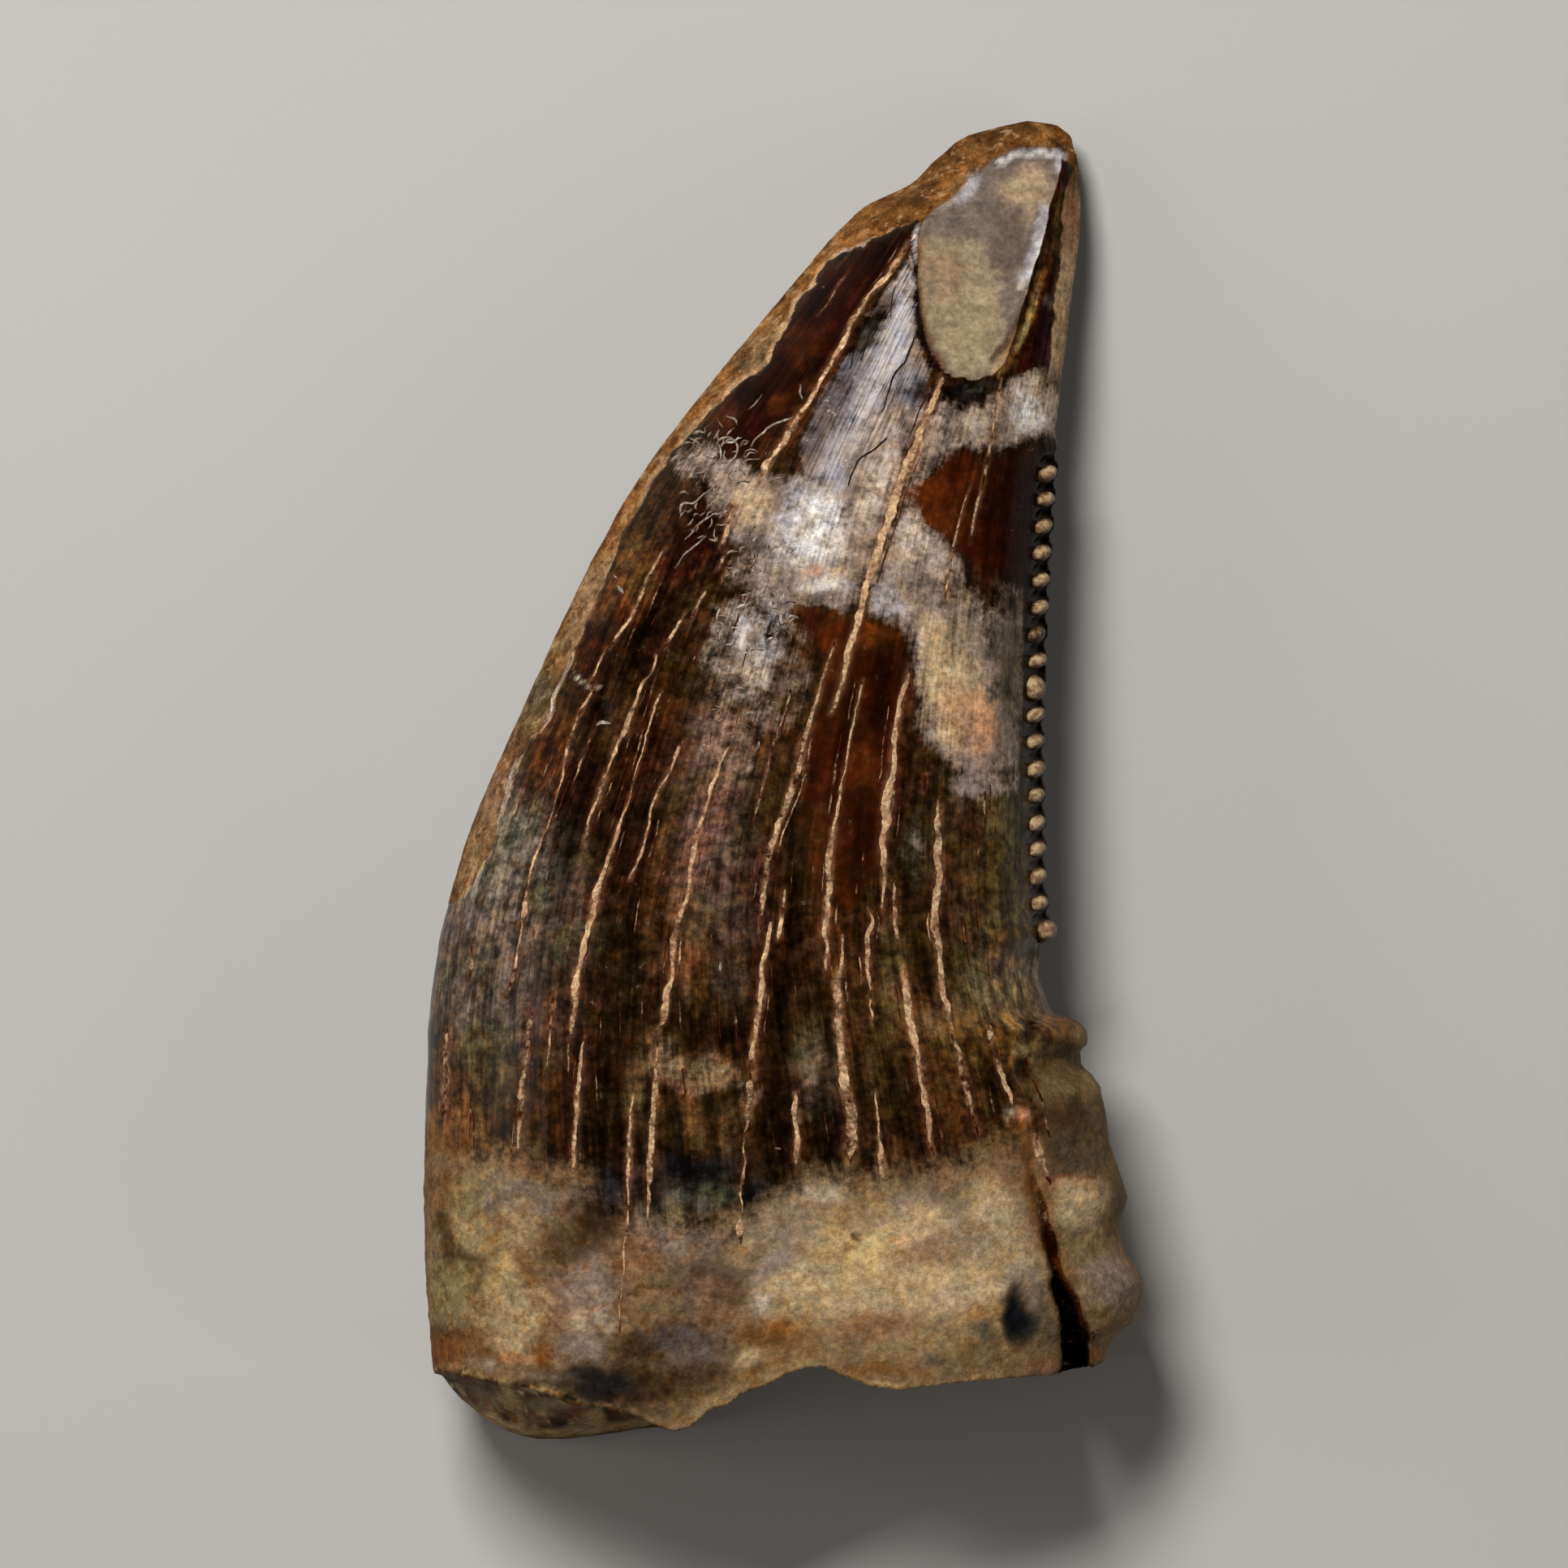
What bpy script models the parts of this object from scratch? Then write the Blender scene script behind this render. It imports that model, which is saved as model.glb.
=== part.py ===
"""A fossil nanotyrannus tooth: one shed crown, lying on its flatter side, with its upper side showing.

Units are metres and +Z is up. +Y runs from the broken base to the tip, and +X points to the serrated
rear edge. The crown is a loft of lens-shaped sections between a front edge and a rear edge. It rests at
Z = 0 on three small worn flats: one under each corner of the base, and one under the tip.
"""

import math

import bmesh
import bpy
import numpy as np
from mathutils import Matrix, Vector, noise

MM = 0.001

# Driving dimensions, in millimetres.
TIP_Y = 9.58
BASE_Y = -9.58
TIP_X = 3.52

# Front edge of the crown, from above: distance along the crown, then place across it.
# It leans back over the whole length, and steps in below the tip where a flake is gone.
FRONT_EDGE = [
    (-9.60, -5.02), (-8.52, -5.08), (-7.40, -5.17), (-4.45, -5.18), (-3.27, -5.12),
    (-2.10, -4.94), (-0.92, -4.61), (0.85, -3.87), (2.61, -3.06), (4.38, -2.10),
    (6.14, -0.76), (7.45, 0.34), (8.06, 0.87), (8.35, 1.20), (8.61, 1.75),
    (9.07, 2.28), (9.41, 2.81), (TIP_Y, TIP_X),
]

# Rear edge of the crown without its serrations and lumps.
REAR_EDGE = [
    (-9.60, 4.42), (-7.40, 4.95), (-5.00, 4.55), (-3.30, 4.05), (-1.76, 3.68),
    (-0.60, 3.65), (0.93, 3.63), (2.40, 3.69), (4.40, 3.82), (6.70, 4.12),
    (8.60, 4.29), (9.20, 4.20), (9.45, 4.05), (9.55, 3.80), (TIP_Y, TIP_X),
]

# Lumps and bites on the lower rear edge: where they are, and how far they stand out from the edge.
REAR_LUMPS = [
    (-9.60, 0.00), (-8.50, -0.22), (-8.02, -0.02), (-7.80, 0.30), (-7.35, 0.25),
    (-6.95, 0.15), (-6.50, 0.02), (-6.05, 0.20), (-5.50, 0.12), (-5.05, 0.12),
    (-4.55, 0.20), (-4.15, 0.00), (-4.00, -0.13), (-3.82, 0.24), (-3.50, 0.18),
    (-3.28, -0.24), (-2.70, -0.28), (-2.35, -0.12), (-2.00, 0.00), (TIP_Y, 0.00),
]
LUMP_REACH = 0.16  # share of the width, from the rear edge inwards, that the lumps pull along

# The broken base, across the crown from the front edge (0) to the rear edge (1).
# The upper rim is what shows from above. The lower rim reaches further at the front corner,
# so the break slopes there.
UPPER_RIM = [
    (0.00, -8.52), (0.08, -8.66), (0.14, -8.75), (0.21, -8.99), (0.29, -9.12), (0.34, -9.35),
    (0.39, -9.33), (0.42, -9.07), (0.465, -8.88), (0.51, -8.70), (0.545, -8.52), (0.585, -8.48),
    (0.63, -8.66), (0.685, -8.78), (0.77, -8.69), (0.85, -8.62), (0.94, -8.57), (1.00, -8.45),
]
LOWER_RIM = [
    (0.00, -8.52), (0.02, -8.75), (0.05, -9.02), (0.09, -9.24), (0.13, -9.48), (0.173, BASE_Y),
    (0.23, -9.55), (0.30, -9.45), (0.36, -9.42), (0.44, -8.96), (0.51, -8.60), (0.58, -8.40),
    (0.68, -8.68), (0.80, -8.55), (0.94, -8.50), (1.00, -8.45),
]

# Along the crown: the height of the plane of the two edges above the floor,
# and the thickness above and below that plane.
EDGE_HEIGHT = [
    (-9.60, 2.34), (-6.00, 2.33), (-3.00, 2.32), (0.00, 2.22), (3.00, 1.93), (6.00, 1.40),
    (7.50, 1.01), (8.60, 0.72), (TIP_Y, 0.52),
]
UPPER_THICKNESS = [
    (-9.60, 2.62), (-6.00, 2.72), (-3.00, 2.60), (0.00, 2.30), (3.00, 1.90), (6.00, 1.42),
    (7.50, 1.12), (8.60, 0.78), (TIP_Y, 0.50),
]
LOWER_THICKNESS = [
    (-9.60, 2.42), (-7.50, 2.60), (-6.00, 2.48), (-3.00, 2.24), (0.00, 1.94), (3.00, 1.60),
    (6.00, 1.20), (7.50, 0.96), (8.60, 0.76), (TIP_Y, 0.50),
]
TIP_ROUNDING = 1.10  # length of the stretch at the tip over which the thickness closes

# Section shapes: how blunt the two edges are, at the base and at the tip.
UPPER_POWER = (2.5, 2.0)
UPPER_BLUNTNESS = (0.52, 0.82)
LOWER_POWER = (5.0, 2.4)
LOWER_BLUNTNESS = (0.42, 0.85)
WAIST_DEPTH = 0.17  # share of the thickness lost halfway between the edges at the base
WAIST_HALF_WIDTH = 0.50
WAIST_END = 0.55  # share of the length where the waist has run out

# A strip along the upper front edge where the outer layer has flaked off. Its width and its two ends
# are shares of the crown's width and length, each with the share over which the step runs out.
FLAKE_DEPTH = 0.10
FLAKE_MOST_OF_THICKNESS = 0.6
FLAKE_WIDTH = (0.055, 0.075)
FLAKE_START = (0.40, 0.48)
FLAKE_END = (0.94, 0.98)
FLAKE_EDGE = 0.01

# The worn hollow in the middle of the broken base, and the roughness of the break round it.
PULP_DEPTH = 0.95
PULP_HALF_WIDTH = 0.30
PULP_STEEPNESS = 1.5
BREAK_ROUGHNESS = 0.16
BREAK_LUMPS_PER_MM = 1.3
BREAK_NOISE = (0.9, 2.0, 3)

# Serrations of the rear edge.
SERRATION_PITCH = 0.39
SERRATION_COUNT = 18
SERRATION_TOP_Y = 4.50
SERRATION_SIZE = (0.20, 0.125, 0.22)
SERRATION_SLANT = math.radians(24)
SERRATION_INSET = 0.055
CHIPPED_SERRATION = 6
CHIP_INSET = 0.06
FUSED_SERRATION = 8
FUSED_STRETCH = 1.7
LAST_SERRATION_SCALE = 1.25

# The flat oval wear facet near the tip: its outline from above, and the plane it lies in.
FACET_CENTRE = (2.90, 7.48, 1.81)
FACET_HALF_AXES = (0.98, 1.74)
FACET_TURN = math.radians(-13.5)
FACET_SLOPE = (-0.22, -0.45)
FACET_SEGMENTS = 32
FACET_CEILING = 4.0

# The split that parts a sliver of the rear edge from the body, open at the base:
# its left and right walls at the upper end and at the base, and the height of its floor there.
SPLIT_TOP_Y = -5.10
SPLIT_TOP_X = (3.52, 3.60)
SPLIT_TOP_FLOOR = 3.30
SPLIT_BASE_Y = -9.20
SPLIT_BASE_X = (4.00, 4.46)
SPLIT_BASE_FLOOR = 0.95
SPLIT_CEILING = 6.00

# Mesh density.
COLUMNS = 22
ROWS_BASE = 26
ROWS_BODY = 21
ROWS_TIP = 7
BASE_SHARE = 0.34
TIP_SHARE = 0.94
BREAK_STEPS = 6
SERRATION_SEGMENTS = 8
SERRATION_RINGS = 5

FLOOR_CUTTER_SIZE = 30.0

SMOOTH_UNDER = math.radians(35)  # faces that meet at less than this angle shade as one surface

COLOUR = (0.16, 0.095, 0.055, 1.0)
ROUGHNESS = 0.38


def clear_scene():
    for thing in list(bpy.data.objects):
        bpy.data.objects.remove(thing, do_unlink=True)


def new_collection(name):
    collection = bpy.data.collections.new(name)
    bpy.context.scene.collection.children.link(collection)
    return collection


def fossil_material():
    material = bpy.data.materials.new("fossil_enamel")
    material.use_nodes = True
    shader = material.node_tree.nodes["Principled BSDF"]
    shader.inputs["Base Color"].default_value = COLOUR
    shader.inputs["Roughness"].default_value = ROUGHNESS
    shader.inputs["Metallic"].default_value = 0.0
    return material


def smooth_through(points):
    """A smooth curve through (place, value) points, as a function of the place."""
    place, value = (np.array(column, float) for column in zip(*points))
    slope = np.gradient(value, place)

    def curve(x):
        x = np.clip(x, place[0], place[-1])
        k = np.clip(np.searchsorted(place, x) - 1, 0, len(place) - 2)
        span = place[k + 1] - place[k]
        t = (x - place[k]) / span
        rise = value[k + 1] * t * t * (3 - 2 * t) + value[k] * (1 - t) ** 2 * (1 + 2 * t)
        return rise + span * t * (1 - t) * (slope[k] * (1 - t) - slope[k + 1] * t)

    return curve


def straight_through(points):
    """The same with straight runs, for broken edges."""
    place, value = (np.array(column, float) for column in zip(*points))
    return lambda x: np.interp(x, place, value)


front_edge = smooth_through(FRONT_EDGE)
rear_edge = smooth_through(REAR_EDGE)
rear_lump = straight_through(REAR_LUMPS)
upper_rim = straight_through(UPPER_RIM)
lower_rim = straight_through(LOWER_RIM)
edge_height = smooth_through(EDGE_HEIGHT)
upper_thickness = smooth_through(UPPER_THICKNESS)
lower_thickness = smooth_through(LOWER_THICKNESS)


def between(pair, share):
    return pair[0] + (pair[1] - pair[0]) * share


def smooth_step(low, high, x):
    t = min(max((x - low) / (high - low), 0.0), 1.0)
    return t * t * (3 - 2 * t)


def tip_closing(y):
    """1 along the crown, falling to 0 as a quarter circle at the tip."""
    into = max(0.0, (y - (TIP_Y - TIP_ROUNDING)) / TIP_ROUNDING)
    return math.sqrt(max(0.0, 1 - into * into))


def crown_point(across, along, upper):
    """A point of the crown's skin in millimetres.

    across is 0 at the front edge and 1 at the rear edge, along is 0 at the break and 1 at the tip.
    """
    rim = upper_rim if upper else lower_rim
    y = rim(across) + (TIP_Y - rim(across)) * along
    y_front = rim(0.0) + (TIP_Y - rim(0.0)) * along
    y_rear = rim(1.0) + (TIP_Y - rim(1.0)) * along
    x = front_edge(y_front) + (rear_edge(y_rear) - front_edge(y_front)) * across
    x += rear_lump(y_rear) * smooth_step(1 - LUMP_REACH, 1.0, across)
    side = 2 * across - 1
    if upper:
        power = between(UPPER_POWER, along)
        bluntness = between(UPPER_BLUNTNESS, along)
        height = upper_thickness(y) * tip_closing(y)
    else:
        power = between(LOWER_POWER, along)
        bluntness = between(LOWER_BLUNTNESS, along)
        height = -lower_thickness(y) * tip_closing(y)
    height *= max(0.0, 1 - abs(side) ** power) ** bluntness
    waist = WAIST_DEPTH * max(0.0, 1 - along / WAIST_END)
    height *= 1 - waist * math.exp(-((side / WAIST_HALF_WIDTH) ** 2))
    if upper:
        flaked = smooth_step(*FLAKE_START, along) * (1 - smooth_step(*FLAKE_END, along))
        flaked *= smooth_step(0.0, FLAKE_EDGE, across) * (1 - smooth_step(*FLAKE_WIDTH, across))
        height -= min(FLAKE_DEPTH * flaked, FLAKE_MOST_OF_THICKNESS * height)
    return Vector((x, y, edge_height(y) + height))


def row_places():
    """How far along the crown each row of points lies, closest together at the base and the tip."""
    base = [BASE_SHARE * k / ROWS_BASE for k in range(ROWS_BASE)]
    body = [BASE_SHARE + (TIP_SHARE - BASE_SHARE) * k / ROWS_BODY for k in range(ROWS_BODY)]
    tip = [TIP_SHARE + (1 - TIP_SHARE) * math.sin(math.pi / 2 * k / ROWS_TIP) for k in range(ROWS_TIP)]
    return base + body + tip


def break_point(across, down):
    """A point of the broken base, from the upper rim (down = 0) to the lower rim (down = 1)."""
    point = crown_point(across, 0.0, True).lerp(crown_point(across, 0.0, False), down)
    inside = math.sin(math.pi * down)
    side = (2 * across - 1) / PULP_HALF_WIDTH
    point.y += PULP_DEPTH * math.exp(-side * side) * inside**PULP_STEEPNESS
    point.y += BREAK_ROUGHNESS * inside * noise.fractal(point * BREAK_LUMPS_PER_MM, *BREAK_NOISE)
    return point


def crown_mesh():
    """The crown as one closed mesh: rings of skin points, a point at the tip and a grid over the break."""
    bm = bmesh.new()
    across = [(1 - math.cos(math.pi * k / COLUMNS)) / 2 for k in range(COLUMNS + 1)]
    rows = row_places()
    upper = [[crown_point(a, r, True) for a in across] for r in rows]
    lower = [[crown_point(a, r, False) for a in across] for r in rows]
    rings = []
    for top_row, low_row in zip(upper, lower):
        ring = top_row + low_row[-2:0:-1]
        rings.append([bm.verts.new(point * MM) for point in ring])
    count = len(rings[0])
    for ring, following in zip(rings, rings[1:]):
        for k in range(count):
            after = (k + 1) % count
            bm.faces.new((ring[k], ring[after], following[after], following[k]))
    tip = bm.verts.new(Vector((TIP_X, TIP_Y, float(edge_height(TIP_Y)))) * MM)
    for k in range(count):
        bm.faces.new((rings[-1][k], rings[-1][(k + 1) % count], tip))
    close_break(bm, rings[0], across)
    bmesh.ops.recalc_face_normals(bm, faces=bm.faces)
    mesh = bpy.data.meshes.new("tooth")
    bm.to_mesh(mesh)
    bm.free()
    return mesh


def close_break(bm, ring, across):
    """Fills the base ring with a grid of points that dips into the worn hollow."""
    count = len(ring)
    grid = []
    for k, place in enumerate(across):
        top = ring[k]
        low = ring[(count - k) % count]
        if top is low:
            grid.append([top])
            continue
        inner = [bm.verts.new(break_point(place, step / BREAK_STEPS) * MM) for step in range(1, BREAK_STEPS)]
        grid.append([top] + inner + [low])
    for left, right in zip(grid, grid[1:]):
        for step in range(BREAK_STEPS):
            corners = [
                left[min(step, len(left) - 1)],
                left[min(step + 1, len(left) - 1)],
                right[min(step + 1, len(right) - 1)],
                right[min(step, len(right) - 1)],
            ]
            bm.faces.new(list(dict.fromkeys(corners)))


def object_from(bm, name, collection):
    bmesh.ops.recalc_face_normals(bm, faces=bm.faces)
    mesh = bpy.data.meshes.new(name)
    bm.to_mesh(mesh)
    bm.free()
    made = bpy.data.objects.new(name, mesh)
    collection.objects.link(made)
    return made


def add_serrations(helpers):
    """A row of small rounded pegs that stand out of the rear edge."""
    bm = bmesh.new()
    for k in range(SERRATION_COUNT):
        y = SERRATION_TOP_Y - SERRATION_PITCH * k
        size = Vector(SERRATION_SIZE)
        inset = SERRATION_INSET
        if k == CHIPPED_SERRATION:
            inset += CHIP_INSET
        if k == FUSED_SERRATION:
            size.y *= FUSED_STRETCH
        if k == SERRATION_COUNT - 1:
            size *= LAST_SERRATION_SCALE
        place = Vector((float(rear_edge(y) + rear_lump(y)) - inset, y, float(edge_height(y))))
        matrix = Matrix.Translation(place * MM) @ Matrix.Rotation(SERRATION_SLANT, 4, "Z")
        matrix = matrix @ Matrix.Diagonal((*(size * MM), 1.0))
        bmesh.ops.create_uvsphere(
            bm,
            u_segments=SERRATION_SEGMENTS,
            v_segments=SERRATION_RINGS,
            radius=1.0,
            matrix=matrix,
        )
    return object_from(bm, "serrations", helpers)


def add_facet_cutter(helpers):
    """An upright oval column whose underside is the plane of the wear facet."""
    bm = bmesh.new()
    bmesh.ops.create_cone(bm, cap_ends=True, segments=FACET_SEGMENTS, radius1=1.0, radius2=1.0, depth=2.0)
    stretch = Matrix.Diagonal((*FACET_HALF_AXES, 1.0, 1.0))
    bm.transform(Matrix.Rotation(FACET_TURN, 4, "Z") @ stretch)
    for vert in bm.verts:
        if vert.co.z < 0:
            vert.co.z = FACET_SLOPE[0] * vert.co.x + FACET_SLOPE[1] * vert.co.y
        else:
            vert.co.z = FACET_CEILING
        vert.co = (vert.co + Vector(FACET_CENTRE)) * MM
    return object_from(bm, "facet_cutter", helpers)


def add_split_cutter(helpers):
    """A wedge, thin at its upper end and wide at the base, whose floor slopes down to the base."""
    bm = bmesh.new()
    ends = (
        (SPLIT_TOP_Y, SPLIT_TOP_X, SPLIT_TOP_FLOOR),
        (SPLIT_BASE_Y, SPLIT_BASE_X, SPLIT_BASE_FLOOR),
    )
    for y, walls, floor in ends:
        for x in walls:
            for z in (floor, SPLIT_CEILING):
                bm.verts.new(Vector((x, y, z)) * MM)
    bmesh.ops.convex_hull(bm, input=bm.verts)
    return object_from(bm, "split_cutter", helpers)


def add_floor_cutter(helpers):
    """A slab below Z = 0, which leaves the worn flats that the tooth rests on."""
    bm = bmesh.new()
    centre = Matrix.Translation((0, 0, -FLOOR_CUTTER_SIZE / 2 * MM))
    bmesh.ops.create_cube(bm, size=FLOOR_CUTTER_SIZE * MM, matrix=centre)
    return object_from(bm, "floor_cutter", helpers)


def join_or_cut(tooth, other, operation):
    other.hide_render = True
    other.display_type = "WIRE"
    modifier = tooth.modifiers.new(other.name, "BOOLEAN")
    modifier.operation = operation
    modifier.object = other
    modifier.solver = "EXACT"


def main():
    clear_scene()
    parts = new_collection("fossil_tooth")
    helpers = new_collection("cutters")
    tooth = bpy.data.objects.new("tooth", crown_mesh())
    parts.objects.link(tooth)
    tooth.data.materials.append(fossil_material())
    join_or_cut(tooth, add_serrations(helpers), "UNION")
    join_or_cut(tooth, add_facet_cutter(helpers), "DIFFERENCE")
    join_or_cut(tooth, add_split_cutter(helpers), "DIFFERENCE")
    join_or_cut(tooth, add_floor_cutter(helpers), "DIFFERENCE")
    tooth.data.shade_smooth()
    tooth.data.set_sharp_from_angle(angle=SMOOTH_UNDER)


main()
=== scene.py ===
"""The dressed fossil tooth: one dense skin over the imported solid, with its serrations, the sediment in
its cracks and its curled flakes as pieces of their own.

Lengths are in millimetres until a mesh is made, and +Y runs from the broken base to the tip. Markings
are placed by photograph pixels, which to_photo() ties to the frame.
"""

import math

import bmesh
import bpy
import numpy as np
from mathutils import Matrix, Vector
from mathutils.bvhtree import BVHTree


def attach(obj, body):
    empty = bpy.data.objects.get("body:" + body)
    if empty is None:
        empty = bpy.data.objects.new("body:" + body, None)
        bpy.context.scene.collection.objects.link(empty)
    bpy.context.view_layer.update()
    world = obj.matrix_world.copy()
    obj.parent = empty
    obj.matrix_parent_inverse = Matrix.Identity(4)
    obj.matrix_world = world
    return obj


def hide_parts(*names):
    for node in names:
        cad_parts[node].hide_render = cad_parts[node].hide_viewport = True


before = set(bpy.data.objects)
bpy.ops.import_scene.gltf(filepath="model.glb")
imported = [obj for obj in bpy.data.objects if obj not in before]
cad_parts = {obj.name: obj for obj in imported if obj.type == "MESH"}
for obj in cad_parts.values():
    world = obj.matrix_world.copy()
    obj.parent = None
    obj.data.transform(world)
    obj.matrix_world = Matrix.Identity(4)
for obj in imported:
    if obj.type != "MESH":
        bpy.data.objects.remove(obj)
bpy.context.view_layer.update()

MM = 0.001
# The pixel at the frame's origin, the photograph's scale and its side.
PHOTO_CENTRE = (966.0, 962.0)
PIXELS_PER_MM = 85.0
PHOTO_SIDE = 1932.0

# Shape of the crown, the same values as the solid's.
TIP_Y = 9.58
TIP_X = 3.52
FRONT_EDGE = [
    (-9.60, -5.02), (-8.52, -5.08), (-7.40, -5.17), (-4.45, -5.18), (-3.27, -5.12),
    (-2.10, -4.94), (-0.92, -4.61), (0.85, -3.87), (2.61, -3.06), (4.38, -2.10),
    (6.14, -0.76), (7.45, 0.34), (8.06, 0.87), (8.35, 1.20), (8.61, 1.75),
    (9.07, 2.28), (9.41, 2.81), (TIP_Y, TIP_X),
]
REAR_EDGE = [
    (-9.60, 4.42), (-7.40, 4.95), (-5.00, 4.55), (-3.30, 4.05), (-1.76, 3.68),
    (-0.60, 3.65), (0.93, 3.63), (2.40, 3.69), (4.40, 3.82), (6.70, 4.12),
    (8.60, 4.29), (9.20, 4.20), (9.45, 4.05), (9.55, 3.80), (TIP_Y, TIP_X),
]
REAR_LUMPS = [
    (-9.60, -0.30), (-8.54, -0.27), (-8.39, -0.11), (-8.04, -0.08), (-7.92, 0.05), (-7.80, 0.20),
    (-7.51, 0.25), (-7.27, 0.25), (-7.04, 0.16), (-6.89, 0.05), (-6.74, -0.02), (-6.56, -0.05),
    (-6.39, 0.00), (-6.21, 0.10), (-6.04, 0.16), (-5.39, 0.11), (-4.86, 0.14), (-4.45, 0.19),
    (-4.27, 0.12), (-4.12, 0.01), (-3.92, 0.04), (-3.82, 0.19), (-3.68, 0.24), (-3.53, 0.19),
    (-3.45, 0.07), (-3.39, -0.12), (-3.27, -0.21), (-2.80, -0.22), (-2.68, -0.18), (-2.45, -0.08),
    (-2.35, 0.00), (-2.20, 0.16), (-1.90, 0.15), (4.55, 0.14), (4.80, 0.11), (5.10, 0.02), (TIP_Y, 0.00),
]
LUMP_REACH = 0.16
UPPER_RIM = [
    (0.00, -8.52), (0.08, -8.66), (0.14, -8.75), (0.21, -8.99), (0.29, -9.12), (0.34, -9.35),
    (0.36, -9.39), (0.385, -9.29), (0.405, -9.09), (0.432, -9.02), (0.455, -8.84), (0.498, -8.70),
    (0.52, -8.56), (0.546, -8.48), (0.575, -8.45), (0.60, -8.58), (0.642, -8.73), (0.68, -8.79),
    (0.74, -8.72), (0.80, -8.66), (0.85, -8.62), (0.94, -8.57), (1.00, -8.45),
]
LOWER_RIM = [
    (0.00, -8.52), (0.015, -8.66), (0.031, -8.90), (0.079, -9.29), (0.115, -9.48), (0.151, -9.565),
    (0.199, -9.56), (0.27, -9.47), (0.318, -9.38), (0.354, -9.42), (0.378, -9.32), (0.393, -9.18),
    (0.408, -9.04), (0.432, -8.98), (0.444, -8.86), (0.468, -8.74), (0.498, -8.64), (0.52, -8.50),
    (0.58, -8.38), (0.68, -8.68), (0.80, -8.55), (0.94, -8.50), (1.00, -8.45),
]
EDGE_HEIGHT = [
    (-9.60, 2.34), (-6.00, 2.33), (-3.00, 2.32), (0.00, 2.22), (3.00, 1.93), (6.00, 1.40),
    (7.50, 1.01), (8.60, 0.72), (TIP_Y, 0.52),
]
UPPER_THICKNESS = [
    (-9.60, 2.62), (-6.00, 2.72), (-3.00, 2.60), (0.00, 2.30), (3.00, 1.90), (6.00, 1.42),
    (7.50, 1.12), (8.60, 0.78), (TIP_Y, 0.50),
]
LOWER_THICKNESS = [
    (-9.60, 2.42), (-7.50, 2.60), (-6.00, 2.48), (-3.00, 2.24), (0.00, 1.94), (3.00, 1.60),
    (6.00, 1.20), (7.50, 0.96), (8.60, 0.76), (TIP_Y, 0.50),
]
TIP_ROUNDING = 1.10
UPPER_POWER = (2.5, 2.0)
UPPER_BLUNTNESS = (0.52, 0.82)
LOWER_POWER = (5.0, 2.4)
LOWER_BLUNTNESS = (0.42, 0.85)
WAIST_DEPTH = 0.17
WAIST_HALF_WIDTH = 0.50
WAIST_END = 0.55
PULP_DEPTH = 0.95
PULP_HALF_WIDTH = 0.30
PULP_STEEPNESS = 1.5
FACET_CENTRE = (2.90, 7.48, 1.81)
FACET_SLOPE = (-0.22, -0.45)
SERRATION_PITCH = 0.39
SERRATION_COUNT = 18
SERRATION_TOP_Y = 4.50
SERRATION_SLANT = math.radians(24)
SERRATION_REACH = -0.010
PINCH_SHARE = 0.75
PINCH_REACH = 0.32
PINCH_ROWS = ((-3.0, -2.3), (5.1, 4.5))

# One serration: half length, half width and half height, how it stands, and how much the row varies.
SERRATION_HALVES = (0.200, 0.118, 0.24)
SERRATION_LIFT = 0.10
SERRATION_LEAN = 0.7
SERRATION_ROUNDNESS = 0.88
SERRATION_SEGMENTS = 20
SERRATION_STACKS = 14
SIZE_SPREAD = 0.08
SLANT_SPREAD = 0.10
REACH_SPREAD = 0.015
SURFACE_SPREAD = 0.06
# Where the worn tip of a serration is, in shares of its half length and half width, and how it fades.
WORN_TIP = (0.30, 0.80, 0.95)
WORN_TIP_FADE = (0.35, 1.25)
# Two have grown into one wide one, one is worn back and darker, and the last is larger.
WIDE_SERRATION = 8
WIDE_FACTOR = 1.6
WORN_SERRATION = 6
WORN_PALENESS = 0.45
LAST_SERRATION = SERRATION_COUNT - 1
LAST_FACTORS = (0.95, 1.25, 1.1)
REACH_CHANGES = {WORN_SERRATION: -0.035, LAST_SERRATION: 0.05}
# The grooves between them, in pixels: where they begin, their shift from the edge, radii and turn.
GROOVES_FROM = 1225
GROOVE_SHIFT = (4, 2)
GROOVE_RADII = (15, 6.5)
GROOVE_TURN = -24

# Mesh density of the skin.
UPPER_COLUMNS = 234
LOWER_COLUMNS = 44
EDGE_CROWDING = 0.5
ROWS = 304
TIP_ROWS = 22
TIP_SHARE = 0.94
BREAK_STEPS = 14

# Relief of the upper side in millimetres: height, the size of its waves across and along in pixels, the
# seed, and the octaves where they aren't four.
RELIEF = {
    "flaked": (0.034, 14, 14, 11),
    "flaked_fine": (0.026, 5, 5, 12, 2),
    "base": (0.034, 46, 46, 21),
    "base_fine": (0.013, 9, 9, 22, 3),
    "swell": (0.006, 30, 80, 32),
    "facet": (0.008, 60, 60, 61),
    "facet_fine": (0.004, 9, 9, 62, 3),
}
# Patches where a noise is high: its two limits, the size of its waves, the seed and the octaves.
PATCHES = {
    "flaked_pits": (0.30, 0.55, 20, 20, 13),
    "base_pits": (0.34, 0.62, 13, 13, 23, 3),
    "core_pits": (0.25, 0.50, 7, 7, 42, 2),
    "facet_cream": (0.10, 0.45, 7, 7, 149),
    "edge_cream": (0.10, 0.50, 12, 20, 148),
}
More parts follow.
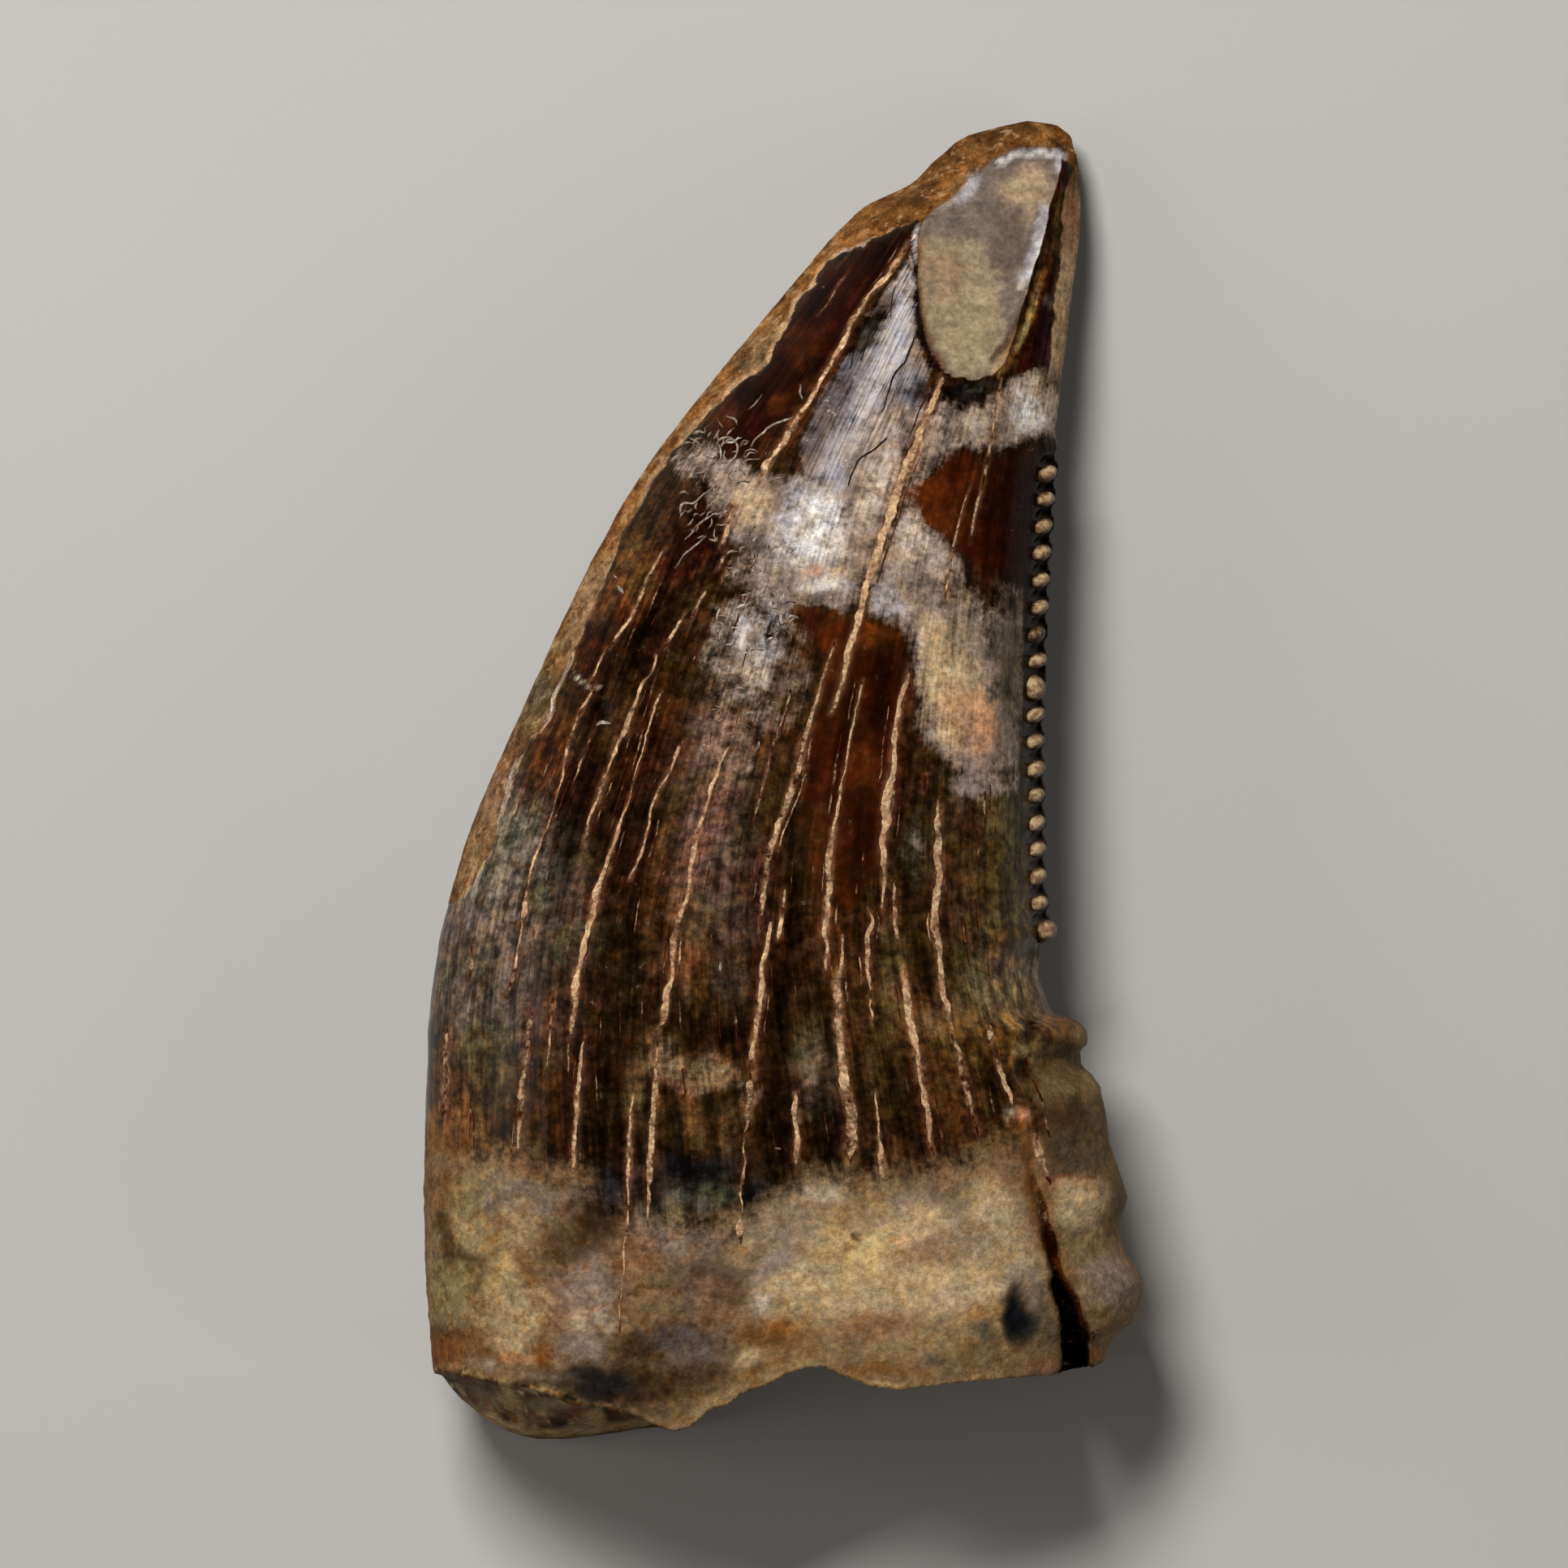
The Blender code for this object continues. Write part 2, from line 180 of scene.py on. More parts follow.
# How outlines are made ragged, once or twice over: how far they wander, over what length, and the seed.
WANDER = {
    "flaked": [(5.0, 16.0, 3)],
    "facet": [(2.5, 12.0, 51)],
    "split": [(3.0, 18.0, 71)],
    "painted_highlight": [(8.0, 20.0, 72)],
    "enamel": [(16.0, 48.0, 101), (6.0, 13.0, 102)],
    "bloom_and_sheen": [(14.0, 50.0, 111), (6.0, 15.0, 112)],
    "highlight_strip": [(5.0, 14.0, 113)],
    "matt": [(11.0, 40.0, 121), (5.0, 12.0, 122)],
    "base_line": [(24.0, 60.0, 123)],
    "base_corner": [(8.0, 26.0, 124)],
    "base_strokes": [(4.0, 12.0, 125)],
    "bevel_marks": [(6.0, 18.0, 128)],
    "flaked_marks": [(8.0, 22.0, 135)],
    "facet_marks": [(14.0, 26.0, 141), (7.0, 9.0, 142)],
    "dark_strip": [(5.0, 14.0, 144)],
    "enamel_strokes": [(3.0, 9.0, 145)],
    "corner_marks": [(4.0, 9.0, 146)],
    "crisp_strokes": [(4.0, 10.0, 147)],
}
# Heights and depths of the upper side in millimetres, borders and reaches in pixels, and the bevel's slope
# in millimetres to the pixel. FLAKED_LIMIT is the most that flaking takes of the height over the edge.
FLAKED_DEPTH = 0.060
FLAKED_PIT_DEPTH = 0.05
FLAKED_LIMIT = 0.5
SHARP_BORDER = 2.5
FACET_BORDER = 2.0
BASE_BORDER = 30
BASE_PIT_DEPTH = 0.030
BEVEL_SLOPE = 0.0026
BEVEL_REACH = 80
CRACK_DEPTH = 0.020
CRACK_FLANK = 3.0
GROOVE_DEPTH = 0.08
DENT_SOFTNESS = 0.5
# Ribs of the enamel: share, waves across the crown, length in pixels and seed. Its ripples drift by an
# amount, over a length and with a seed.
RIBS = [(1.0, 90, 130, 33), (0.6, 180, 70, 34)]
RIB_HEIGHT = 0.0045
RIPPLE_HEIGHT = 0.010
RIPPLE_LENGTH = 23
RIPPLE_DRIFT = (3, 300, 31)
# Where the crust curls, with a share, lies thickest and is hollowed: middle, radii, turn and softness.
CURLED_AREAS = [(1.0, (880, 600), (60, 80), -40, 0.5), (0.7, (935, 745), (50, 95), -15, 0.5)]
CURL_HEIGHT = 0.020
CURL_WAVES = (9, 12, 41, 3)
CORE_AREA = ((1005, 650), (60, 60), 30, 0.6)
CORE_HEIGHT = 0.016
CORE_PIT_DEPTH = 0.022
HOLLOW_AREA = ((862, 1312), (70, 26), 6, 0.35)
HOLLOW_DEPTH = 0.022
# The split: its length in pixels, its depths, and its slanting right-hand wall.
SPLIT_LENGTH = 260.0
SPLIT_LIP = 0.03
SPLIT_DEPTH = 3.3
SPLIT_STEEPNESS = 2.6
SPLIT_BASE_FLOOR = 0.95
SPLIT_WALL_RISE = 0.85
SPLIT_WALL_WIDTH = (15, 3)
SPLIT_WALL_ROWS = ((1540, 1575), (1655, 1625))
# How much a crack counts: the margin that is looked at, the width of a full crack and the least share.
CRACK_MARGIN = 2.4
FULL_CRACK = 8
LEAST_CRACK = 0.1
# The parts that face sideways and down: the upright part of a normal where they begin and where they are
# whole, the height of their lumps and grain, and the waves of these to the millimetre.
FACING_DOWN = (0.35, -0.25)
LOWER_LUMPS = 0.018
LOWER_GRAIN = 0.006
LOWER_BASE_GRAIN = 0.014
LOWER_BASE_ROWS = (-4.6, -6.0)
LUMP_WAVES = 2.2
GRAIN_WAVES = (9, 5)
# The chipped corner: where it fades in, and for x and y the height of its lumps, their length along the
# edge and over it, and the seed.
CHIPPED_COLUMNS = (1235, 1330)
CHIPPED_ROWS = (1215, 1262)
CHIPPED_LUMPS = [(0.035, 20, 30, 83), (0.030, 18, 26, 84)]
NOTCH_COLUMNS = (1262, 1290)
NOTCH_DEPTH = 0.05
# The broken base: its lumps to the millimetre, their height, and its grain, which is finer.
BREAK_SCALE = 1.6
BREAK_LUMPS = 0.10
BREAK_GRAIN = 0.035
BREAK_GRAIN_SCALE = 5

# Outlines in photograph pixels.
FACET_OUTLINE = [
    (1226, 192), (1250, 183), (1280, 180), (1300, 183), (1309, 190), (1303, 225), (1294, 255), (1284, 300),
    (1270, 345), (1256, 390), (1246, 425), (1238, 448), (1224, 462), (1200, 470), (1176, 466), (1158, 452),
    (1144, 428), (1134, 385), (1130, 340), (1131, 300), (1134, 282), (1142, 268), (1155, 255), (1172, 244),
    (1190, 228), (1206, 212),
]
FLAKE_EDGE = [
    (1130, 272), (1110, 278), (1074, 294), (1065, 304), (1040, 311), (1021, 319), (1003, 351),
    (981, 372), (978, 388), (965, 411), (953, 433), (947, 449), (919, 467), (892, 492),
    (870, 512), (845, 540), (812, 580), (790, 622), (768, 662), (748, 705), (732, 745),
    (718, 780), (705, 807), (695, 833), (682, 858), (678, 881), (668, 895), (654, 911),
    (640, 931), (631, 954), (623, 984), (615, 1012), (613, 1035), (597, 1060), (583, 1085),
    (571, 1104), (556, 1114), (500, 1125),
]
TIP_CAP_EDGE = [
    (1400, 208), (1330, 208), (1314, 198), (1292, 188), (1255, 190), (1230, 199), (1206, 218),
    (1176, 242), (1152, 262), (1134, 276),
]
SPLIT_LEFT = [
    (1266, 1428), (1270, 1450), (1277, 1480), (1284, 1520), (1288, 1545), (1295, 1567), (1293, 1580),
    (1297, 1595), (1302, 1610), (1306, 1630), (1307, 1660), (1306, 1740),
]
SPLIT_RIGHT = [
    (1269, 1428), (1276, 1450), (1287, 1480), (1298, 1520), (1304, 1545), (1312, 1570), (1320, 1585),
    (1328, 1600), (1335, 1620), (1340, 1640), (1341, 1660), (1342, 1740),
]
BASE_LINE = [
    (400, 1378), (525, 1382), (580, 1396), (640, 1422), (690, 1440), (730, 1460), (760, 1500),
    (850, 1510), (920, 1504), (950, 1474), (985, 1450), (1050, 1444), (1090, 1450), (1150, 1438),
    (1210, 1424), (1262, 1398), (1300, 1372), (1340, 1384), (1500, 1400),
]
BEVEL_EDGE = [
    (400, 1666), (537, 1680), (595, 1693), (646, 1702), (701, 1714), (765, 1728), (820, 1790), (900, 1900),
]
CARINA_BAND = [
    (1324, 204), (1345, 196), (1345, 470), (1312, 492), (1276, 488), (1290, 455), (1298, 400), (1303, 350),
    (1309, 300), (1310, 250),
]
DARK_STRIP = [
    (1311, 196), (1316, 204), (1307, 250), (1304, 300), (1297, 350), (1296, 400), (1289, 440), (1270, 456),
    (1250, 462), (1252, 440), (1262, 402), (1280, 350), (1291, 300), (1296, 250), (1304, 214),
]
# Dents of the upper side: depth in millimetres, middle and radii.
DENTS = [
    (0.14, 1268, 1270, 8, 16),
    (0.12, 1259, 1318, 9, 13),
    (0.12, 1255, 1617, 14, 33),
    (0.07, 1196, 484, 46, 12),
    (0.10, 743, 878, 9, 13),
    (0.06, 1055, 1521, 6, 4),
    (0.05, 1046, 1538, 9, 5),
    (0.05, 552, 1516, 8, 22),
    (0.05, 554, 1540, 8, 14),
    (0.05, 840, 1470, 60, 22),
    (0.04, 738, 1500, 30, 26),
]
# Lines painted on the facet and the flaked strip: tone, strength, half width and route.
CRISP_STROKES = [
    ("dentine", 0.60, 5, [(1133, 300), (1131, 340), (1136, 385), (1146, 428), (1160, 452)]),
    ("dentine", 0.60, 3, [(1150, 252), (1190, 222), (1225, 190), (1252, 179), (1290, 178)]),
    # The sand, chalk, lavender and shell lines down to 1255, 354 are painted highlights where the facet's rim
    # catches the light.
    ("sand", 0.70, 3, [(1138, 300), (1135, 340), (1139, 380)]),
    ("chalk", 0.78, 3.6, [(1230, 199), (1250, 191), (1262, 188), (1280, 187), (1298, 190)]),
    ("lavender", 0.80, 5, [(1302, 188), (1308, 192), (1306, 206)]),
    ("lavender", 0.80, 7, [(1201, 217), (1199, 228), (1191, 240), (1182, 246)]),
    ("shell", 0.50, 3, [(1176, 246), (1160, 258)]),
    ("lavender", 0.75, 8, [(1288, 258), (1283, 280), (1278, 302), (1272, 324), (1262, 344)]),
    ("chalk", 0.65, 4, [(1281, 300), (1276, 320), (1269, 338)]),
    ("shell", 0.80, 4, [(1264, 348), (1255, 354)]),
    ("cocoa", 0.75, 4, [(1262, 374), (1250, 403), (1236, 428), (1222, 446)]),
    ("ginger", 0.85, 5, [(1278, 340), (1272, 364), (1266, 384), (1258, 404), (1248, 426), (1238, 444)]),
    ("sand", 0.60, 3, [(1276, 350), (1266, 390), (1252, 420)]),
    ("silt", 0.90, 5, [(1244, 436), (1236, 450), (1226, 459)]),
    # The shell and silt lines along the flaked strip's inner edge are painted highlights where the broken
    # enamel edge catches the light.
    ("shell", 0.75, 4, [(1075, 298), (1060, 305), (1044, 310), (1030, 315)]),
    ("silt_pale", 0.75, 5, [(1026, 318), (1012, 338), (1000, 352), (984, 370), (975, 388)]),
    ("silt", 0.80, 5, [(972, 396), (960, 418), (950, 440), (944, 449)]),
    ("silt", 0.80, 5, [(932, 458), (914, 470), (894, 487), (870, 509), (850, 530), (836, 548)]),
    ("silt", 0.55, 4, [(822, 566), (804, 590), (788, 622)]),
    ("silt", 0.40, 4, [(770, 656), (752, 694)]),
]
# Lines painted on the enamel in the same way.
ENAMEL_STROKES = [
    ("ink", 0.90, 3, [(1127, 330), (1127, 352), (1131, 388), (1138, 418), (1148, 444), (1162, 462),
                      (1180, 470)]),
    # The lavender line beside the facet and the pale silt lines along the flaked strip's edge are painted
    # highlights.
    ("lavender", 0.80, 2.5, [(1130, 280), (1127, 300), (1128, 322)]),
    ("silt_pale", 0.55, 2.5, [(706, 806), (696, 832), (684, 858), (679, 880), (669, 895), (655, 911)]),
    ("silt_pale", 0.55, 2.5, [(642, 930), (633, 954), (625, 984), (617, 1012), (615, 1034)]),
    ("silt_pale", 0.45, 2.5, [(598, 1062), (584, 1086), (572, 1104)]),
    ("shell", 0.60, 2, [(708, 832), (724, 844), (740, 848)]),
    ("clay", 0.45, 3, [(818, 1322), (836, 1342), (862, 1347), (888, 1338), (904, 1318)]),
    ("clay", 0.35, 2.5, [(830, 1304), (850, 1297), (880, 1298), (902, 1308)]),
    ("dentine", 0.90, 5, [(1284, 336), (1278, 362), (1271, 384), (1263, 404), (1253, 426), (1243, 444),
                          (1231, 460)]),
    ("sand", 0.75, 3, [(1280, 352), (1273, 380), (1263, 408), (1252, 430)]),
]
# Paint of the flaked strip and the tip cap, from the tip down.
FLAKED_MARKS = [
    ("ginger", 0.70, 1190, 218, 16, 50, 54),
    ("sand", 0.40, 1200, 215, 9, 40, 54),
    ("ginger", 0.50, 1290, 166, 40, 10, 8),
    ("cocoa", 0.80, 1228, 168, 14, 9, -30),
    ("cocoa", 0.80, 1197, 205, 8, 8),
    ("cocoa", 0.80, 1302, 176, 14, 8, 20),
    ("cocoa", 0.60, 1264, 160, 20, 7),
    ("cocoa", 0.50, 1140, 240, 26, 10, -34),
    ("sand", 0.50, 1110, 290, 20, 9, -16),
    ("ginger", 0.75, 1030, 330, 22, 50, 34),
    ("tan", 0.60, 940, 440, 40, 26, -50),
    ("ginger", 0.60, 890, 498, 40, 20, -50),
    ("sand", 0.70, 735, 740, 20, 66, 24),
    ("clay", 0.60, 724, 744, 16, 50, 24),
    ("olive", 0.85, 660, 862, 24, 50, 22),
    ("steel", 0.50, 664, 850, 12, 20, 22),
    ("tan", 0.75, 616, 980, 26, 90, 14),
    ("cocoa", 0.60, 640, 915, 16, 20, 24),
    ("clay", 0.70, 606, 990, 9, 50, 14),
    ("rust", 0.45, 622, 940, 12, 16, 20),
    ("sand", 0.45, 582, 1066, 14, 24, 24),
]
# Lines painted on the base: the brown sides of the split, the crack that leads to it, and pale rims, which
# are painted highlights where the bottom edge catches the light.
BASE_STROKES = [
    ("dentine", 0.75, 9, [(1262, 1395), (1264, 1420), (1268, 1450), (1274, 1485), (1284, 1530)]),
    ("dentine", 0.60, 7, [(1284, 1470), (1296, 1510), (1308, 1550), (1322, 1580)]),
    ("cocoa", 0.70, 4, [(1268, 1440), (1277, 1480), (1286, 1520), (1292, 1560)]),
    ("clay", 0.70, 5, [(1273, 1395), (1280, 1420), (1288, 1445), (1296, 1460)]),
    ("rust", 0.55, 3, [(1290, 1456), (1300, 1450), (1318, 1449), (1345, 1452)]),
    ("cocoa", 0.60, 6, [(545, 1496), (552, 1516), (556, 1536)]),
    ("cocoa", 0.50, 4, [(562, 1546), (576, 1551), (592, 1556)]),
    ("clay", 0.45, 5, [(770, 1512), (771, 1535), (769, 1560), (766, 1600), (765, 1640)]),
    # Painted highlights along the bottom edge.
    ("straw", 0.40, 3, [(1356, 1690), (1340, 1692), (1300, 1694), (1200, 1698), (1120, 1706), (1060, 1700)]),
    ("silt", 0.60, 4, [(1010, 1682), (965, 1692), (945, 1704), (920, 1712), (900, 1728), (872, 1734)]),
    ("silt", 0.60, 4, [(858, 1748), (840, 1758), (815, 1764)]),
    ("straw", 0.85, 5, [(600, 1744), (622, 1757), (650, 1766), (690, 1767), (730, 1763), (770, 1757),
                        (800, 1755)]),
    ("sand", 0.55, 9, [(1000, 1678), (960, 1686), (930, 1700), (895, 1716), (860, 1738)]),
]
# Colours of the fossil, as sRGB values from 0 to 255.
TONES = {
    "ink": (12, 4, 2),
    "wine": (38, 9, 4),
    "ember": (58, 21, 5),
    "rust": (106, 52, 14),
    "umber": (46, 29, 13),
    "bark": (72, 50, 24),
    "olive": (96, 78, 48),
    "fog": (86, 76, 62),
    "mauve": (90, 70, 60),
    "plum": (88, 78, 78),
    "slate": (104, 93, 82),
    "night": (20, 22, 25),
    "steel": (70, 68, 56),
    "chalk": (214, 210, 206),
    "lavender": (172, 167, 170),
    "shell": (184, 166, 148),
    "ash": (138, 121, 109),
    "dusk": (104, 104, 116),
    "cream": (184, 160, 122),
    "straw": (192, 166, 118),
    "sand": (150, 127, 90),
    "moss": (128, 114, 74),
    "apricot": (200, 146, 106),
    "blush": (176, 128, 98),
    "clay": (130, 94, 68),
    "tan": (118, 94, 64),
    "ginger": (150, 96, 46),
    "dentine": (112, 73, 34),
    "cocoa": (66, 40, 16),
    "mist": (120, 108, 94),
    "facet": (152, 134, 106),
    "facet_grey": (110, 97, 88),
    "facet_tan": (168, 145, 113),
    "silt": (176, 142, 106),
    "silt_pale": (206, 172, 132),
}
TONE_GAIN = 1.06
BRIGHTEST = 0.86

# Patches of colour: tone, strength, the two limits of the noise, the size of its waves and the seed.
BEVEL_PATCHES = [
    ("ginger", 0.8, 0.0, 0.2, 24, 14, 126),
    ("ink", 1.0, -0.04, 0.12, 22, 12, 129),
    ("straw", 0.9, 0.14, 0.26, 16, 9, 127),
    ("rust", 0.7, 0.14, 0.26, 13, 8, 130),
    ("moss", 0.8, 0.12, 0.24, 10, 7, 136),
]
FLAKED_PATCHES = [
    ("ginger", 0.45, 0.0, 0.5, 26, 26, 131),
    ("sand", 0.55, 0.15, 0.55, 15, 15, 132),
    ("cocoa", 0.85, 0.05, 0.50, 20, 20, 133),
]
# The tip cap's own share of two tones, from one column to another.
CAP_COLUMNS = (1060, 1180)
CAP_TONES = [("dentine", 0.45), ("cocoa", 0.35)]
# The tan middle of the facet.
FACET_TAN_AREA = [
    (1136, 292), (1196, 286), (1214, 300), (1226, 340), (1236, 380), (1238, 420), (1222, 450), (1190, 464),
    (1160, 448), (1142, 400), (1134, 340),
]

# Soft oval marks in the order they are laid: tone, strength, middle and radii, with the turn in degrees
# and the softness where they aren't the usual ones.
FACET_MARKS = [
    ("facet_tan", 0.85, 1262, 232, 30, 25, 0, 0.5),
    ("facet_tan", 0.60, 1264, 260, 9, 18),
    ("mauve", 0.50, 1243, 298, 20, 40, 10, 0.7),
    ("moss", 0.20, 1190, 400, 40, 50, 0, 0.8),
]
FACET_CLAY = ("clay", 0.40, 1160, 330, 26, 30, 0, 0.8)
FACET_CREAM_FROM = 330
STRIP_MARKS = [("ember", 0.50, 1286, 364, 8, 40, 12)]
EDGE_MARKS = [("plum", 0.60, 1292, 372, 6, 8), ("bark", 0.80, 1302, 290, 6, 40, 4)]
ENAMEL_MARKS = [
    ("bark", 0.55, 1110, 1200, 90, 170),
    ("bark", 0.20, 1060, 1040, 60, 60),
    ("olive", 0.45, 1100, 1205, 18, 60),
    ("dentine", 0.40, 830, 1060, 26, 90, 8),
    # The mauve left of the ridge is partly painted sheen.
    ("mauve", 0.70, 880, 1000, 46, 140, 8),
    ("mauve", 0.28, 872, 1150, 52, 100, 4),
    ("dentine", 0.35, 850, 1170, 30, 60, 4),
    ("bark", 0.55, 960, 900, 30, 120, 12),
    ("umber", 0.80, 870, 1260, 44, 40),
    ("olive", 0.75, 1238, 1130, 50, 190),
    ("olive", 0.45, 1180, 1060, 34, 110),
    ("cocoa", 0.60, 1200, 1050, 26, 60),
    ("umber", 0.60, 1175, 1140, 30, 50),
    ("slate", 0.35, 1235, 1205, 50, 26),
    ("umber", 0.45, 1192, 1075, 40, 90),
    ("olive", 0.90, 1215, 1265, 60, 44),
    ("tan", 0.62, 1226, 1212, 46, 34),
    ("sand", 0.40, 1240, 1228, 26, 18),
    ("clay", 0.75, 1215, 1250, 54, 22),
    ("dentine", 0.90, 1205, 1292, 46, 32),
    ("ginger", 0.30, 1205, 1280, 46, 32),
    ("dentine", 0.25, 675, 1365, 30, 40),
    ("bark", 0.85, 1200, 1360, 60, 70),
    ("cocoa", 0.60, 1172, 1370, 26, 34),
    ("dentine", 0.50, 1240, 1410, 40, 34),
    ("umber", 0.80, 1228, 1335, 12, 40, -14),
    # The slate and the two fog marks on the left flank are partly painted sheen.
    ("slate", 0.85, 622, 1095, 62, 110, 12),
    ("fog", 0.90, 592, 1225, 60, 100),
    ("bark", 0.60, 576, 1320, 50, 50),
    ("fog", 0.45, 690, 1150, 46, 120, 6),
    ("dentine", 0.70, 555, 1388, 46, 26),
    ("dentine", 0.60, 766, 700, 22, 50, 26),
    ("rust", 0.55, 712, 822, 22, 16),
    ("rust", 0.45, 776, 744, 24, 20, 20),
    ("bark", 0.50, 726, 738, 30, 54, 24),
    ("ember", 0.80, 722, 800, 24, 22, 24),
    ("rust", 0.30, 720, 750, 18, 40, 24),
    ("ink", 0.80, 738, 786, 26, 15, -10),
    ("ember", 0.60, 722, 830, 24, 40, 24),
    ("cocoa", 0.85, 678, 900, 26, 56, 24),
    ("rust", 0.25, 668, 935, 16, 40, 24),
    ("ink", 0.90, 796, 785, 26, 64, 26),
    ("ink", 0.85, 862, 640, 28, 42, 20),
    ("wine", 0.65, 842, 690, 26, 50, 26),
    ("ink", 0.95, 743, 878, 12, 18, 10),
    ("ink", 0.85, 703, 1000, 24, 100, 14),
    ("ink", 0.60, 765, 990, 20, 110, 14),
    ("ember", 0.55, 800, 905, 26, 70, 16),
    ("ink", 0.50, 766, 1190, 40, 150, 5),
    ("umber", 0.60, 690, 1250, 30, 60),
    ("ink", 0.55, 700, 1370, 50, 56),
    ("ink", 0.60, 752, 1420, 40, 50),
    ("wine", 0.55, 690, 1426, 26, 12),
    ("ink", 0.75, 962, 1220, 15, 150, 5),
    ("ink", 0.50, 1002, 1090, 14, 60, 5),
    ("ink", 0.75, 955, 1390, 20, 60),
    ("fog", 0.55, 1005, 1318, 26, 50),
    ("ink", 0.70, 1012, 1394, 28, 44),
    ("ink", 0.60, 1118, 1360, 24, 60, -8),
    ("ink", 0.45, 1130, 1130, 16, 90),
    ("fog", 0.50, 1126, 1048, 14, 34),
    ("ink", 0.45, 850, 1410, 56, 34),
    ("olive", 0.30, 880, 1390, 34, 30),
    ("tan", 0.70, 862, 1320, 48, 22, 6),
    ("tan", 0.50, 816, 1304, 22, 26),
    ("bark", 0.70, 860, 1384, 40, 26),
    ("olive", 0.50, 786, 1330, 14, 40),
    ("mauve", 0.35, 905, 1180, 20, 60, 4),
    ("ink", 0.50, 870, 1262, 40, 18),
    ("ink", 0.45, 905, 1260, 16, 60, 4),
    ("dentine", 0.35, 862, 1204, 14, 40, 4),
    ("night", 0.80, 840, 1440, 80, 22),
    ("steel", 0.85, 850, 1476, 70, 18),
    ("night", 0.90, 925, 1478, 34, 22, -10),
    ("mist", 0.60, 800, 1500, 44, 9),
    # Painted shade in the hollow by the base line.
    ("night", 0.85, 748, 1480, 34, 40),
    # Painted shadow under the facet's lower rim.
    ("ink", 0.90, 1185, 482, 40, 15, 6),
]
# Glassy windows in the enamel: tone, strength, border and outline.
WINDOWS = [
    ("wine", 0.95, 10, [(1120, 282), (1052, 318), (1022, 323), (990, 372), (950, 444), (905, 482),
                        (868, 520), (880, 562), (930, 562), (978, 515), (1020, 444), (1048, 400),
                        (1078, 352), (1104, 314)]),
    ("ember", 0.95, 7, [(1120, 608), (1145, 588), (1165, 562), (1195, 548), (1215, 560), (1240, 554),
                        (1262, 542), (1294, 560), (1288, 732), (1256, 742), (1236, 700), (1205, 706),
                        (1185, 692), (1170, 674), (1145, 662), (1130, 630)]),
    ("ember", 0.92, 6, [(992, 752), (1030, 759), (1060, 764), (1090, 770), (1113, 785), (1124, 830),
                        (1108, 900), (1098, 990), (1090, 1080), (1050, 1120), (1000, 1110), (985, 1040),
                        (992, 940), (1004, 870), (1012, 800)]),
]
WINDOW_MARKS = [
    ("ink", 0.85, 1090, 318, 18, 40, 34),
    ("ink", 0.75, 1008, 372, 10, 40, 36),
    ("rust", 0.22, 988, 420, 18, 32, 36),
    ("ink", 0.75, 1002, 448, 12, 24, 34),
    ("ink", 0.60, 920, 492, 22, 18, 34),
    ("rust", 0.40, 955, 498, 14, 16, 34),
    ("rust", 0.30, 890, 520, 14, 20, 34),
    ("ink", 0.80, 1256, 640, 40, 110),
    ("wine", 0.70, 1222, 650, 26, 60, 6),
    ("rust", 0.65, 1140, 606, 22, 20, -16),
    ("rust", 0.45, 1160, 650, 20, 22),
    ("rust", 0.30, 1186, 610, 12, 46, 8),
    ("rust", 0.45, 1078, 784, 34, 18, 20),
    ("rust", 0.40, 1022, 805, 10, 44, 12),
    ("ink", 0.80, 1088, 850, 18, 64, 8),
    ("ink", 0.55, 1040, 900, 10, 80, 10),
    ("rust", 0.35, 1068, 945, 18, 34, 8),
    ("ink", 0.60, 1060, 1030, 16, 60, 4),
    ("bark", 0.20, 1000, 1060, 26, 70, 8),
    ("ink", 0.30, 732, 842, 36, 46, 24),
    ("ink", 0.45, 785, 1040, 28, 50, 8),
    ("ink", 0.80, 1068, 408, 24, 50, 34),
    ("plum", 0.45, 1062, 420, 10, 26, 34),
]
BLOOM_BAND = [
    (852, 556), (880, 540), (922, 568), (960, 592), (1010, 584), (1060, 556), (1104, 520), (1144, 478),
    (1165, 500), (1208, 500), (1238, 472), (1262, 458), (1312, 456), (1306, 532), (1270, 542), (1240, 548),
    (1195, 546), (1165, 560), (1145, 586), (1120, 606), (1130, 630), (1144, 660), (1170, 676), (1186, 698),
    (1204, 730), (1216, 780), (1224, 840), (1240, 884), (1254, 930), (1240, 972), (1196, 964), (1150, 925),
    (1131, 894), (1128, 850), (1120, 800), (1110, 776), (1085, 770), (1055, 760), (1000, 750), (955, 716),
    (905, 664), (872, 610),
]
# The pale streaky strip along the ridge below the facet is a painted highlight, standing in for a reflection
# of the light.
HIGHLIGHT_STRIP = [
    (1121, 312), (1127, 350), (1128, 400), (1140, 440), (1150, 456), (1124, 500), (1078, 570), (1030, 606),
    (990, 596), (986, 545), (1006, 500), (1036, 448), (1066, 394), (1100, 340),
]
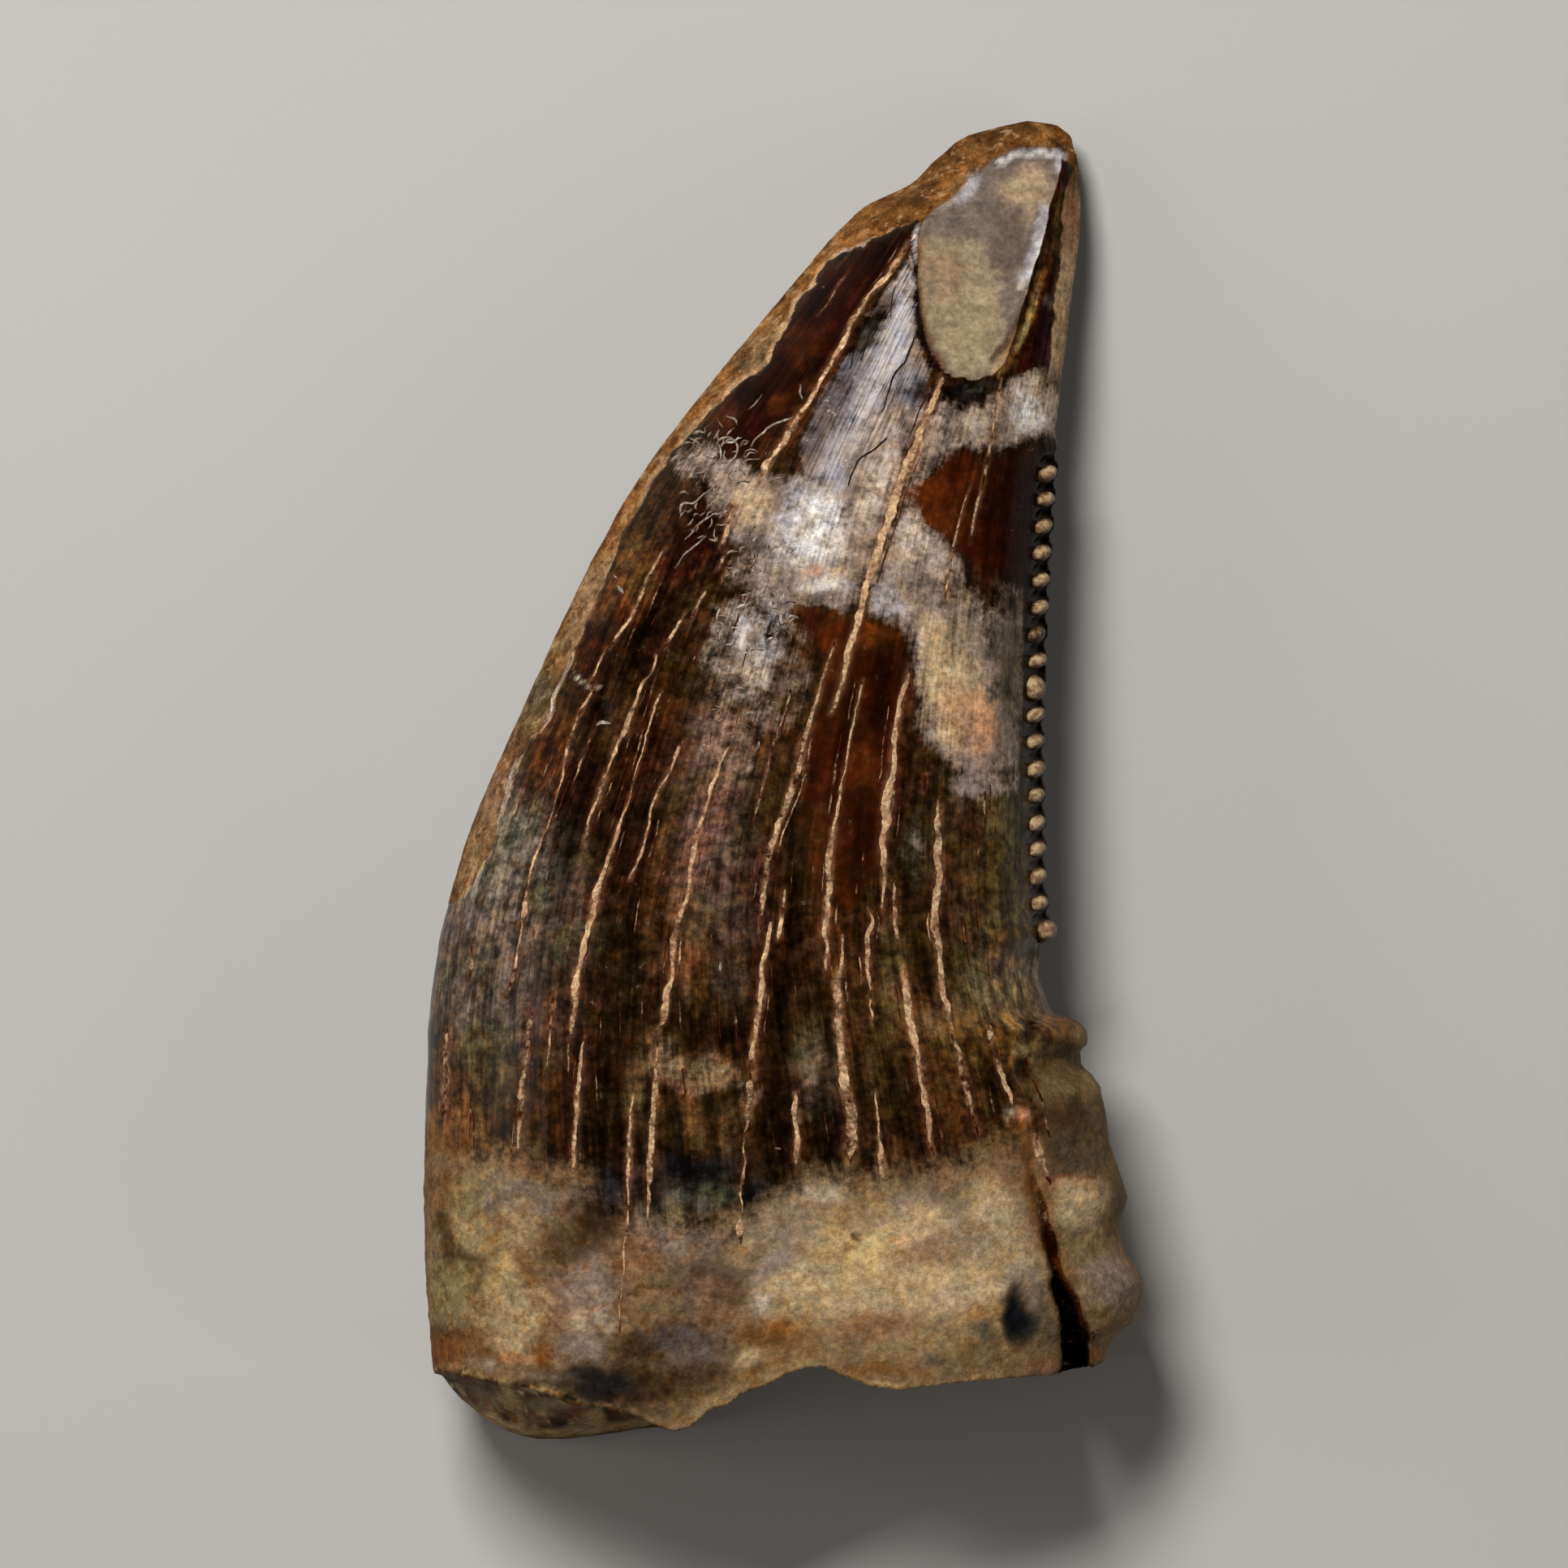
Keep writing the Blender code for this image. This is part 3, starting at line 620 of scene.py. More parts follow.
# Marks of the pale crust. Some are painted highlights along the ridge, from the strip below the facet through
# the core to the cloud.
BLOOM_AND_SHEEN_MARKS = [
    ("mauve", 0.70, 960, 596, 30, 26),
    ("plum", 0.95, 1020, 500, 30, 90, 32),
    ("night", 0.70, 1074, 396, 12, 42, 30),
    ("dusk", 0.60, 1048, 446, 12, 44, 32),
    # The lavender marks here and at 1024, 584 are painted highlight along the strip below the facet.
    ("lavender", 0.95, 1090, 440, 20, 84, 24),
    ("lavender", 0.80, 1112, 385, 12, 70, 6),
    ("lavender", 0.55, 1052, 530, 24, 50, 24),
    ("shell", 0.40, 1084, 530, 26, 16),
    # The dusk and night marks here are painted shade beside the facet's lower left.
    ("dusk", 0.95, 1122, 480, 26, 28, 30),
    ("night", 0.80, 1137, 482, 18, 18),
    ("lavender", 0.50, 1116, 470, 10, 14, 20),
    ("lavender", 0.90, 1024, 584, 18, 32, 20),
    ("steel", 0.40, 1052, 574, 7, 20, 24),
    # The chalk and lavender of the core are partly white crust and partly painted highlight.
    ("chalk", 0.75, 1008, 648, 34, 38, 10),
    ("chalk", 0.70, 1000, 676, 30, 26),
    ("lavender", 0.60, 972, 640, 16, 44, 16),
    ("mauve", 0.50, 1056, 612, 7, 20, 8),
    ("shell", 0.95, 1078, 600, 15, 44, 18),
    ("ash", 0.50, 1064, 650, 18, 24),
    ("clay", 0.25, 1068, 682, 20, 24, 10),
    ("cream", 0.65, 926, 620, 22, 26),
    ("straw", 0.40, 938, 644, 16, 14),
    ("ginger", 0.70, 904, 630, 8, 14, 20),
    ("plum", 0.95, 928, 664, 24, 16),
    ("chalk", 0.60, 1012, 726, 26, 9, 4),
    ("apricot", 0.70, 1004, 706, 11, 6),
    ("ginger", 0.60, 1012, 704, 6, 4),
    ("cream", 0.60, 1030, 712, 10, 6),
    ("wine", 0.50, 1015, 742, 26, 8, 6),
    ("lavender", 0.85, 1082, 744, 28, 13, 24),
    ("shell", 0.95, 1268, 498, 30, 32, -10),
    ("chalk", 0.90, 1262, 508, 20, 22),
    ("cream", 0.60, 1292, 476, 18, 22),
    ("shell", 0.40, 1190, 528, 40, 26),
    ("mist", 0.60, 1168, 512, 12, 14),
    ("mauve", 0.50, 1232, 520, 12, 30, 10),
    ("shell", 0.90, 1130, 668, 24, 34, -20),
    ("mauve", 0.30, 1140, 712, 26, 18),
    ("shell", 0.60, 1160, 700, 20, 22),
    ("cream", 0.40, 1182, 740, 16, 26),
    ("plum", 0.60, 1170, 752, 20, 34, 8),
    ("cream", 0.80, 1140, 772, 16, 20),
    ("lavender", 0.60, 1128, 812, 10, 24),
    ("cream", 0.95, 1166, 835, 36, 60, -10),
    ("straw", 0.25, 1152, 810, 18, 30, -10),
    ("apricot", 0.60, 1194, 890, 30, 38),
    ("apricot", 0.70, 1208, 898, 14, 40, -6),
    ("cream", 0.70, 1170, 908, 12, 14),
    ("fog", 0.90, 1238, 810, 18, 90),
    ("ash", 0.75, 1226, 950, 34, 24),
    # The mist, ash, lavender, chalk and shell of the cloud below are partly pale crust and partly painted
    # highlight.
    ("mist", 0.80, 925, 790, 70, 120, 12),
    ("ash", 0.60, 915, 850, 44, 60, 10),
    ("mauve", 0.80, 968, 840, 24, 64, 12),
    ("ash", 0.80, 962, 720, 32, 26, 20),
    ("mauve", 0.60, 976, 738, 20, 10, 20),
    ("mauve", 0.60, 905, 800, 12, 14),
    ("clay", 0.55, 890, 896, 40, 30),
    ("lavender", 0.85, 912, 776, 9, 22, 6),
    ("lavender", 0.90, 948, 792, 13, 24, 10),
    ("chalk", 0.40, 946, 784, 7, 16, 10),
    ("shell", 0.65, 932, 824, 15, 24, 14),
    ("lavender", 0.50, 950, 752, 22, 20, 20),
    ("ash", 0.60, 908, 730, 26, 34, 16),
    ("mauve", 0.50, 918, 716, 12, 26, 20),
    ("clay", 0.60, 900, 938, 30, 34),
    ("mauve", 0.70, 868, 930, 18, 40, 10),
    ("clay", 0.60, 876, 1010, 40, 60, 8),
    # Partly painted sheen on the left flank.
    ("slate", 0.80, 630, 1080, 110, 200, 14),
    ("tan", 0.95, 858, 1316, 80, 44),
    ("sand", 0.45, 852, 1322, 30, 14, 4),
    ("clay", 0.60, 922, 1334, 20, 34),
    ("mist", 0.70, 1126, 1048, 20, 40),
    ("mist", 0.80, 1010, 1320, 30, 50),
    ("shell", 0.55, 1252, 1226, 30, 20),
]
# How much of the enamel the pale crust and its painted highlights cover: share, middle, radii and turn.
BLOOM_AND_SHEEN_COVER = [
    # The first nine shares, along the ridge from the core down through the cloud, are partly painted
    # highlight.
    (1.00, 1008, 645, 50, 62, 12),
    (0.85, 1014, 712, 34, 22, 4),
    (0.76, 932, 780, 54, 74, 14),
    (0.62, 916, 724, 36, 34, 20),
    (0.50, 918, 860, 46, 60, 12),
    (0.50, 968, 848, 24, 64, 12),
    (0.86, 956, 722, 44, 36, 20),
    (0.68, 892, 920, 40, 56, 10),
    (0.40, 878, 985, 34, 70, 8),
    (0.80, 1240, 830, 24, 100, 0),
    (1.15, 1198, 890, 36, 50, 0),
    (1.05, 1172, 838, 36, 56, 0),
    (0.90, 1216, 964, 40, 26, 0),
    # Partly painted sheen on the left flank.
    (0.38, 625, 1085, 62, 150, 14),
    (0.62, 868, 572, 34, 36, 30),
    (0.66, 866, 1320, 50, 25, 6),
    (0.48, 815, 1304, 22, 30, 0),
    (0.50, 924, 1334, 12, 32, 6),
    (0.36, 1126, 1048, 14, 34, 0),
    (0.30, 1010, 1320, 24, 44, 0),
    (0.46, 1252, 1226, 26, 16, 0),
    (0.30, 1190, 990, 34, 30, 0),
]
BASE_MARKS = [
    ("sand", 0.80, 1100, 1560, 200, 110),
    ("cream", 0.60, 1100, 1560, 150, 60),
    ("ash", 0.45, 1180, 1510, 90, 30),
    ("dentine", 0.85, 548, 1396, 44, 26),
    ("clay", 0.55, 632, 1430, 50, 16),
    ("sand", 0.60, 600, 1450, 34, 18),
    ("dentine", 0.60, 545, 1466, 24, 20),
    ("moss", 0.70, 578, 1480, 24, 26),
    ("mist", 0.80, 650, 1474, 56, 26),
    ("mauve", 0.50, 720, 1486, 40, 26),
    ("sand", 0.90, 584, 1520, 34, 26),
    ("moss", 0.60, 552, 1580, 30, 60),
    ("sand", 0.80, 640, 1510, 30, 26),
    ("clay", 0.80, 618, 1505, 20, 9),
    ("dentine", 0.80, 622, 1540, 24, 7, 4),
    ("cocoa", 0.80, 546, 1504, 12, 18, -10),
    ("cocoa", 0.75, 554, 1536, 12, 17, -20),
    ("cocoa", 0.60, 574, 1549, 22, 5, 8),
    ("cocoa", 0.45, 556, 1558, 6, 20, -30),
    ("straw", 0.55, 620, 1568, 20, 32),
    ("moss", 0.80, 560, 1592, 30, 20),
    ("steel", 0.80, 588, 1592, 5, 10),
    ("dentine", 0.45, 650, 1560, 8, 26, -10),
    ("cream", 0.60, 662, 1590, 11, 12),
    ("cream", 0.60, 640, 1620, 40, 26),
    ("sand", 0.80, 598, 1612, 26, 18),
    ("clay", 0.50, 690, 1600, 26, 40),
    ("ash", 0.80, 724, 1592, 32, 50),
    ("shell", 0.20, 736, 1616, 20, 26),
    ("clay", 0.40, 716, 1606, 14, 30),
    ("cream", 0.60, 710, 1628, 9, 11),
    ("cocoa", 0.90, 548, 1640, 22, 11),
    ("dentine", 0.90, 548, 1660, 28, 22),
    ("rust", 0.55, 544, 1664, 16, 16),
    ("dentine", 0.60, 590, 1648, 24, 16),
    ("cream", 0.60, 630, 1652, 20, 14),
    ("dentine", 0.70, 610, 1668, 26, 8, 10),
    ("dentine", 0.80, 675, 1666, 15, 14),
    ("rust", 0.40, 675, 1666, 9, 8),
    ("apricot", 0.45, 640, 1672, 20, 10),
    ("ash", 0.70, 716, 1664, 26, 18),
    ("ash", 0.60, 606, 1682, 16, 8),
    ("umber", 0.65, 704, 1530, 36, 22, -10),
    ("umber", 0.85, 742, 1500, 30, 26),
    ("clay", 0.70, 790, 1540, 32, 30),
    ("ash", 0.55, 850, 1528, 44, 18),
    ("mist", 0.60, 826, 1506, 40, 10),
    ("mauve", 0.70, 862, 1580, 46, 40),
    ("clay", 0.60, 880, 1606, 26, 26),
    ("wine", 0.45, 906, 1584, 22, 20),
    ("tan", 0.70, 800, 1604, 34, 26),
    ("umber", 0.75, 812, 1650, 50, 14),
    ("plum", 0.75, 850, 1652, 50, 30),
    ("umber", 0.70, 780, 1666, 30, 24),
    ("umber", 0.60, 872, 1684, 30, 14),
    ("umber", 0.80, 805, 1706, 60, 26),
    ("night", 0.95, 738, 1700, 52, 24, 4),
    ("night", 0.60, 672, 1706, 40, 10, 6),
    ("mist", 0.45, 680, 1694, 30, 6, 6),
    ("dentine", 0.80, 948, 1640, 40, 18, -8),
    ("ginger", 0.60, 960, 1630, 24, 10),
    ("cream", 0.70, 926, 1670, 13, 11),
    ("dentine", 0.60, 930, 1692, 40, 10, -24),
    ("ash", 0.55, 960, 1520, 40, 44),
    ("ash", 0.60, 950, 1560, 34, 24),
    ("cream", 0.70, 984, 1578, 30, 20),
    ("shell", 0.55, 942, 1602, 14, 22, 10),
    ("chalk", 0.15, 942, 1600, 9, 14, 10),
    ("cream", 0.80, 956, 1580, 14, 11),
    ("shell", 0.50, 1018, 1468, 30, 14),
    ("mauve", 0.50, 1150, 1464, 40, 9),
    ("clay", 0.50, 1150, 1440, 50, 12),
    ("ash", 0.50, 1120, 1476, 40, 9),
    ("cream", 0.90, 1135, 1503, 32, 17),
    ("straw", 1.00, 1070, 1534, 48, 19, -18),
    ("mauve", 0.50, 1020, 1560, 20, 14, -20),
    ("straw", 0.60, 1062, 1562, 54, 16),
    ("clay", 0.55, 1142, 1544, 44, 20),
    ("apricot", 0.50, 1106, 1525, 9, 7),
    ("dentine", 0.70, 1105, 1539, 6, 5),
    ("dentine", 0.70, 1046, 1538, 9, 5, -20),
    ("cocoa", 0.90, 1055, 1521, 6, 4),
    ("cream", 1.00, 1176, 1582, 56, 24),
    ("cream", 0.50, 1060, 1602, 74, 24),
    ("shell", 0.40, 1180, 1602, 30, 14),
    ("clay", 0.85, 1074, 1632, 46, 17),
    ("dentine", 0.50, 1000, 1654, 16, 20),
    ("ginger", 0.45, 975, 1648, 14, 16),
    ("mauve", 0.40, 1052, 1662, 20, 15),
    ("dentine", 0.80, 1082, 1684, 52, 9),
    ("steel", 0.70, 1150, 1668, 13, 9),
    ("olive", 0.50, 1196, 1664, 34, 16),
    ("cream", 0.80, 1216, 1476, 28, 26),
    ("cream", 0.60, 1228, 1504, 26, 24),
    ("clay", 0.35, 1240, 1440, 34, 26),
    ("cream", 0.50, 1240, 1552, 30, 30),
    ("ginger", 0.45, 1206, 1614, 24, 14),
    ("ash", 0.70, 1258, 1570, 20, 18),
    ("steel", 0.80, 1216, 1640, 15, 16),
    ("steel", 0.70, 1280, 1632, 20, 26),
    ("plum", 0.50, 1282, 1592, 16, 18),
    ("night", 1.00, 1254, 1617, 15, 36, -3),
    ("night", 1.00, 1254, 1617, 13, 33, -3),
    ("clay", 0.80, 1280, 1682, 30, 9),
    ("bark", 0.70, 1310, 1390, 44, 50),
    ("steel", 0.55, 1322, 1422, 30, 26),
    ("olive", 0.60, 1350, 1420, 16, 40),
    ("apricot", 0.55, 1318, 1452, 26, 6, 2),
    ("cream", 1.00, 1328, 1486, 32, 32),
    ("moss", 0.60, 1334, 1538, 24, 18),
    ("steel", 0.60, 1378, 1478, 14, 30),
    ("ash", 0.70, 1362, 1572, 32, 30),
    ("mist", 0.60, 1384, 1600, 24, 30),
    ("tan", 0.60, 1360, 1640, 24, 20),
    ("ginger", 0.75, 1350, 1668, 10, 11),
]
BEVEL_MARKS = [
    ("bark", 0.60, 590, 1704, 50, 12, 20),
    ("moss", 0.55, 600, 1722, 26, 8, 30),
    ("straw", 0.60, 628, 1712, 5, 24, -36),
    ("straw", 0.50, 642, 1740, 4, 18, -16),
    ("night", 0.90, 735, 1704, 60, 20, 4),
    ("moss", 0.50, 664, 1732, 26, 9),
    ("ginger", 0.60, 622, 1756, 30, 6, 22),
    ("wine", 0.80, 684, 1762, 34, 8),
    ("wine", 0.90, 764, 1750, 26, 9),
    ("straw", 0.65, 732, 1747, 12, 8),
    ("clay", 0.70, 714, 1762, 16, 5),
    ("straw", 0.70, 790, 1743, 8, 5),
    ("sand", 0.60, 830, 1754, 30, 7),
    ("rust", 0.55, 655, 1748, 16, 7),
    ("rust", 0.55, 700, 1742, 12, 6),
    ("sand", 0.75, 728, 1757, 14, 5),
    ("sand", 0.85, 626, 1762, 26, 4, 20),
    ("sand", 0.70, 588, 1738, 16, 4, 42),
    ("moss", 0.60, 690, 1728, 16, 6),
]
# The painted shadow under the facet's lower rim, then the dark and pale spots round the broken rear corner.
CORNER_MARKS = [
    ("ink", 0.95, 1172, 485, 17, 10, 6),
    ("night", 0.85, 1196, 484, 18, 9, 6),
    ("slate", 0.60, 1200, 480, 8, 3, 6),
    ("dentine", 0.75, 1300, 1264, 30, 14, 10),
    ("olive", 0.90, 1306, 1330, 34, 34),
    ("sand", 0.50, 1300, 1348, 20, 16),
    ("bark", 0.70, 1300, 1380, 30, 30),
    ("sand", 0.75, 1330, 1276, 10, 14, 10),
    ("sand", 0.70, 1344, 1346, 14, 26, -14),
    ("ink", 0.92, 1268, 1270, 10, 18, 4),
    ("ink", 0.85, 1259, 1318, 10, 15, -10),
    ("cocoa", 0.60, 1236, 1362, 12, 20),
    ("sand", 0.60, 1256, 1294, 10, 8),
    ("blush", 0.55, 1250, 1373, 17, 7, -10),
    ("shell", 0.45, 1243, 1368, 7, 4),
]
# Places without any bloom: middle, radii and turn.
BLOOM_GAPS = [
    (1238, 1080, 30, 110, 0),
    (1015, 762, 30, 8, 6),
    (1068, 408, 13, 38, 34),
    (905, 540, 14, 22, 30),
]
# Areas of the skin in pixels: middle, radii, turn and softness.
BASE_CORNER = ((1322, 1340), (52, 84), 0, 0.4)
MARKED_CORNER = ((1285, 1300), (76, 104), 0, 0.4)
# Far corners that close the flaked strip's outline beyond the crown.
FLAKED_BEYOND = [(300, 1125), (300, 60), (1400, 60)]
# Pixels between which an area or a tone fades in: where it is 0, and where it is 1.
BASE_FADE = 60
BEVEL_FADE = (-5, 6)
CARINA_FADE = (500, 440)
CARINA_TONES = [("facet_tan", 0.75, 270, 350), ("bark", 0.8, 270, 220)]
CARINA_ROWS = (700, 600)
CORNER_FADE = (1400, 1370)
SPLIT_TONES = [("cocoa", 1440, 1480), ("ember", 1490, 1530)]
# The split's deep end towards the base is painted shade, near black: its rows and how dark it is.
SPLIT_SHADE_ROWS = (1548, 1580)
SPLIT_SHADE_GAIN = 0.3
# The dark margin behind the serrations: its rows, its width, its waves, and the rows over which it gets
# weaker. The bloom stops short of the same edge, below one row.
MARGIN_ROWS = ((545, 565), (1190, 1150))
MARGIN_WIDTH = (32, 8)
MARGIN_WAVES = (8, 14, 143)
MARGIN_WEAKER = (760, 1000)
BARE_EDGE = (24, 8)
BARE_EDGE_FROM = 560
# The lower side takes its paint from the upper side, moved by this many pixels, and has less bloom.
LOWER_SHIFT = (90.0, 54.0)
LOWER_BLOOM = 0.6
# How far from a crack its stain reaches, and how far its filling.
STAIN_REACH = 7.0
FILLING_REACH = 0.6


def linear(srgb):
    """Linear light from sRGB values of 0 to 255."""
    share = np.array(srgb, float) / 255
    return np.where(share <= 0.04045, share / 12.92, ((share + 0.055) / 1.055) ** 2.4)


def light_of(tone):
    """The linear colour of a named tone."""
    return np.minimum(linear(TONES[tone]) * TONE_GAIN, BRIGHTEST)


def smooth_through(points):
    """A smooth curve through points of place and value."""
    place, value = (np.array(column, float) for column in zip(*points))
    slope = np.gradient(value, place)

    def curve(x):
        x = np.clip(x, place[0], place[-1])
        k = np.clip(np.searchsorted(place, x) - 1, 0, len(place) - 2)
        span = place[k + 1] - place[k]
        t = (x - place[k]) / span
        rise = value[k + 1] * t * t * (3 - 2 * t) + value[k] * (1 - t) ** 2 * (1 + 2 * t)
        return rise + span * t * (1 - t) * (slope[k] * (1 - t) - slope[k + 1] * t)

    return curve


def straight_through(points):
    """Straight runs through points of place and value."""
    place, value = (np.array(column, float) for column in zip(*points))
    return lambda x: np.interp(x, place, value)


front_edge = smooth_through(FRONT_EDGE)
rear_edge = smooth_through(REAR_EDGE)
rear_lump = straight_through(REAR_LUMPS)
upper_rim = straight_through(UPPER_RIM)
lower_rim = straight_through(LOWER_RIM)
edge_height = smooth_through(EDGE_HEIGHT)
upper_thickness = smooth_through(UPPER_THICKNESS)
lower_thickness = smooth_through(LOWER_THICKNESS)


def smooth_step(low, high, x):
    t = np.clip((x - low) / (high - low), 0.0, 1.0)
    return t * t * (3 - 2 * t)


def between(limits, x):
    """1 between two limits and 0 beyond them. Each limit is where the value is 0, then where it is 1."""
    first, last = limits
    return smooth_step(*first, x) * smooth_step(*last, x)


def drift(ends, along):
    """A value that changes evenly from the base to the tip."""
    return ends[0] + (ends[1] - ends[0]) * along


# Large odd numbers that scatter a lattice place and a seed over 32 bits.
SCATTER_X, SCATTER_Y, SCATTER_SEED, SCATTER_AGAIN = 374761393, 668265263, 974634777, 1274126177


def cell_value(ix, iy, seed):
    """A repeatable number from -1 to 1 for each cell of a square lattice."""
    mask = 0xFFFFFFFF
    mixed = (ix * SCATTER_X + iy * SCATTER_Y + seed * SCATTER_SEED) & mask
    mixed = ((mixed ^ (mixed >> 13)) * SCATTER_AGAIN) & mask
    return ((mixed ^ (mixed >> 16)) & 0xFFFF) / 32767.5 - 1


def noise(x, y, seed):
    x, y = np.broadcast_arrays(np.asarray(x, float), np.asarray(y, float))
    ix, iy = np.floor(x).astype(np.int64), np.floor(y).astype(np.int64)
    tx, ty = x - ix, y - iy
    tx, ty = tx * tx * (3 - 2 * tx), ty * ty * (3 - 2 * ty)
    low = cell_value(ix, iy, seed) * (1 - tx) + cell_value(ix + 1, iy, seed) * tx
    high = cell_value(ix, iy + 1, seed) * (1 - tx) + cell_value(ix + 1, iy + 1, seed) * tx
    return low * (1 - ty) + high * ty


def rough_noise(x, y, seed, octaves=4):
    """Noise of several sizes added up, each half as strong and half as large as the one before."""
    total, size = 0.0, 1.0
    for k in range(octaves):
        total = total + size * noise(x * 2**k, y * 2**k, seed + 17 * k)
        size *= 0.5
    return total / (2 - 2 * size)


def to_photo(x, y):
    return PHOTO_CENTRE[0] + x * PIXELS_PER_MM, PHOTO_CENTRE[1] - y * PIXELS_PER_MM


def from_photo(px, py):
    return (px - PHOTO_CENTRE[0]) / PIXELS_PER_MM, (PHOTO_CENTRE[1] - py) / PIXELS_PER_MM


def path_distance(px, py, path):
    """Distance from each point to a path of straight runs."""
    nearest = np.full(np.shape(px), np.inf)
    for (ax, ay), (bx, by) in zip(path, path[1:]):
        dx, dy = bx - ax, by - ay
        t = np.clip(((px - ax) * dx + (py - ay) * dy) / (dx * dx + dy * dy), 0, 1)
        nearest = np.minimum(nearest, np.hypot(px - ax - t * dx, py - ay - t * dy))
    return nearest


def within(px, py, outline, soft):
    """1 inside a closed outline and 0 outside it, with a border of that width on each side."""
    inside = np.zeros(np.shape(px), bool)
    closed = list(outline) + [outline[0]]
    for (ax, ay), (bx, by) in zip(closed, closed[1:]):
        if ay != by:
            crosses = ((ay > py) != (by > py)) & (px < (bx - ax) * (py - ay) / (by - ay) + ax)
            inside ^= crosses
    distance = path_distance(px, py, closed)
    return smooth_step(-soft, soft, np.where(inside, distance, -distance))


def spot(px, py, centre, radii, turn=0.0, soft=0.6):
    """1 in the middle of an oval and 0 outside it. soft is the share of the radius that fades."""
    c, s = math.cos(math.radians(turn)), math.sin(math.radians(turn))
    dx, dy = px - centre[0], py - centre[1]
    reach = np.hypot((dx * c + dy * s) / radii[0], (dy * c - dx * s) / radii[1])
    return 1 - smooth_step(1 - soft, 1 + soft, reach)


def crown_skin(across, along, upper):
    """x, y and z of the crown's skin, for arrays of places across and along it."""
    rim = upper_rim if upper else lower_rim
    y = rim(across) + (TIP_Y - rim(across)) * along
    y_front = rim(0.0) + (TIP_Y - rim(0.0)) * along
    y_rear = rim(1.0) + (TIP_Y - rim(1.0)) * along
    x = front_edge(y_front) + (rear_edge(y_rear) - front_edge(y_front)) * across
    x = x + rear_lump(y_rear) * smooth_step(1 - LUMP_REACH, 1.0, across)
    into = np.clip((y - (TIP_Y - TIP_ROUNDING)) / TIP_ROUNDING, 0, 1)
    closing = np.sqrt(1 - into * into)
    side = 2 * across - 1
    power = drift(UPPER_POWER if upper else LOWER_POWER, along)
    bluntness = drift(UPPER_BLUNTNESS if upper else LOWER_BLUNTNESS, along)
    height = (upper_thickness(y) if upper else -lower_thickness(y)) * closing
    height = height * np.clip(1 - np.abs(side) ** power, 0, 1) ** bluntness
    waist = WAIST_DEPTH * np.clip(1 - along / WAIST_END, 0, 1)
    height = height * (1 - waist * np.exp(-((side / WAIST_HALF_WIDTH) ** 2)))
    inward = (1 - across) * (rear_edge(y_rear) - front_edge(y_front))
    pinch = PINCH_SHARE * between(PINCH_ROWS, y) * np.exp(-((inward / PINCH_REACH) ** 2))
    return x, y, edge_height(y) + height * (1 - pinch)


def column_places(count):
    """Places across the crown, rather closer together near the two edges."""
    even = np.linspace(0, 1, count + 1)
    return (1 - EDGE_CROWDING) * even + 0.5 * EDGE_CROWDING * (1 - np.cos(math.pi * even))


def row_places():
    body = np.linspace(0, TIP_SHARE, ROWS, endpoint=False)
    tip = TIP_SHARE + (1 - TIP_SHARE) * np.sin(np.linspace(0, math.pi / 2, TIP_ROWS, endpoint=False))
    return np.concatenate([body, tip])


def flaked_area(px, py, soft):
    """The strip along the front edge and round the tip where the outer layer has flaked off."""
    return within(px, py, TIP_CAP_EDGE + FLAKE_EDGE + FLAKED_BEYOND, soft)


def split_area(px, py, soft):
    return within(px, py, SPLIT_LEFT + SPLIT_RIGHT[::-1], soft)


def split_wall(px, py):
    """1 on the slanting right-hand wall of the split."""
    inward = straight_through([(y, x) for x, y in SPLIT_RIGHT])(py) - px
    return smooth_step(*SPLIT_WALL_WIDTH, inward) * between(SPLIT_WALL_ROWS, py)


def ragged(px, py, name):
    """Photograph coordinates moved about a little, so that an outline tested with them is ragged."""
    for amount, size, seed in WANDER[name]:
        px, py = (
            px + amount * rough_noise(px / size, py / size, seed),
            py + amount * rough_noise(px / size, py / size, seed + 5),
        )
    return px, py


def relief(px, py, name):
    """Height of one kind of relief in millimetres."""
    height, wide, tall, *rest = RELIEF[name]
    return height * rough_noise(px / wide, py / tall, *rest)


def patches(px, py, low, high, wide, tall, *rest):
    """1 in the patches where a noise is high, and 0 between them."""
    return smooth_step(low, high, rough_noise(px / wide, py / tall, *rest))


def crack_nearness(px, py, reach):
    """1 on a crack's line, falling off beside it over half its width and the reach. Thin ones count less."""
    nearness = np.zeros(np.shape(px))
    for _, route in CRACKS:
        for (ax, ay, a_width), (bx, by, b_width) in zip(route, route[1:]):
            width = 0.5 * (a_width + b_width)
            margin = width + CRACK_MARGIN * reach
            near = (px > min(ax, bx) - margin) & (px < max(ax, bx) + margin)
            near &= (py > min(ay, by) - margin) & (py < max(ay, by) + margin)
            distance = path_distance(px[near], py[near], [(ax, ay), (bx, by)])
            weight = min(1.0, width / FULL_CRACK + LEAST_CRACK)
            value = np.exp(-((distance / (0.5 * width + reach)) ** 2)) * weight
            nearness[near] = np.maximum(nearness[near], value)
    return nearness


def serration_gaps(px, py):
    """1 in the slanting grooves between the serrations, at the rear edge."""
    found = np.zeros(np.shape(px))
    near = px > GROOVES_FROM
    x, y = px[near], py[near]
    value = np.zeros(len(x))
    for k in range(SERRATION_COUNT + 1):
        if k == WIDE_SERRATION:
            continue
        gap_y = SERRATION_TOP_Y + SERRATION_PITCH * (0.5 - k)
        edge_px, gap_py = to_photo(float(rear_edge(gap_y)), gap_y)
        middle = (edge_px + GROOVE_SHIFT[0], gap_py + GROOVE_SHIFT[1])
        value = np.maximum(value, spot(x, y, middle, GROOVE_RADII, GROOVE_TURN, 0.5))
    found[near] = value
    return found


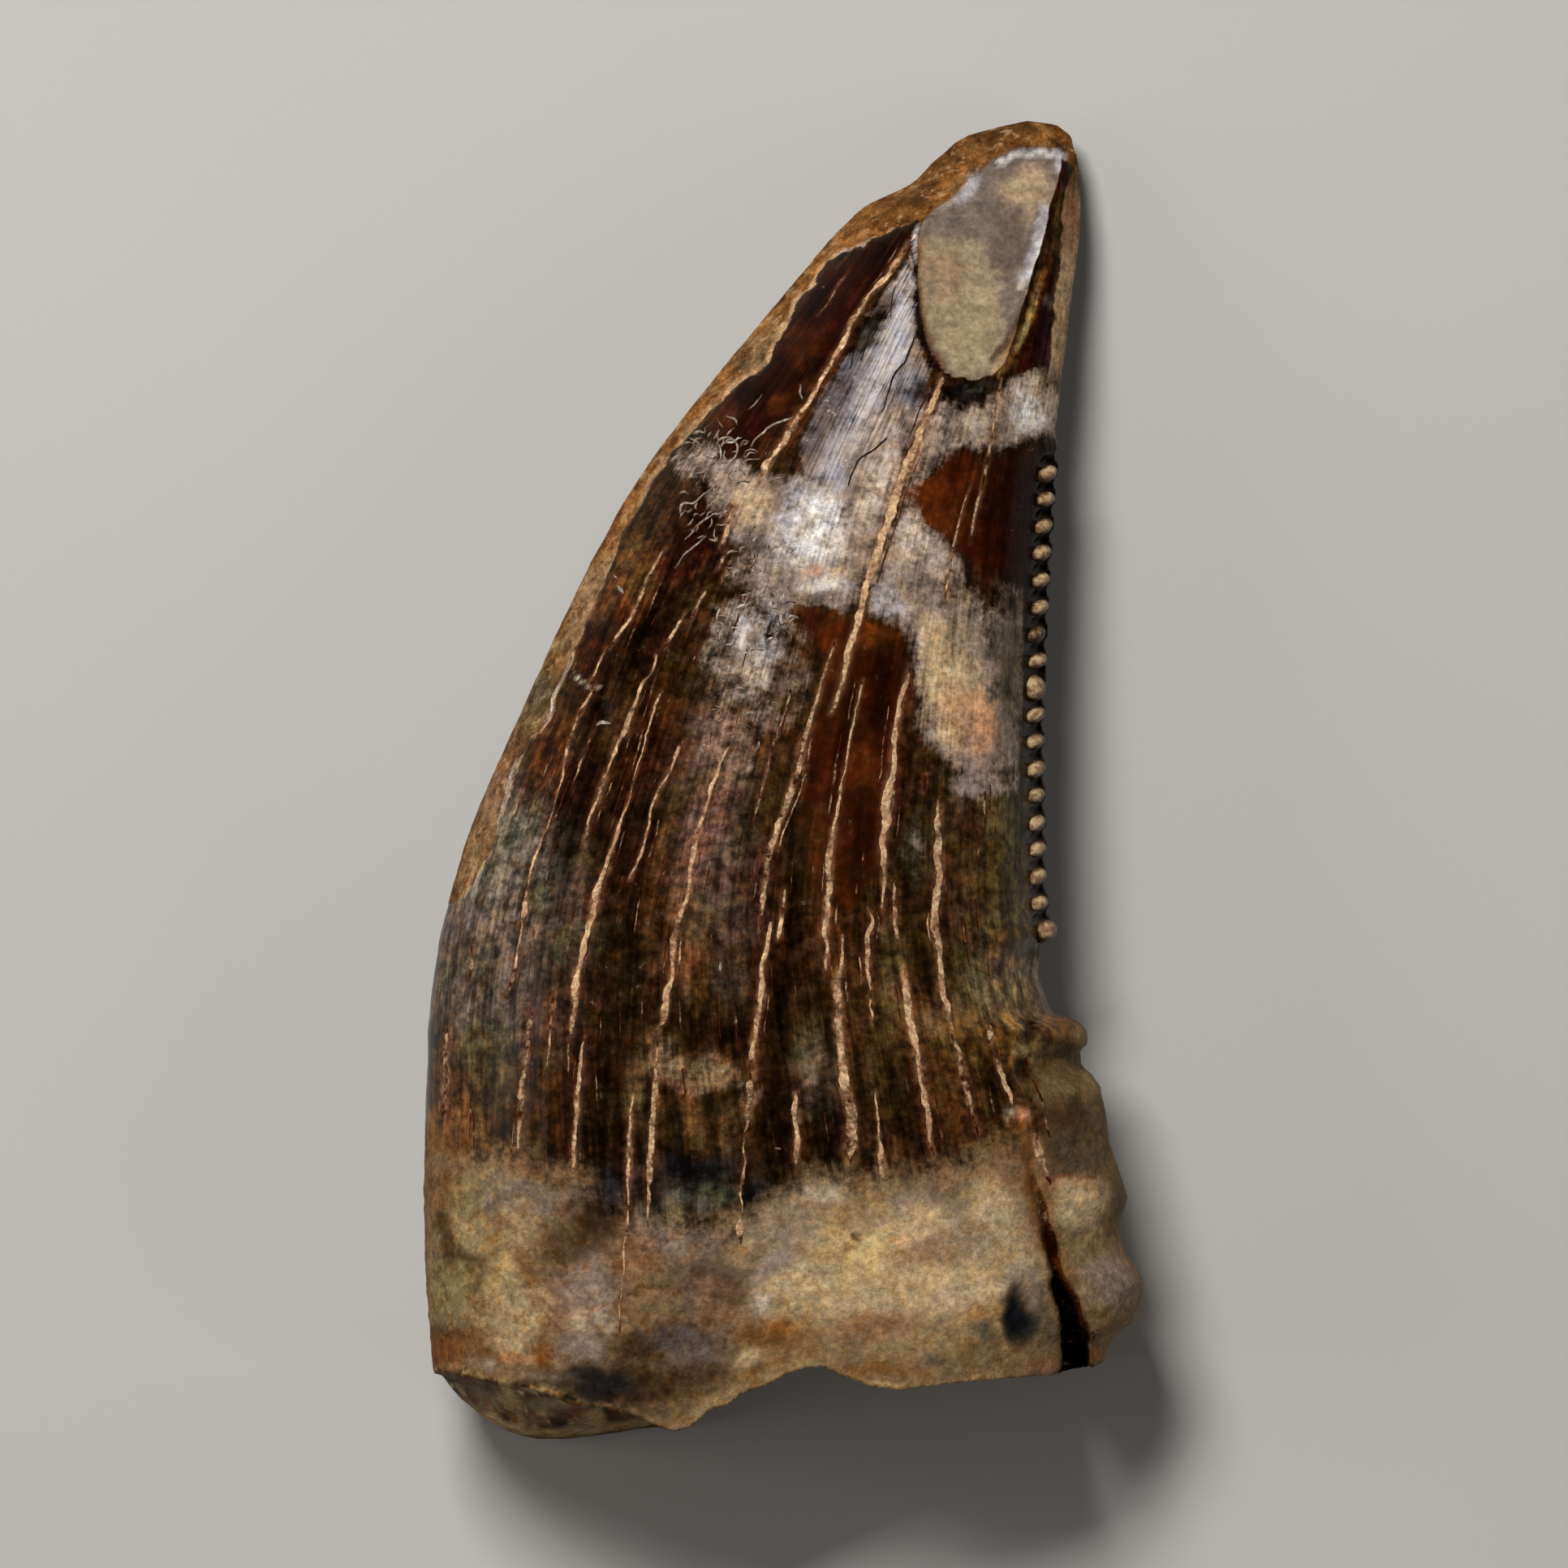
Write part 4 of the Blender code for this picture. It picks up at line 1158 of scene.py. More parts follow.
def below_line(px, py, line):
    return py - straight_through(line)(px)


def sink_flaked(z, edge, px, py, flaked):
    """The flaked strip lies lower than the enamel, rough and pitted, and never sinks far towards the edge."""
    depth = FLAKED_DEPTH + relief(px, py, "flaked") + relief(px, py, "flaked_fine")
    depth = depth + FLAKED_PIT_DEPTH * patches(px, py, *PATCHES["flaked_pits"])
    return z - np.minimum(flaked * depth, FLAKED_LIMIT * (z - edge))


def shape_enamel(z, px, py, across, base, flaked):
    """Fine ribs and slow ripples, and the crust that curls, lies thick or is hollowed in places."""
    ribs = sum(share * noise(across * count, py / length, seed) for share, count, length, seed in RIBS)
    z = z + (1 - base) * (1 - flaked) * RIB_HEIGHT * ribs
    amount, size, seed = RIPPLE_DRIFT
    phase = px / RIPPLE_LENGTH + amount * rough_noise(px / size, py / size, seed)
    z = z + RIPPLE_HEIGHT * np.sin(phase) * (1 - base)
    z = z + relief(px, py, "swell")
    curls = sum(share * spot(px, py, *area) for share, *area in CURLED_AREAS)
    wide, tall, seed, octaves = CURL_WAVES
    z = z + CURL_HEIGHT * curls * rough_noise(px / wide, py / tall, seed, octaves)
    core = CORE_HEIGHT - CORE_PIT_DEPTH * patches(px, py, *PATCHES["core_pits"])
    z = z + spot(px, py, *CORE_AREA) * core
    return z - HOLLOW_DEPTH * spot(px, py, *HOLLOW_AREA)


def cut_facet(z, x, y, px, py):
    """The slanting plane worn on the tip."""
    plane = FACET_CENTRE[2] + FACET_SLOPE[0] * (x - FACET_CENTRE[0]) + FACET_SLOPE[1] * (y - FACET_CENTRE[1])
    plane = plane + relief(px, py, "facet") + relief(px, py, "facet_fine")
    return z + (plane - z) * within(*ragged(px, py, "facet"), FACET_OUTLINE, FACET_BORDER)


def cut_split(z, px, py):
    """The split gets deeper towards the base, and its right-hand wall slants."""
    share = np.clip((py - SPLIT_LEFT[0][1]) / SPLIT_LENGTH, 0, 1)
    wall = SPLIT_WALL_RISE * split_wall(px, py)
    floor = z - SPLIT_LIP - SPLIT_DEPTH * share**SPLIT_STEEPNESS * (1 - wall)
    floor = np.maximum(floor, SPLIT_BASE_FLOOR)
    return z - split_area(*ragged(px, py, "split"), SHARP_BORDER) * np.clip(z - floor, 0, None)


def shape_upper(x, y, z, across):
    """Facet, flaked strip, split, cracks and relief of the upper side, as changes of height."""
    px, py = to_photo(x, y)
    rx, ry = ragged(px, py, "flaked")
    flaked = flaked_area(rx, ry, SHARP_BORDER)
    z = sink_flaked(z, edge_height(y), px, py, flaked)
    base = smooth_step(-BASE_BORDER, BASE_BORDER, below_line(rx, ry, BASE_LINE))
    z = z + base * (relief(px, py, "base") + relief(px, py, "base_fine"))
    z = z - BASE_PIT_DEPTH * base * patches(px, py, *PATCHES["base_pits"])
    z = z - BEVEL_SLOPE * np.clip(below_line(rx, ry, BEVEL_EDGE), 0, BEVEL_REACH)
    z = shape_enamel(z, px, py, across, base, flaked)
    z = z - CRACK_DEPTH * crack_nearness(px, py, CRACK_FLANK) * (1 - flaked)
    z = z - GROOVE_DEPTH * serration_gaps(px, py)
    for depth, dent_x, dent_y, wide, tall in DENTS:
        z = z - depth * spot(px, py, (dent_x, dent_y), (wide, tall), 0, DENT_SOFTNESS)
    return cut_split(cut_facet(z, x, y, px, py), px, py)


def grid_normals(points):
    """Outward normals of a closed ring grid, row by column by 3."""
    around = np.roll(points, -1, axis=1) - np.roll(points, 1, axis=1)
    up = np.gradient(points, axis=0)
    normal = np.cross(around, up)
    return normal / np.maximum(np.linalg.norm(normal, axis=2, keepdims=True), 1e-9)


def roughen_lower(rings):
    """Lumps and grain on the parts that face sideways and down, where height alone can't shape them."""
    normal = grid_normals(rings)
    low = smooth_step(*FACING_DOWN, normal[:, :, 2])
    x, y, z = rings[:, :, 0], rings[:, :, 1], rings[:, :, 2]
    bumps = rough_noise(x * LUMP_WAVES + z, y * LUMP_WAVES, 81)
    fine = rough_noise(x * GRAIN_WAVES[0], y * GRAIN_WAVES[0] + z * GRAIN_WAVES[1], 82, 3)
    grain = LOWER_GRAIN + LOWER_BASE_GRAIN * smooth_step(*LOWER_BASE_ROWS, y)
    rough = LOWER_LUMPS * bumps + grain * fine
    rings = rings + normal * (low * rough)[:, :, None]
    rings[:, :, 2] = np.clip(rings[:, :, 2], 0.0, None)
    return rings


def roughen_corner(rings):
    """Breaks up the rear edge below the serrations, where the crown is chipped."""
    px, py = to_photo(rings[:, :, 0], rings[:, :, 1])
    reach = smooth_step(*CHIPPED_COLUMNS, px) * smooth_step(*CHIPPED_ROWS, py)
    height = rings[:, :, 2] * PIXELS_PER_MM
    for axis, place in enumerate((py, px)):
        amount, wide, tall, seed = CHIPPED_LUMPS[axis]
        rings[:, :, axis] += reach * amount * rough_noise(place / wide, height / tall, seed)
    rings[:, :, 0] -= NOTCH_DEPTH * (serration_gaps(px, py) * smooth_step(*NOTCH_COLUMNS, px))
    return rings


def make_skin():
    """The crown's points as rings of the upper side followed by the lower side."""
    rows = row_places()[:, None]
    upper_across = column_places(UPPER_COLUMNS)
    lower_across = column_places(LOWER_COLUMNS)
    ux, uy, uz = crown_skin(upper_across[None, :], rows, True)
    uz = shape_upper(ux, uy, uz, upper_across[None, :])
    lx, ly, lz = crown_skin(lower_across[None, -2:0:-1], rows, False)
    upper = np.stack(np.broadcast_arrays(ux, uy, uz), axis=2)
    lower = np.stack(np.broadcast_arrays(lx, ly, lz), axis=2)
    rings = np.concatenate([upper, lower], axis=1)
    rings = roughen_lower(roughen_corner(rings))
    return rings, upper_across, lower_across


def ring_quads(row_count, ring_count):
    k = np.arange(ring_count)
    after = (k + 1) % ring_count
    quads = []
    for row in range(row_count - 1):
        low, high = row * ring_count, (row + 1) * ring_count
        quads.append(np.stack([low + k, low + after, high + after, high + k], axis=1))
    return np.concatenate(quads)


def zip_rows(near, far, near_place, far_place):
    """Triangles between two rows of points that have unlike counts."""
    faces = []
    i = j = 0
    while i < len(near) - 1 or j < len(far) - 1:
        near_turn = j == len(far) - 1 or (i < len(near) - 1 and near_place[i + 1] <= far_place[j + 1])
        if near_turn:
            faces.append((near[i], far[j], near[i + 1]))
            i += 1
        else:
            faces.append((near[i], far[j], far[j + 1]))
            j += 1
    return [face for face in faces if len(set(face)) == 3]


def break_rows(top, low):
    """Rows of points over the broken base between its upper and its lower rim."""
    rows = []
    place = np.linspace(0, 1, len(top))
    side = (2 * place - 1) / PULP_HALF_WIDTH
    for step in range(1, BREAK_STEPS):
        down = step / BREAK_STEPS
        row = top + (low - top) * down
        inside = math.sin(math.pi * down)
        px, pz = row[:, 0] * BREAK_SCALE, row[:, 2] * BREAK_SCALE
        row[:, 1] += PULP_DEPTH * np.exp(-side * side) * inside**PULP_STEEPNESS
        fine = rough_noise(px * BREAK_GRAIN_SCALE, pz * BREAK_GRAIN_SCALE, 92, 3)
        row[:, 1] += inside * (BREAK_LUMPS * rough_noise(px, pz, 91) + BREAK_GRAIN * fine)
        rows.append(row)
    return rows


def blend(layer, tone, mask):
    """Lays a tone over a layer of colour, in place."""
    layer += (light_of(tone) - layer) * np.clip(mask, 0, 1)[..., None]


def coat(px, tone):
    """A layer of one tone."""
    layer = np.zeros(np.shape(px) + (3,))
    blend(layer, tone, np.ones(np.shape(px)))
    return layer


def over(below, above, mask):
    return below + (above - below) * np.clip(mask, 0, 1)[..., None]


def lay_marks(layer, px, py, marks):
    for tone, strength, x, y, wide, tall, *rest in marks:
        blend(layer, tone, strength * spot(px, py, (x, y), (wide, tall), *rest))


def lay_strokes(layer, px, py, strokes):
    for tone, strength, half_width, route in strokes:
        nearness = 1 - smooth_step(0.4, 1.6, path_distance(px, py, route) / half_width)
        blend(layer, tone, strength * nearness)


def lay_patches(layer, px, py, table):
    for tone, strength, *noise_shape in table:
        blend(layer, tone, strength * patches(px, py, *noise_shape))


def paint_enamel(px, py):
    """The dark layer: duller brown stretches with glassy red-brown and black windows between them."""
    wx, wy = ragged(px, py, "enamel")
    layer = coat(px, "umber")
    # Some of these marks are painted sheen on the left flank, and painted shade under the facet and in a
    # hollow by the base line.
    lay_marks(layer, wx, wy, ENAMEL_MARKS)
    glassy = np.zeros(np.shape(px))
    for tone, strength, soft, outline in WINDOWS:
        window = within(wx, wy, outline, soft)
        blend(layer, tone, strength * window)
        glassy = np.maximum(glassy, window)
    lay_marks(layer, wx, wy, WINDOW_MARKS)
    return layer, glassy


def paint_bloom_and_sheen(px, py):
    """The pale crust over the enamel, with painted highlights along the ridge: its colour, and how much of
    the surface it covers.
    """
    wx, wy = ragged(px, py, "bloom_and_sheen")
    layer = coat(px, "ash")
    cover = 0.88 * within(wx, wy, BLOOM_BAND, 20)
    # The strip below the facet is painted highlight laid into the same cover.
    cover = np.maximum(cover, 0.80 * within(*ragged(px, py, "highlight_strip"), HIGHLIGHT_STRIP, 9))
    for share, x, y, wide, tall, turn in BLOOM_AND_SHEEN_COVER:
        cover = np.maximum(cover, share * spot(wx, wy, (x, y), (wide, tall), turn, 0.7))
    for x, y, wide, tall, turn in BLOOM_GAPS:
        cover = cover * (1 - 0.85 * spot(wx, wy, (x, y), (wide, tall), turn))
    lay_marks(layer, wx, wy, BLOOM_AND_SHEEN_MARKS)
    return layer, cover


def paint_matt(px, py):
    """Colours of the parts without enamel gloss: the base and the rear corner."""
    wx, wy = ragged(px, py, "matt")
    layer = coat(px, "tan")
    lay_marks(layer, wx, wy, BASE_MARKS)
    bevel = smooth_step(*BEVEL_FADE, below_line(wx, wy, BEVEL_EDGE))
    layer = over(layer, paint_bevel(px, py), bevel)
    # The strokes include painted highlights along the bottom edge.
    lay_strokes(layer, *ragged(px, py, "base_strokes"), BASE_STROKES)
    return layer


def paint_bevel(px, py):
    """The bevelled front corner of the base and the broken face below it."""
    layer = coat(px, "bark")
    lay_patches(layer, px, py, BEVEL_PATCHES)
    lay_marks(layer, *ragged(px, py, "bevel_marks"), BEVEL_MARKS)
    return layer


def paint_flaked(px, py):
    layer = coat(px, "dentine")
    lay_patches(layer, px, py, FLAKED_PATCHES)
    cap = smooth_step(*CAP_COLUMNS, px)
    for tone, strength in CAP_TONES:
        blend(layer, tone, strength * cap)
    lay_marks(layer, *ragged(px, py, "flaked_marks"), FLAKED_MARKS)
    return layer


def paint_facet(px, py):
    wx, wy = ragged(px, py, "facet_marks")
    layer = coat(px, "facet_grey")
    blend(layer, "facet", 0.95 * within(wx, wy, FACET_TAN_AREA, 12))
    lay_marks(layer, wx, wy, FACET_MARKS)
    blend(layer, "cream", 0.3 * patches(px, py, *PATCHES["facet_cream"]) * (py > FACET_CREAM_FROM))
    lay_marks(layer, wx, wy, [FACET_CLAY])
    return layer


def from_rear_edge(px, y):
    """How many pixels inwards of the rear edge a column lies, at a height y in the frame."""
    return to_photo(rear_edge(y), 0)[0] - px


def paint_rear_edge(enamel, px, py):
    """The dark margin behind the serrations, its grooves, and the pale edge above them."""
    amount, size, seed = MARGIN_WAVES
    inward = from_rear_edge(px, from_photo(px, py)[1]) + amount * rough_noise(px / size, py / size, seed)
    strength = (0.85 - 0.45 * smooth_step(*MARGIN_WEAKER, py)) * between(MARGIN_ROWS, py)
    blend(enamel, "ink", strength * smooth_step(*MARGIN_WIDTH, inward))
    blend(enamel, "ink", 0.8 * serration_gaps(px, py))
    wx, wy = ragged(px, py, "dark_strip")
    blend(enamel, "wine", 0.97 * within(wx, wy, DARK_STRIP, 5))
    lay_marks(enamel, wx, wy, STRIP_MARKS)
    lay_marks(enamel, px, py, EDGE_MARKS)
    # The strokes include painted highlights beside the facet and along the flaked strip's edge.
    lay_strokes(enamel, *ragged(px, py, "enamel_strokes"), ENAMEL_STROKES)
    # The corner marks begin with the painted shadow under the facet's lower rim.
    lay_marks(enamel, *ragged(px, py, "corner_marks"), CORNER_MARKS)


def paint_carina(px, py):
    """The dull tan edge beside the facet, browner towards the tip."""
    layer = coat(px, "clay")
    for tone, strength, low, high in CARINA_TONES:
        blend(layer, tone, strength * smooth_step(low, high, py))
    blend(layer, "cream", 0.4 * patches(px, py, *PATCHES["edge_cream"]))
    return layer


def paint_crisp(px, py, facet, split):
    """Colours of the facet, the flaked strip and the inside of the split, whose deep end is painted shade."""
    colour = over(paint_flaked(px, py), paint_facet(px, py), facet)
    # The strokes include painted highlights on the facet's rim and along the flaked strip's edge.
    lay_strokes(colour, *ragged(px, py, "crisp_strokes"), CRISP_STROKES)
    inner = coat(px, "dentine")
    for tone, low, high in SPLIT_TONES:
        blend(inner, tone, smooth_step(low, high, py))
    # Painted shade in the deep end of the split.
    inner = over(inner, coat(px, "ink") * SPLIT_SHADE_GAIN, smooth_step(*SPLIT_SHADE_ROWS, py))
    blend(inner, "rust", 0.9 * split_wall(px, py))
    return over(colour, inner, split)


def skin_areas(px, py, top):
    """How far each point belongs to each area, from 0 to 1. Some areas are on the upper side only."""
    base = smooth_step(-BASE_FADE, BASE_FADE, below_line(*ragged(px, py, "base_line"), BASE_LINE))
    corner = spot(*ragged(px, py, "base_corner"), *BASE_CORNER)
    facet = within(*ragged(px, py, "facet"), FACET_OUTLINE, FACET_BORDER)
    fading = smooth_step(*CARINA_FADE, py)
    carina = np.where(top, 0.95 * fading * within(*ragged(px, py, "dark_strip"), CARINA_BAND, 4), 0.0)
    return {
        "base": np.maximum(np.maximum(base, corner), carina),
        "flaked": flaked_area(*ragged(px, py, "flaked"), 3.0),
        "facet": np.where(top, facet, 0.0),
        "split": np.where(top, split_area(*ragged(px, py, "split"), 3.0), 0.0),
        # The painted highlight strip, streaked rather than mottled.
        "painted_highlight": np.where(top, 0.85 * within(*ragged(px, py, "painted_highlight"), HIGHLIGHT_STRIP, 16), 0.0),
        "corner": spot(px, py, *MARKED_CORNER),
        "bare": fading * within(px, py, CARINA_BAND, 6) + within(px, py, DARK_STRIP, 6),
    }


def paint_skin(rings, upper_count):
    """Attributes of the crown's skin: its three layers of colour, how they cover it, and the finish."""
    px, py = to_photo(rings[:, :, 0], rings[:, :, 1])
    top = np.zeros(px.shape, bool)
    top[:, :upper_count] = True
    qx, qy = (place + np.where(top, 0.0, shift) for place, shift in zip((px, py), LOWER_SHIFT))
    enamel, glassy = paint_enamel(qx, qy)
    bloom_and_sheen, cover = paint_bloom_and_sheen(qx, qy)
    stain = np.where(top, crack_nearness(px, py, STAIN_REACH), 0.0)
    filling = np.where(top, crack_nearness(px, py, FILLING_REACH), 0.0)
    blend(enamel, "ember", 0.55 * stain)
    blend(enamel, "clay", 0.75 * filling)
    blend(bloom_and_sheen, "clay", 0.40 * stain)
    blend(bloom_and_sheen, "silt", 0.75 * filling)
    paint_rear_edge(enamel, px, py)
    area = skin_areas(px, py, top)
    cover = cover * (1 - 0.5 * stain)
    cover = cover * (1 - np.clip(area["bare"], 0, 1)) * (1 - 0.85 * area["corner"])
    edge = smooth_step(*BARE_EDGE, from_rear_edge(px, rings[:, :, 1]))
    cover = cover * (1 - 0.8 * edge * (py > BARE_EDGE_FROM))
    matt = over(paint_matt(px, py), enamel, 0.85 * area["corner"] * smooth_step(*CORNER_FADE, py))
    matt = over(matt, paint_carina(px, py), smooth_step(*CARINA_ROWS, py))
    return {
        "under": enamel,
        "over": bloom_and_sheen,
        "matt": matt,
        "crisp_colour": paint_crisp(px, py, area["facet"], area["split"]),
        "cover": np.where(top, 1.0, LOWER_BLOOM) * cover,
        "base": area["base"],
        "crisp": np.clip(area["flaked"] + area["facet"] + area["split"], 0, 1),
        # smooth holds the worn facet and the painted highlight strip.
        "smooth": np.maximum(area["facet"], area["painted_highlight"] * (1 - np.clip(area["flaked"], 0, 1))),
        "hollow": area["split"],
        "glassy": glassy,
    }


# Paint of the broken base: the limits of a noise, its waves to the millimetre and its seed for the tan and
# the sandy patches, the dark middle in millimetres, and the columns where the bevel's paint takes over.
BREAK_TAN = (-0.2, 0.4, 1.4, 151)
BREAK_SAND = (0.1, 0.5, 6, 152)
BREAK_MIDDLE = ((0.0, 2.3), (2.2, 1.0))
BREAK_BEVEL_COLUMNS = (900, 700)


def break_paint(name, points, width):
    """The paint of the broken base: a dark hollow in rough tan and brown."""
    x, z = points[:, 0], points[:, 2]
    if name in ("matt", "under", "crisp_colour"):
        layer = coat(x, "dentine")
        for tone, strength, (low, high, scale, seed) in (("tan", 1.0, BREAK_TAN), ("sand", 0.7, BREAK_SAND)):
            blend(layer, tone, strength * smooth_step(low, high, rough_noise(x * scale, z * scale, seed)))
        blend(layer, "umber", 0.85 * spot(x, z, *BREAK_MIDDLE))
        px, py = to_photo(x, points[:, 1])
        return over(layer, paint_matt(px, py), smooth_step(*BREAK_BEVEL_COLUMNS, px))
    if name == "over":
        return coat(x, "ash")
    return np.full((len(points), width), 1.0 if name == "base" else 0.0)


def add_attribute(mesh, name, values):
    """Stores a number or a colour for each point."""
    values = np.asarray(values, np.float32)
    if values.ndim == 2:
        values = np.concatenate([values, np.ones((len(values), 1), np.float32)], axis=1)
        mesh.attributes.new(name, "FLOAT_COLOR", "POINT").data.foreach_set("color", values.ravel())
    else:
        mesh.attributes.new(name, "FLOAT", "POINT").data.foreach_set("value", values.ravel())


def new_piece(name, points, faces, material):
    """A mesh piece from points in millimetres."""
    mesh = bpy.data.meshes.new(name)
    mesh.from_pydata((np.asarray(points) * MM).tolist(), [], faces)
    mesh.shade_smooth()
    mesh.materials.append(material)
    piece = bpy.data.objects.new(name, mesh)
    bpy.context.scene.collection.objects.link(piece)
    return piece


def break_faces(rings, upper_across, lower_across, start):
    """Points and faces that close the broken base, numbered from start."""
    upper_count, ring_count = len(upper_across), rings.shape[1]
    low_index = ([upper_count - 1] + list(range(upper_count, ring_count)) + [0])[::-1]
    low_row = rings[0][low_index]
    columns = [np.interp(upper_across, lower_across, low_row[:, axis]) for axis in range(3)]
    low_wide = np.stack(columns, axis=1)
    points, faces = [], []
    index_rows = [list(range(upper_count))]
    for step, row in enumerate(break_rows(rings[0][:upper_count], low_wide)):
        first = start + step * (upper_count - 2)
        index_rows.append([0] + list(range(first, first + upper_count - 2)) + [upper_count - 1])
        points.append(row[1:-1])
    for above, below in zip(index_rows, index_rows[1:]):
        for k in range(upper_count - 1):
            corners = list(dict.fromkeys((above[k], below[k], below[k + 1], above[k + 1])))
            if len(corners) > 2:
                faces.append(tuple(corners))
    faces.extend(zip_rows(index_rows[-1], low_index, upper_across, lower_across))
    return np.concatenate(points), faces


def build_tooth(material):
    rings, upper_across, lower_across = make_skin()
    row_count, ring_count = rings.shape[:2]
    quads = ring_quads(row_count, ring_count)
    tip_index = row_count * ring_count
    last = tip_index - ring_count
    cap = [(last + k, last + (k + 1) % ring_count, tip_index) for k in range(ring_count)]
    tip = np.array([[TIP_X, TIP_Y, float(edge_height(TIP_Y))]])
    extra, closing = break_faces(rings, upper_across, lower_across, tip_index + 1)
    points = np.concatenate([rings.reshape(-1, 3), tip, extra])
    tooth = new_piece("tooth_crown", points, quads.tolist() + cap + closing, material)
    for name, values in paint_skin(rings, len(upper_across)).items():
        flat = values.reshape(tip_index, -1)
        broken = break_paint(name, extra, flat.shape[1]).reshape(len(extra), -1)
        full = np.concatenate([flat, flat[-1:], broken])
        add_attribute(tooth.data, name, full if full.shape[1] > 1 else full[:, 0])
    add_flow(tooth.data, rings, quads, extra)
    return tooth


def add_flow(mesh, rings, quads, extra):
    """A map whose first axis runs across the crown and whose second runs along it, in millimetres."""
    row_count, ring_count = rings.shape[:2]
    step = np.linalg.norm(np.roll(rings, -1, axis=1) - rings, axis=2)[row_count // 3]
    u = np.concatenate([[0], np.cumsum(step)])
    place = np.concatenate([np.tile(u[:-1], row_count), [u[ring_count // 2]], extra[:, 0]])
    along = np.concatenate([rings[:, :, 1].ravel(), [TIP_Y], extra[:, 2]])
    corner = np.empty(len(mesh.loops), np.int32)
    mesh.loops.foreach_get("vertex_index", corner)
    flow = np.stack([place, along], axis=1)[corner]
    wraps = np.flatnonzero(quads[:, 0] % ring_count == ring_count - 1)
    flow[4 * wraps + 1, 0] = u[-1]
    flow[4 * wraps + 2, 0] = u[-1]
    layer = mesh.uv_layers.new(name="flow")
    layer.data.foreach_set("uv", flow.astype(np.float32).ravel())


# Noises of the skin that lie in the object's place: cycles to the metre, detail and roughness.
PLACE_NOISES = {
    "cloud": (1100.0, 2.0, 0.55),
    "patch": (2700.0, 3.0, 0.6),
    "fleck": (7600.0, 3.0, 0.62),
    "grit": (21000.0, 2.0, 0.6),
    "mottle": (5400.0, 4.0, 0.68),
    "fine": (12500.0, 4.0, 0.74),
    "stain": (3900.0, 5.0, 0.68),
}
# Noises that follow the crown: cycles to the millimetre across and along, detail and roughness.
FLOW_NOISES = {
    "thin": ((13.0, 1.2, 1.0), 4.0, 0.62),
    "wide": ((4.5, 0.4, 1.0), 3.0, 0.6),
}
# How far each noise moves the borders of the layers.
JITTER = {"patch": 1.0, "fleck": 0.5, "cloud": 0.9, "thin": 0.65, "fine": 0.5}
# How the noises lighten and darken a layer, or where they bring something out: noise, its two limits and
# the value at each, where those aren't 0 and 1.
ENAMEL_LIGHT = [
    ("thin", 0.30, 0.70, 0.60, 1.32),
    ("wide", 0.34, 0.66, 0.46, 1.44),
    ("mottle", 0.30, 0.70, 0.40, 1.54),
    ("fine", 0.34, 0.66, 0.74, 1.26),
    ("patch", 0.34, 0.66, 0.68, 1.30),
]
ENAMEL_THREADS = [("thin", 0.58, 0.68), ("mottle", 0.50, 0.64), ("cloud", 0.40, 0.60, 0.10, 0.38)]
ENAMEL_DUST = [("fleck", 0.62, 0.72), ("patch", 0.54, 0.66)]
BLOOM_LIGHT = [
    ("fine", 0.34, 0.66, 0.72, 1.28),
    ("mottle", 0.30, 0.70, 0.78, 1.22),
    ("patch", 0.34, 0.66, 0.84, 1.16),
    ("thin", 0.32, 0.68, 0.80, 1.20),
]
# Streaks of the painted highlight strip.
HIGHLIGHT_STREAKS = [("thin", 0.32, 0.68, 0.52, 1.40), ("fine", 0.34, 0.66, 0.86, 1.14)]
BLOOM_BRIGHT = [("grit", 0.58, 0.70), ("patch", 0.52, 0.66)]
MATT_LIGHT = [("mottle", 0.34, 0.66, 0.80, 1.20), ("fine", 0.34, 0.66, 0.76, 1.22)]
FLAKED_LIGHT = [("mottle", 0.30, 0.70, 0.56, 1.44), ("grit", 0.30, 0.70, 0.74, 1.26)]
FACET_LIGHT = [("fine", 0.34, 0.66, 0.80, 1.20), ("mottle", 0.30, 0.70, 0.82, 1.18)]
CRISP_LIGHT = [("patch", 0.30, 0.70, 0.88, 1.12)]
CRISP_FLECKS = [("fleck", 0.54, 0.64), ("patch", 0.46, 0.56)]
# Pits and stains: noise, its two limits and the strength.
BLOOM_PITS = ("fine", 0.42, 0.32, 0.20)
FACET_PITS = ("fleck", 0.40, 0.30, 0.30)
MATT_PITS = ("fleck", 0.38, 0.26, 0.35)
MATT_PIT_GAIN = (0.34, 0.26, 0.20, 1.0)
# The same for the blotches of the matt parts, each with what it multiplies the colour by.
MATT_BLOTCHES = [
    (("mottle", 0.52, 0.60, 0.45), (1.34, 1.30, 1.20, 1.0)),
    (("stain", 0.52, 0.62, 0.70), (0.72, 0.56, 0.40, 1.0)),
    (("patch", 0.42, 0.34, 0.50), (0.56, 0.50, 0.44, 1.0)),
]
# Across the crown in metres, from where the blotches are weaker to where they are whole, and how strong.
MATT_FRONT = (0.0002, -0.0016, 0.35, 1.0)
# What the stains of the flaked strip multiply its colour by.
CRISP_STAIN_GAIN = (0.50, 0.36, 0.24, 1.0)
# Two hues that a noise mixes: the noise, its limits, and what each multiplies the colour by.
SKIN_HUES = ("stain", 0.36, 0.64, (0.95, 0.98, 1.06, 1.0), (1.05, 0.97, 0.84, 1.0))
ENAMEL_WARMTH = ("stain", 0.40, 0.62, (0.92, 1.00, 1.10, 1.0), (1.10, 0.95, 0.72, 1.0))
ENAMEL_GREEN = ("cloud", 0.42, 0.60, (1.06, 0.94, 1.00, 1.0), (0.92, 1.06, 0.90, 1.0))


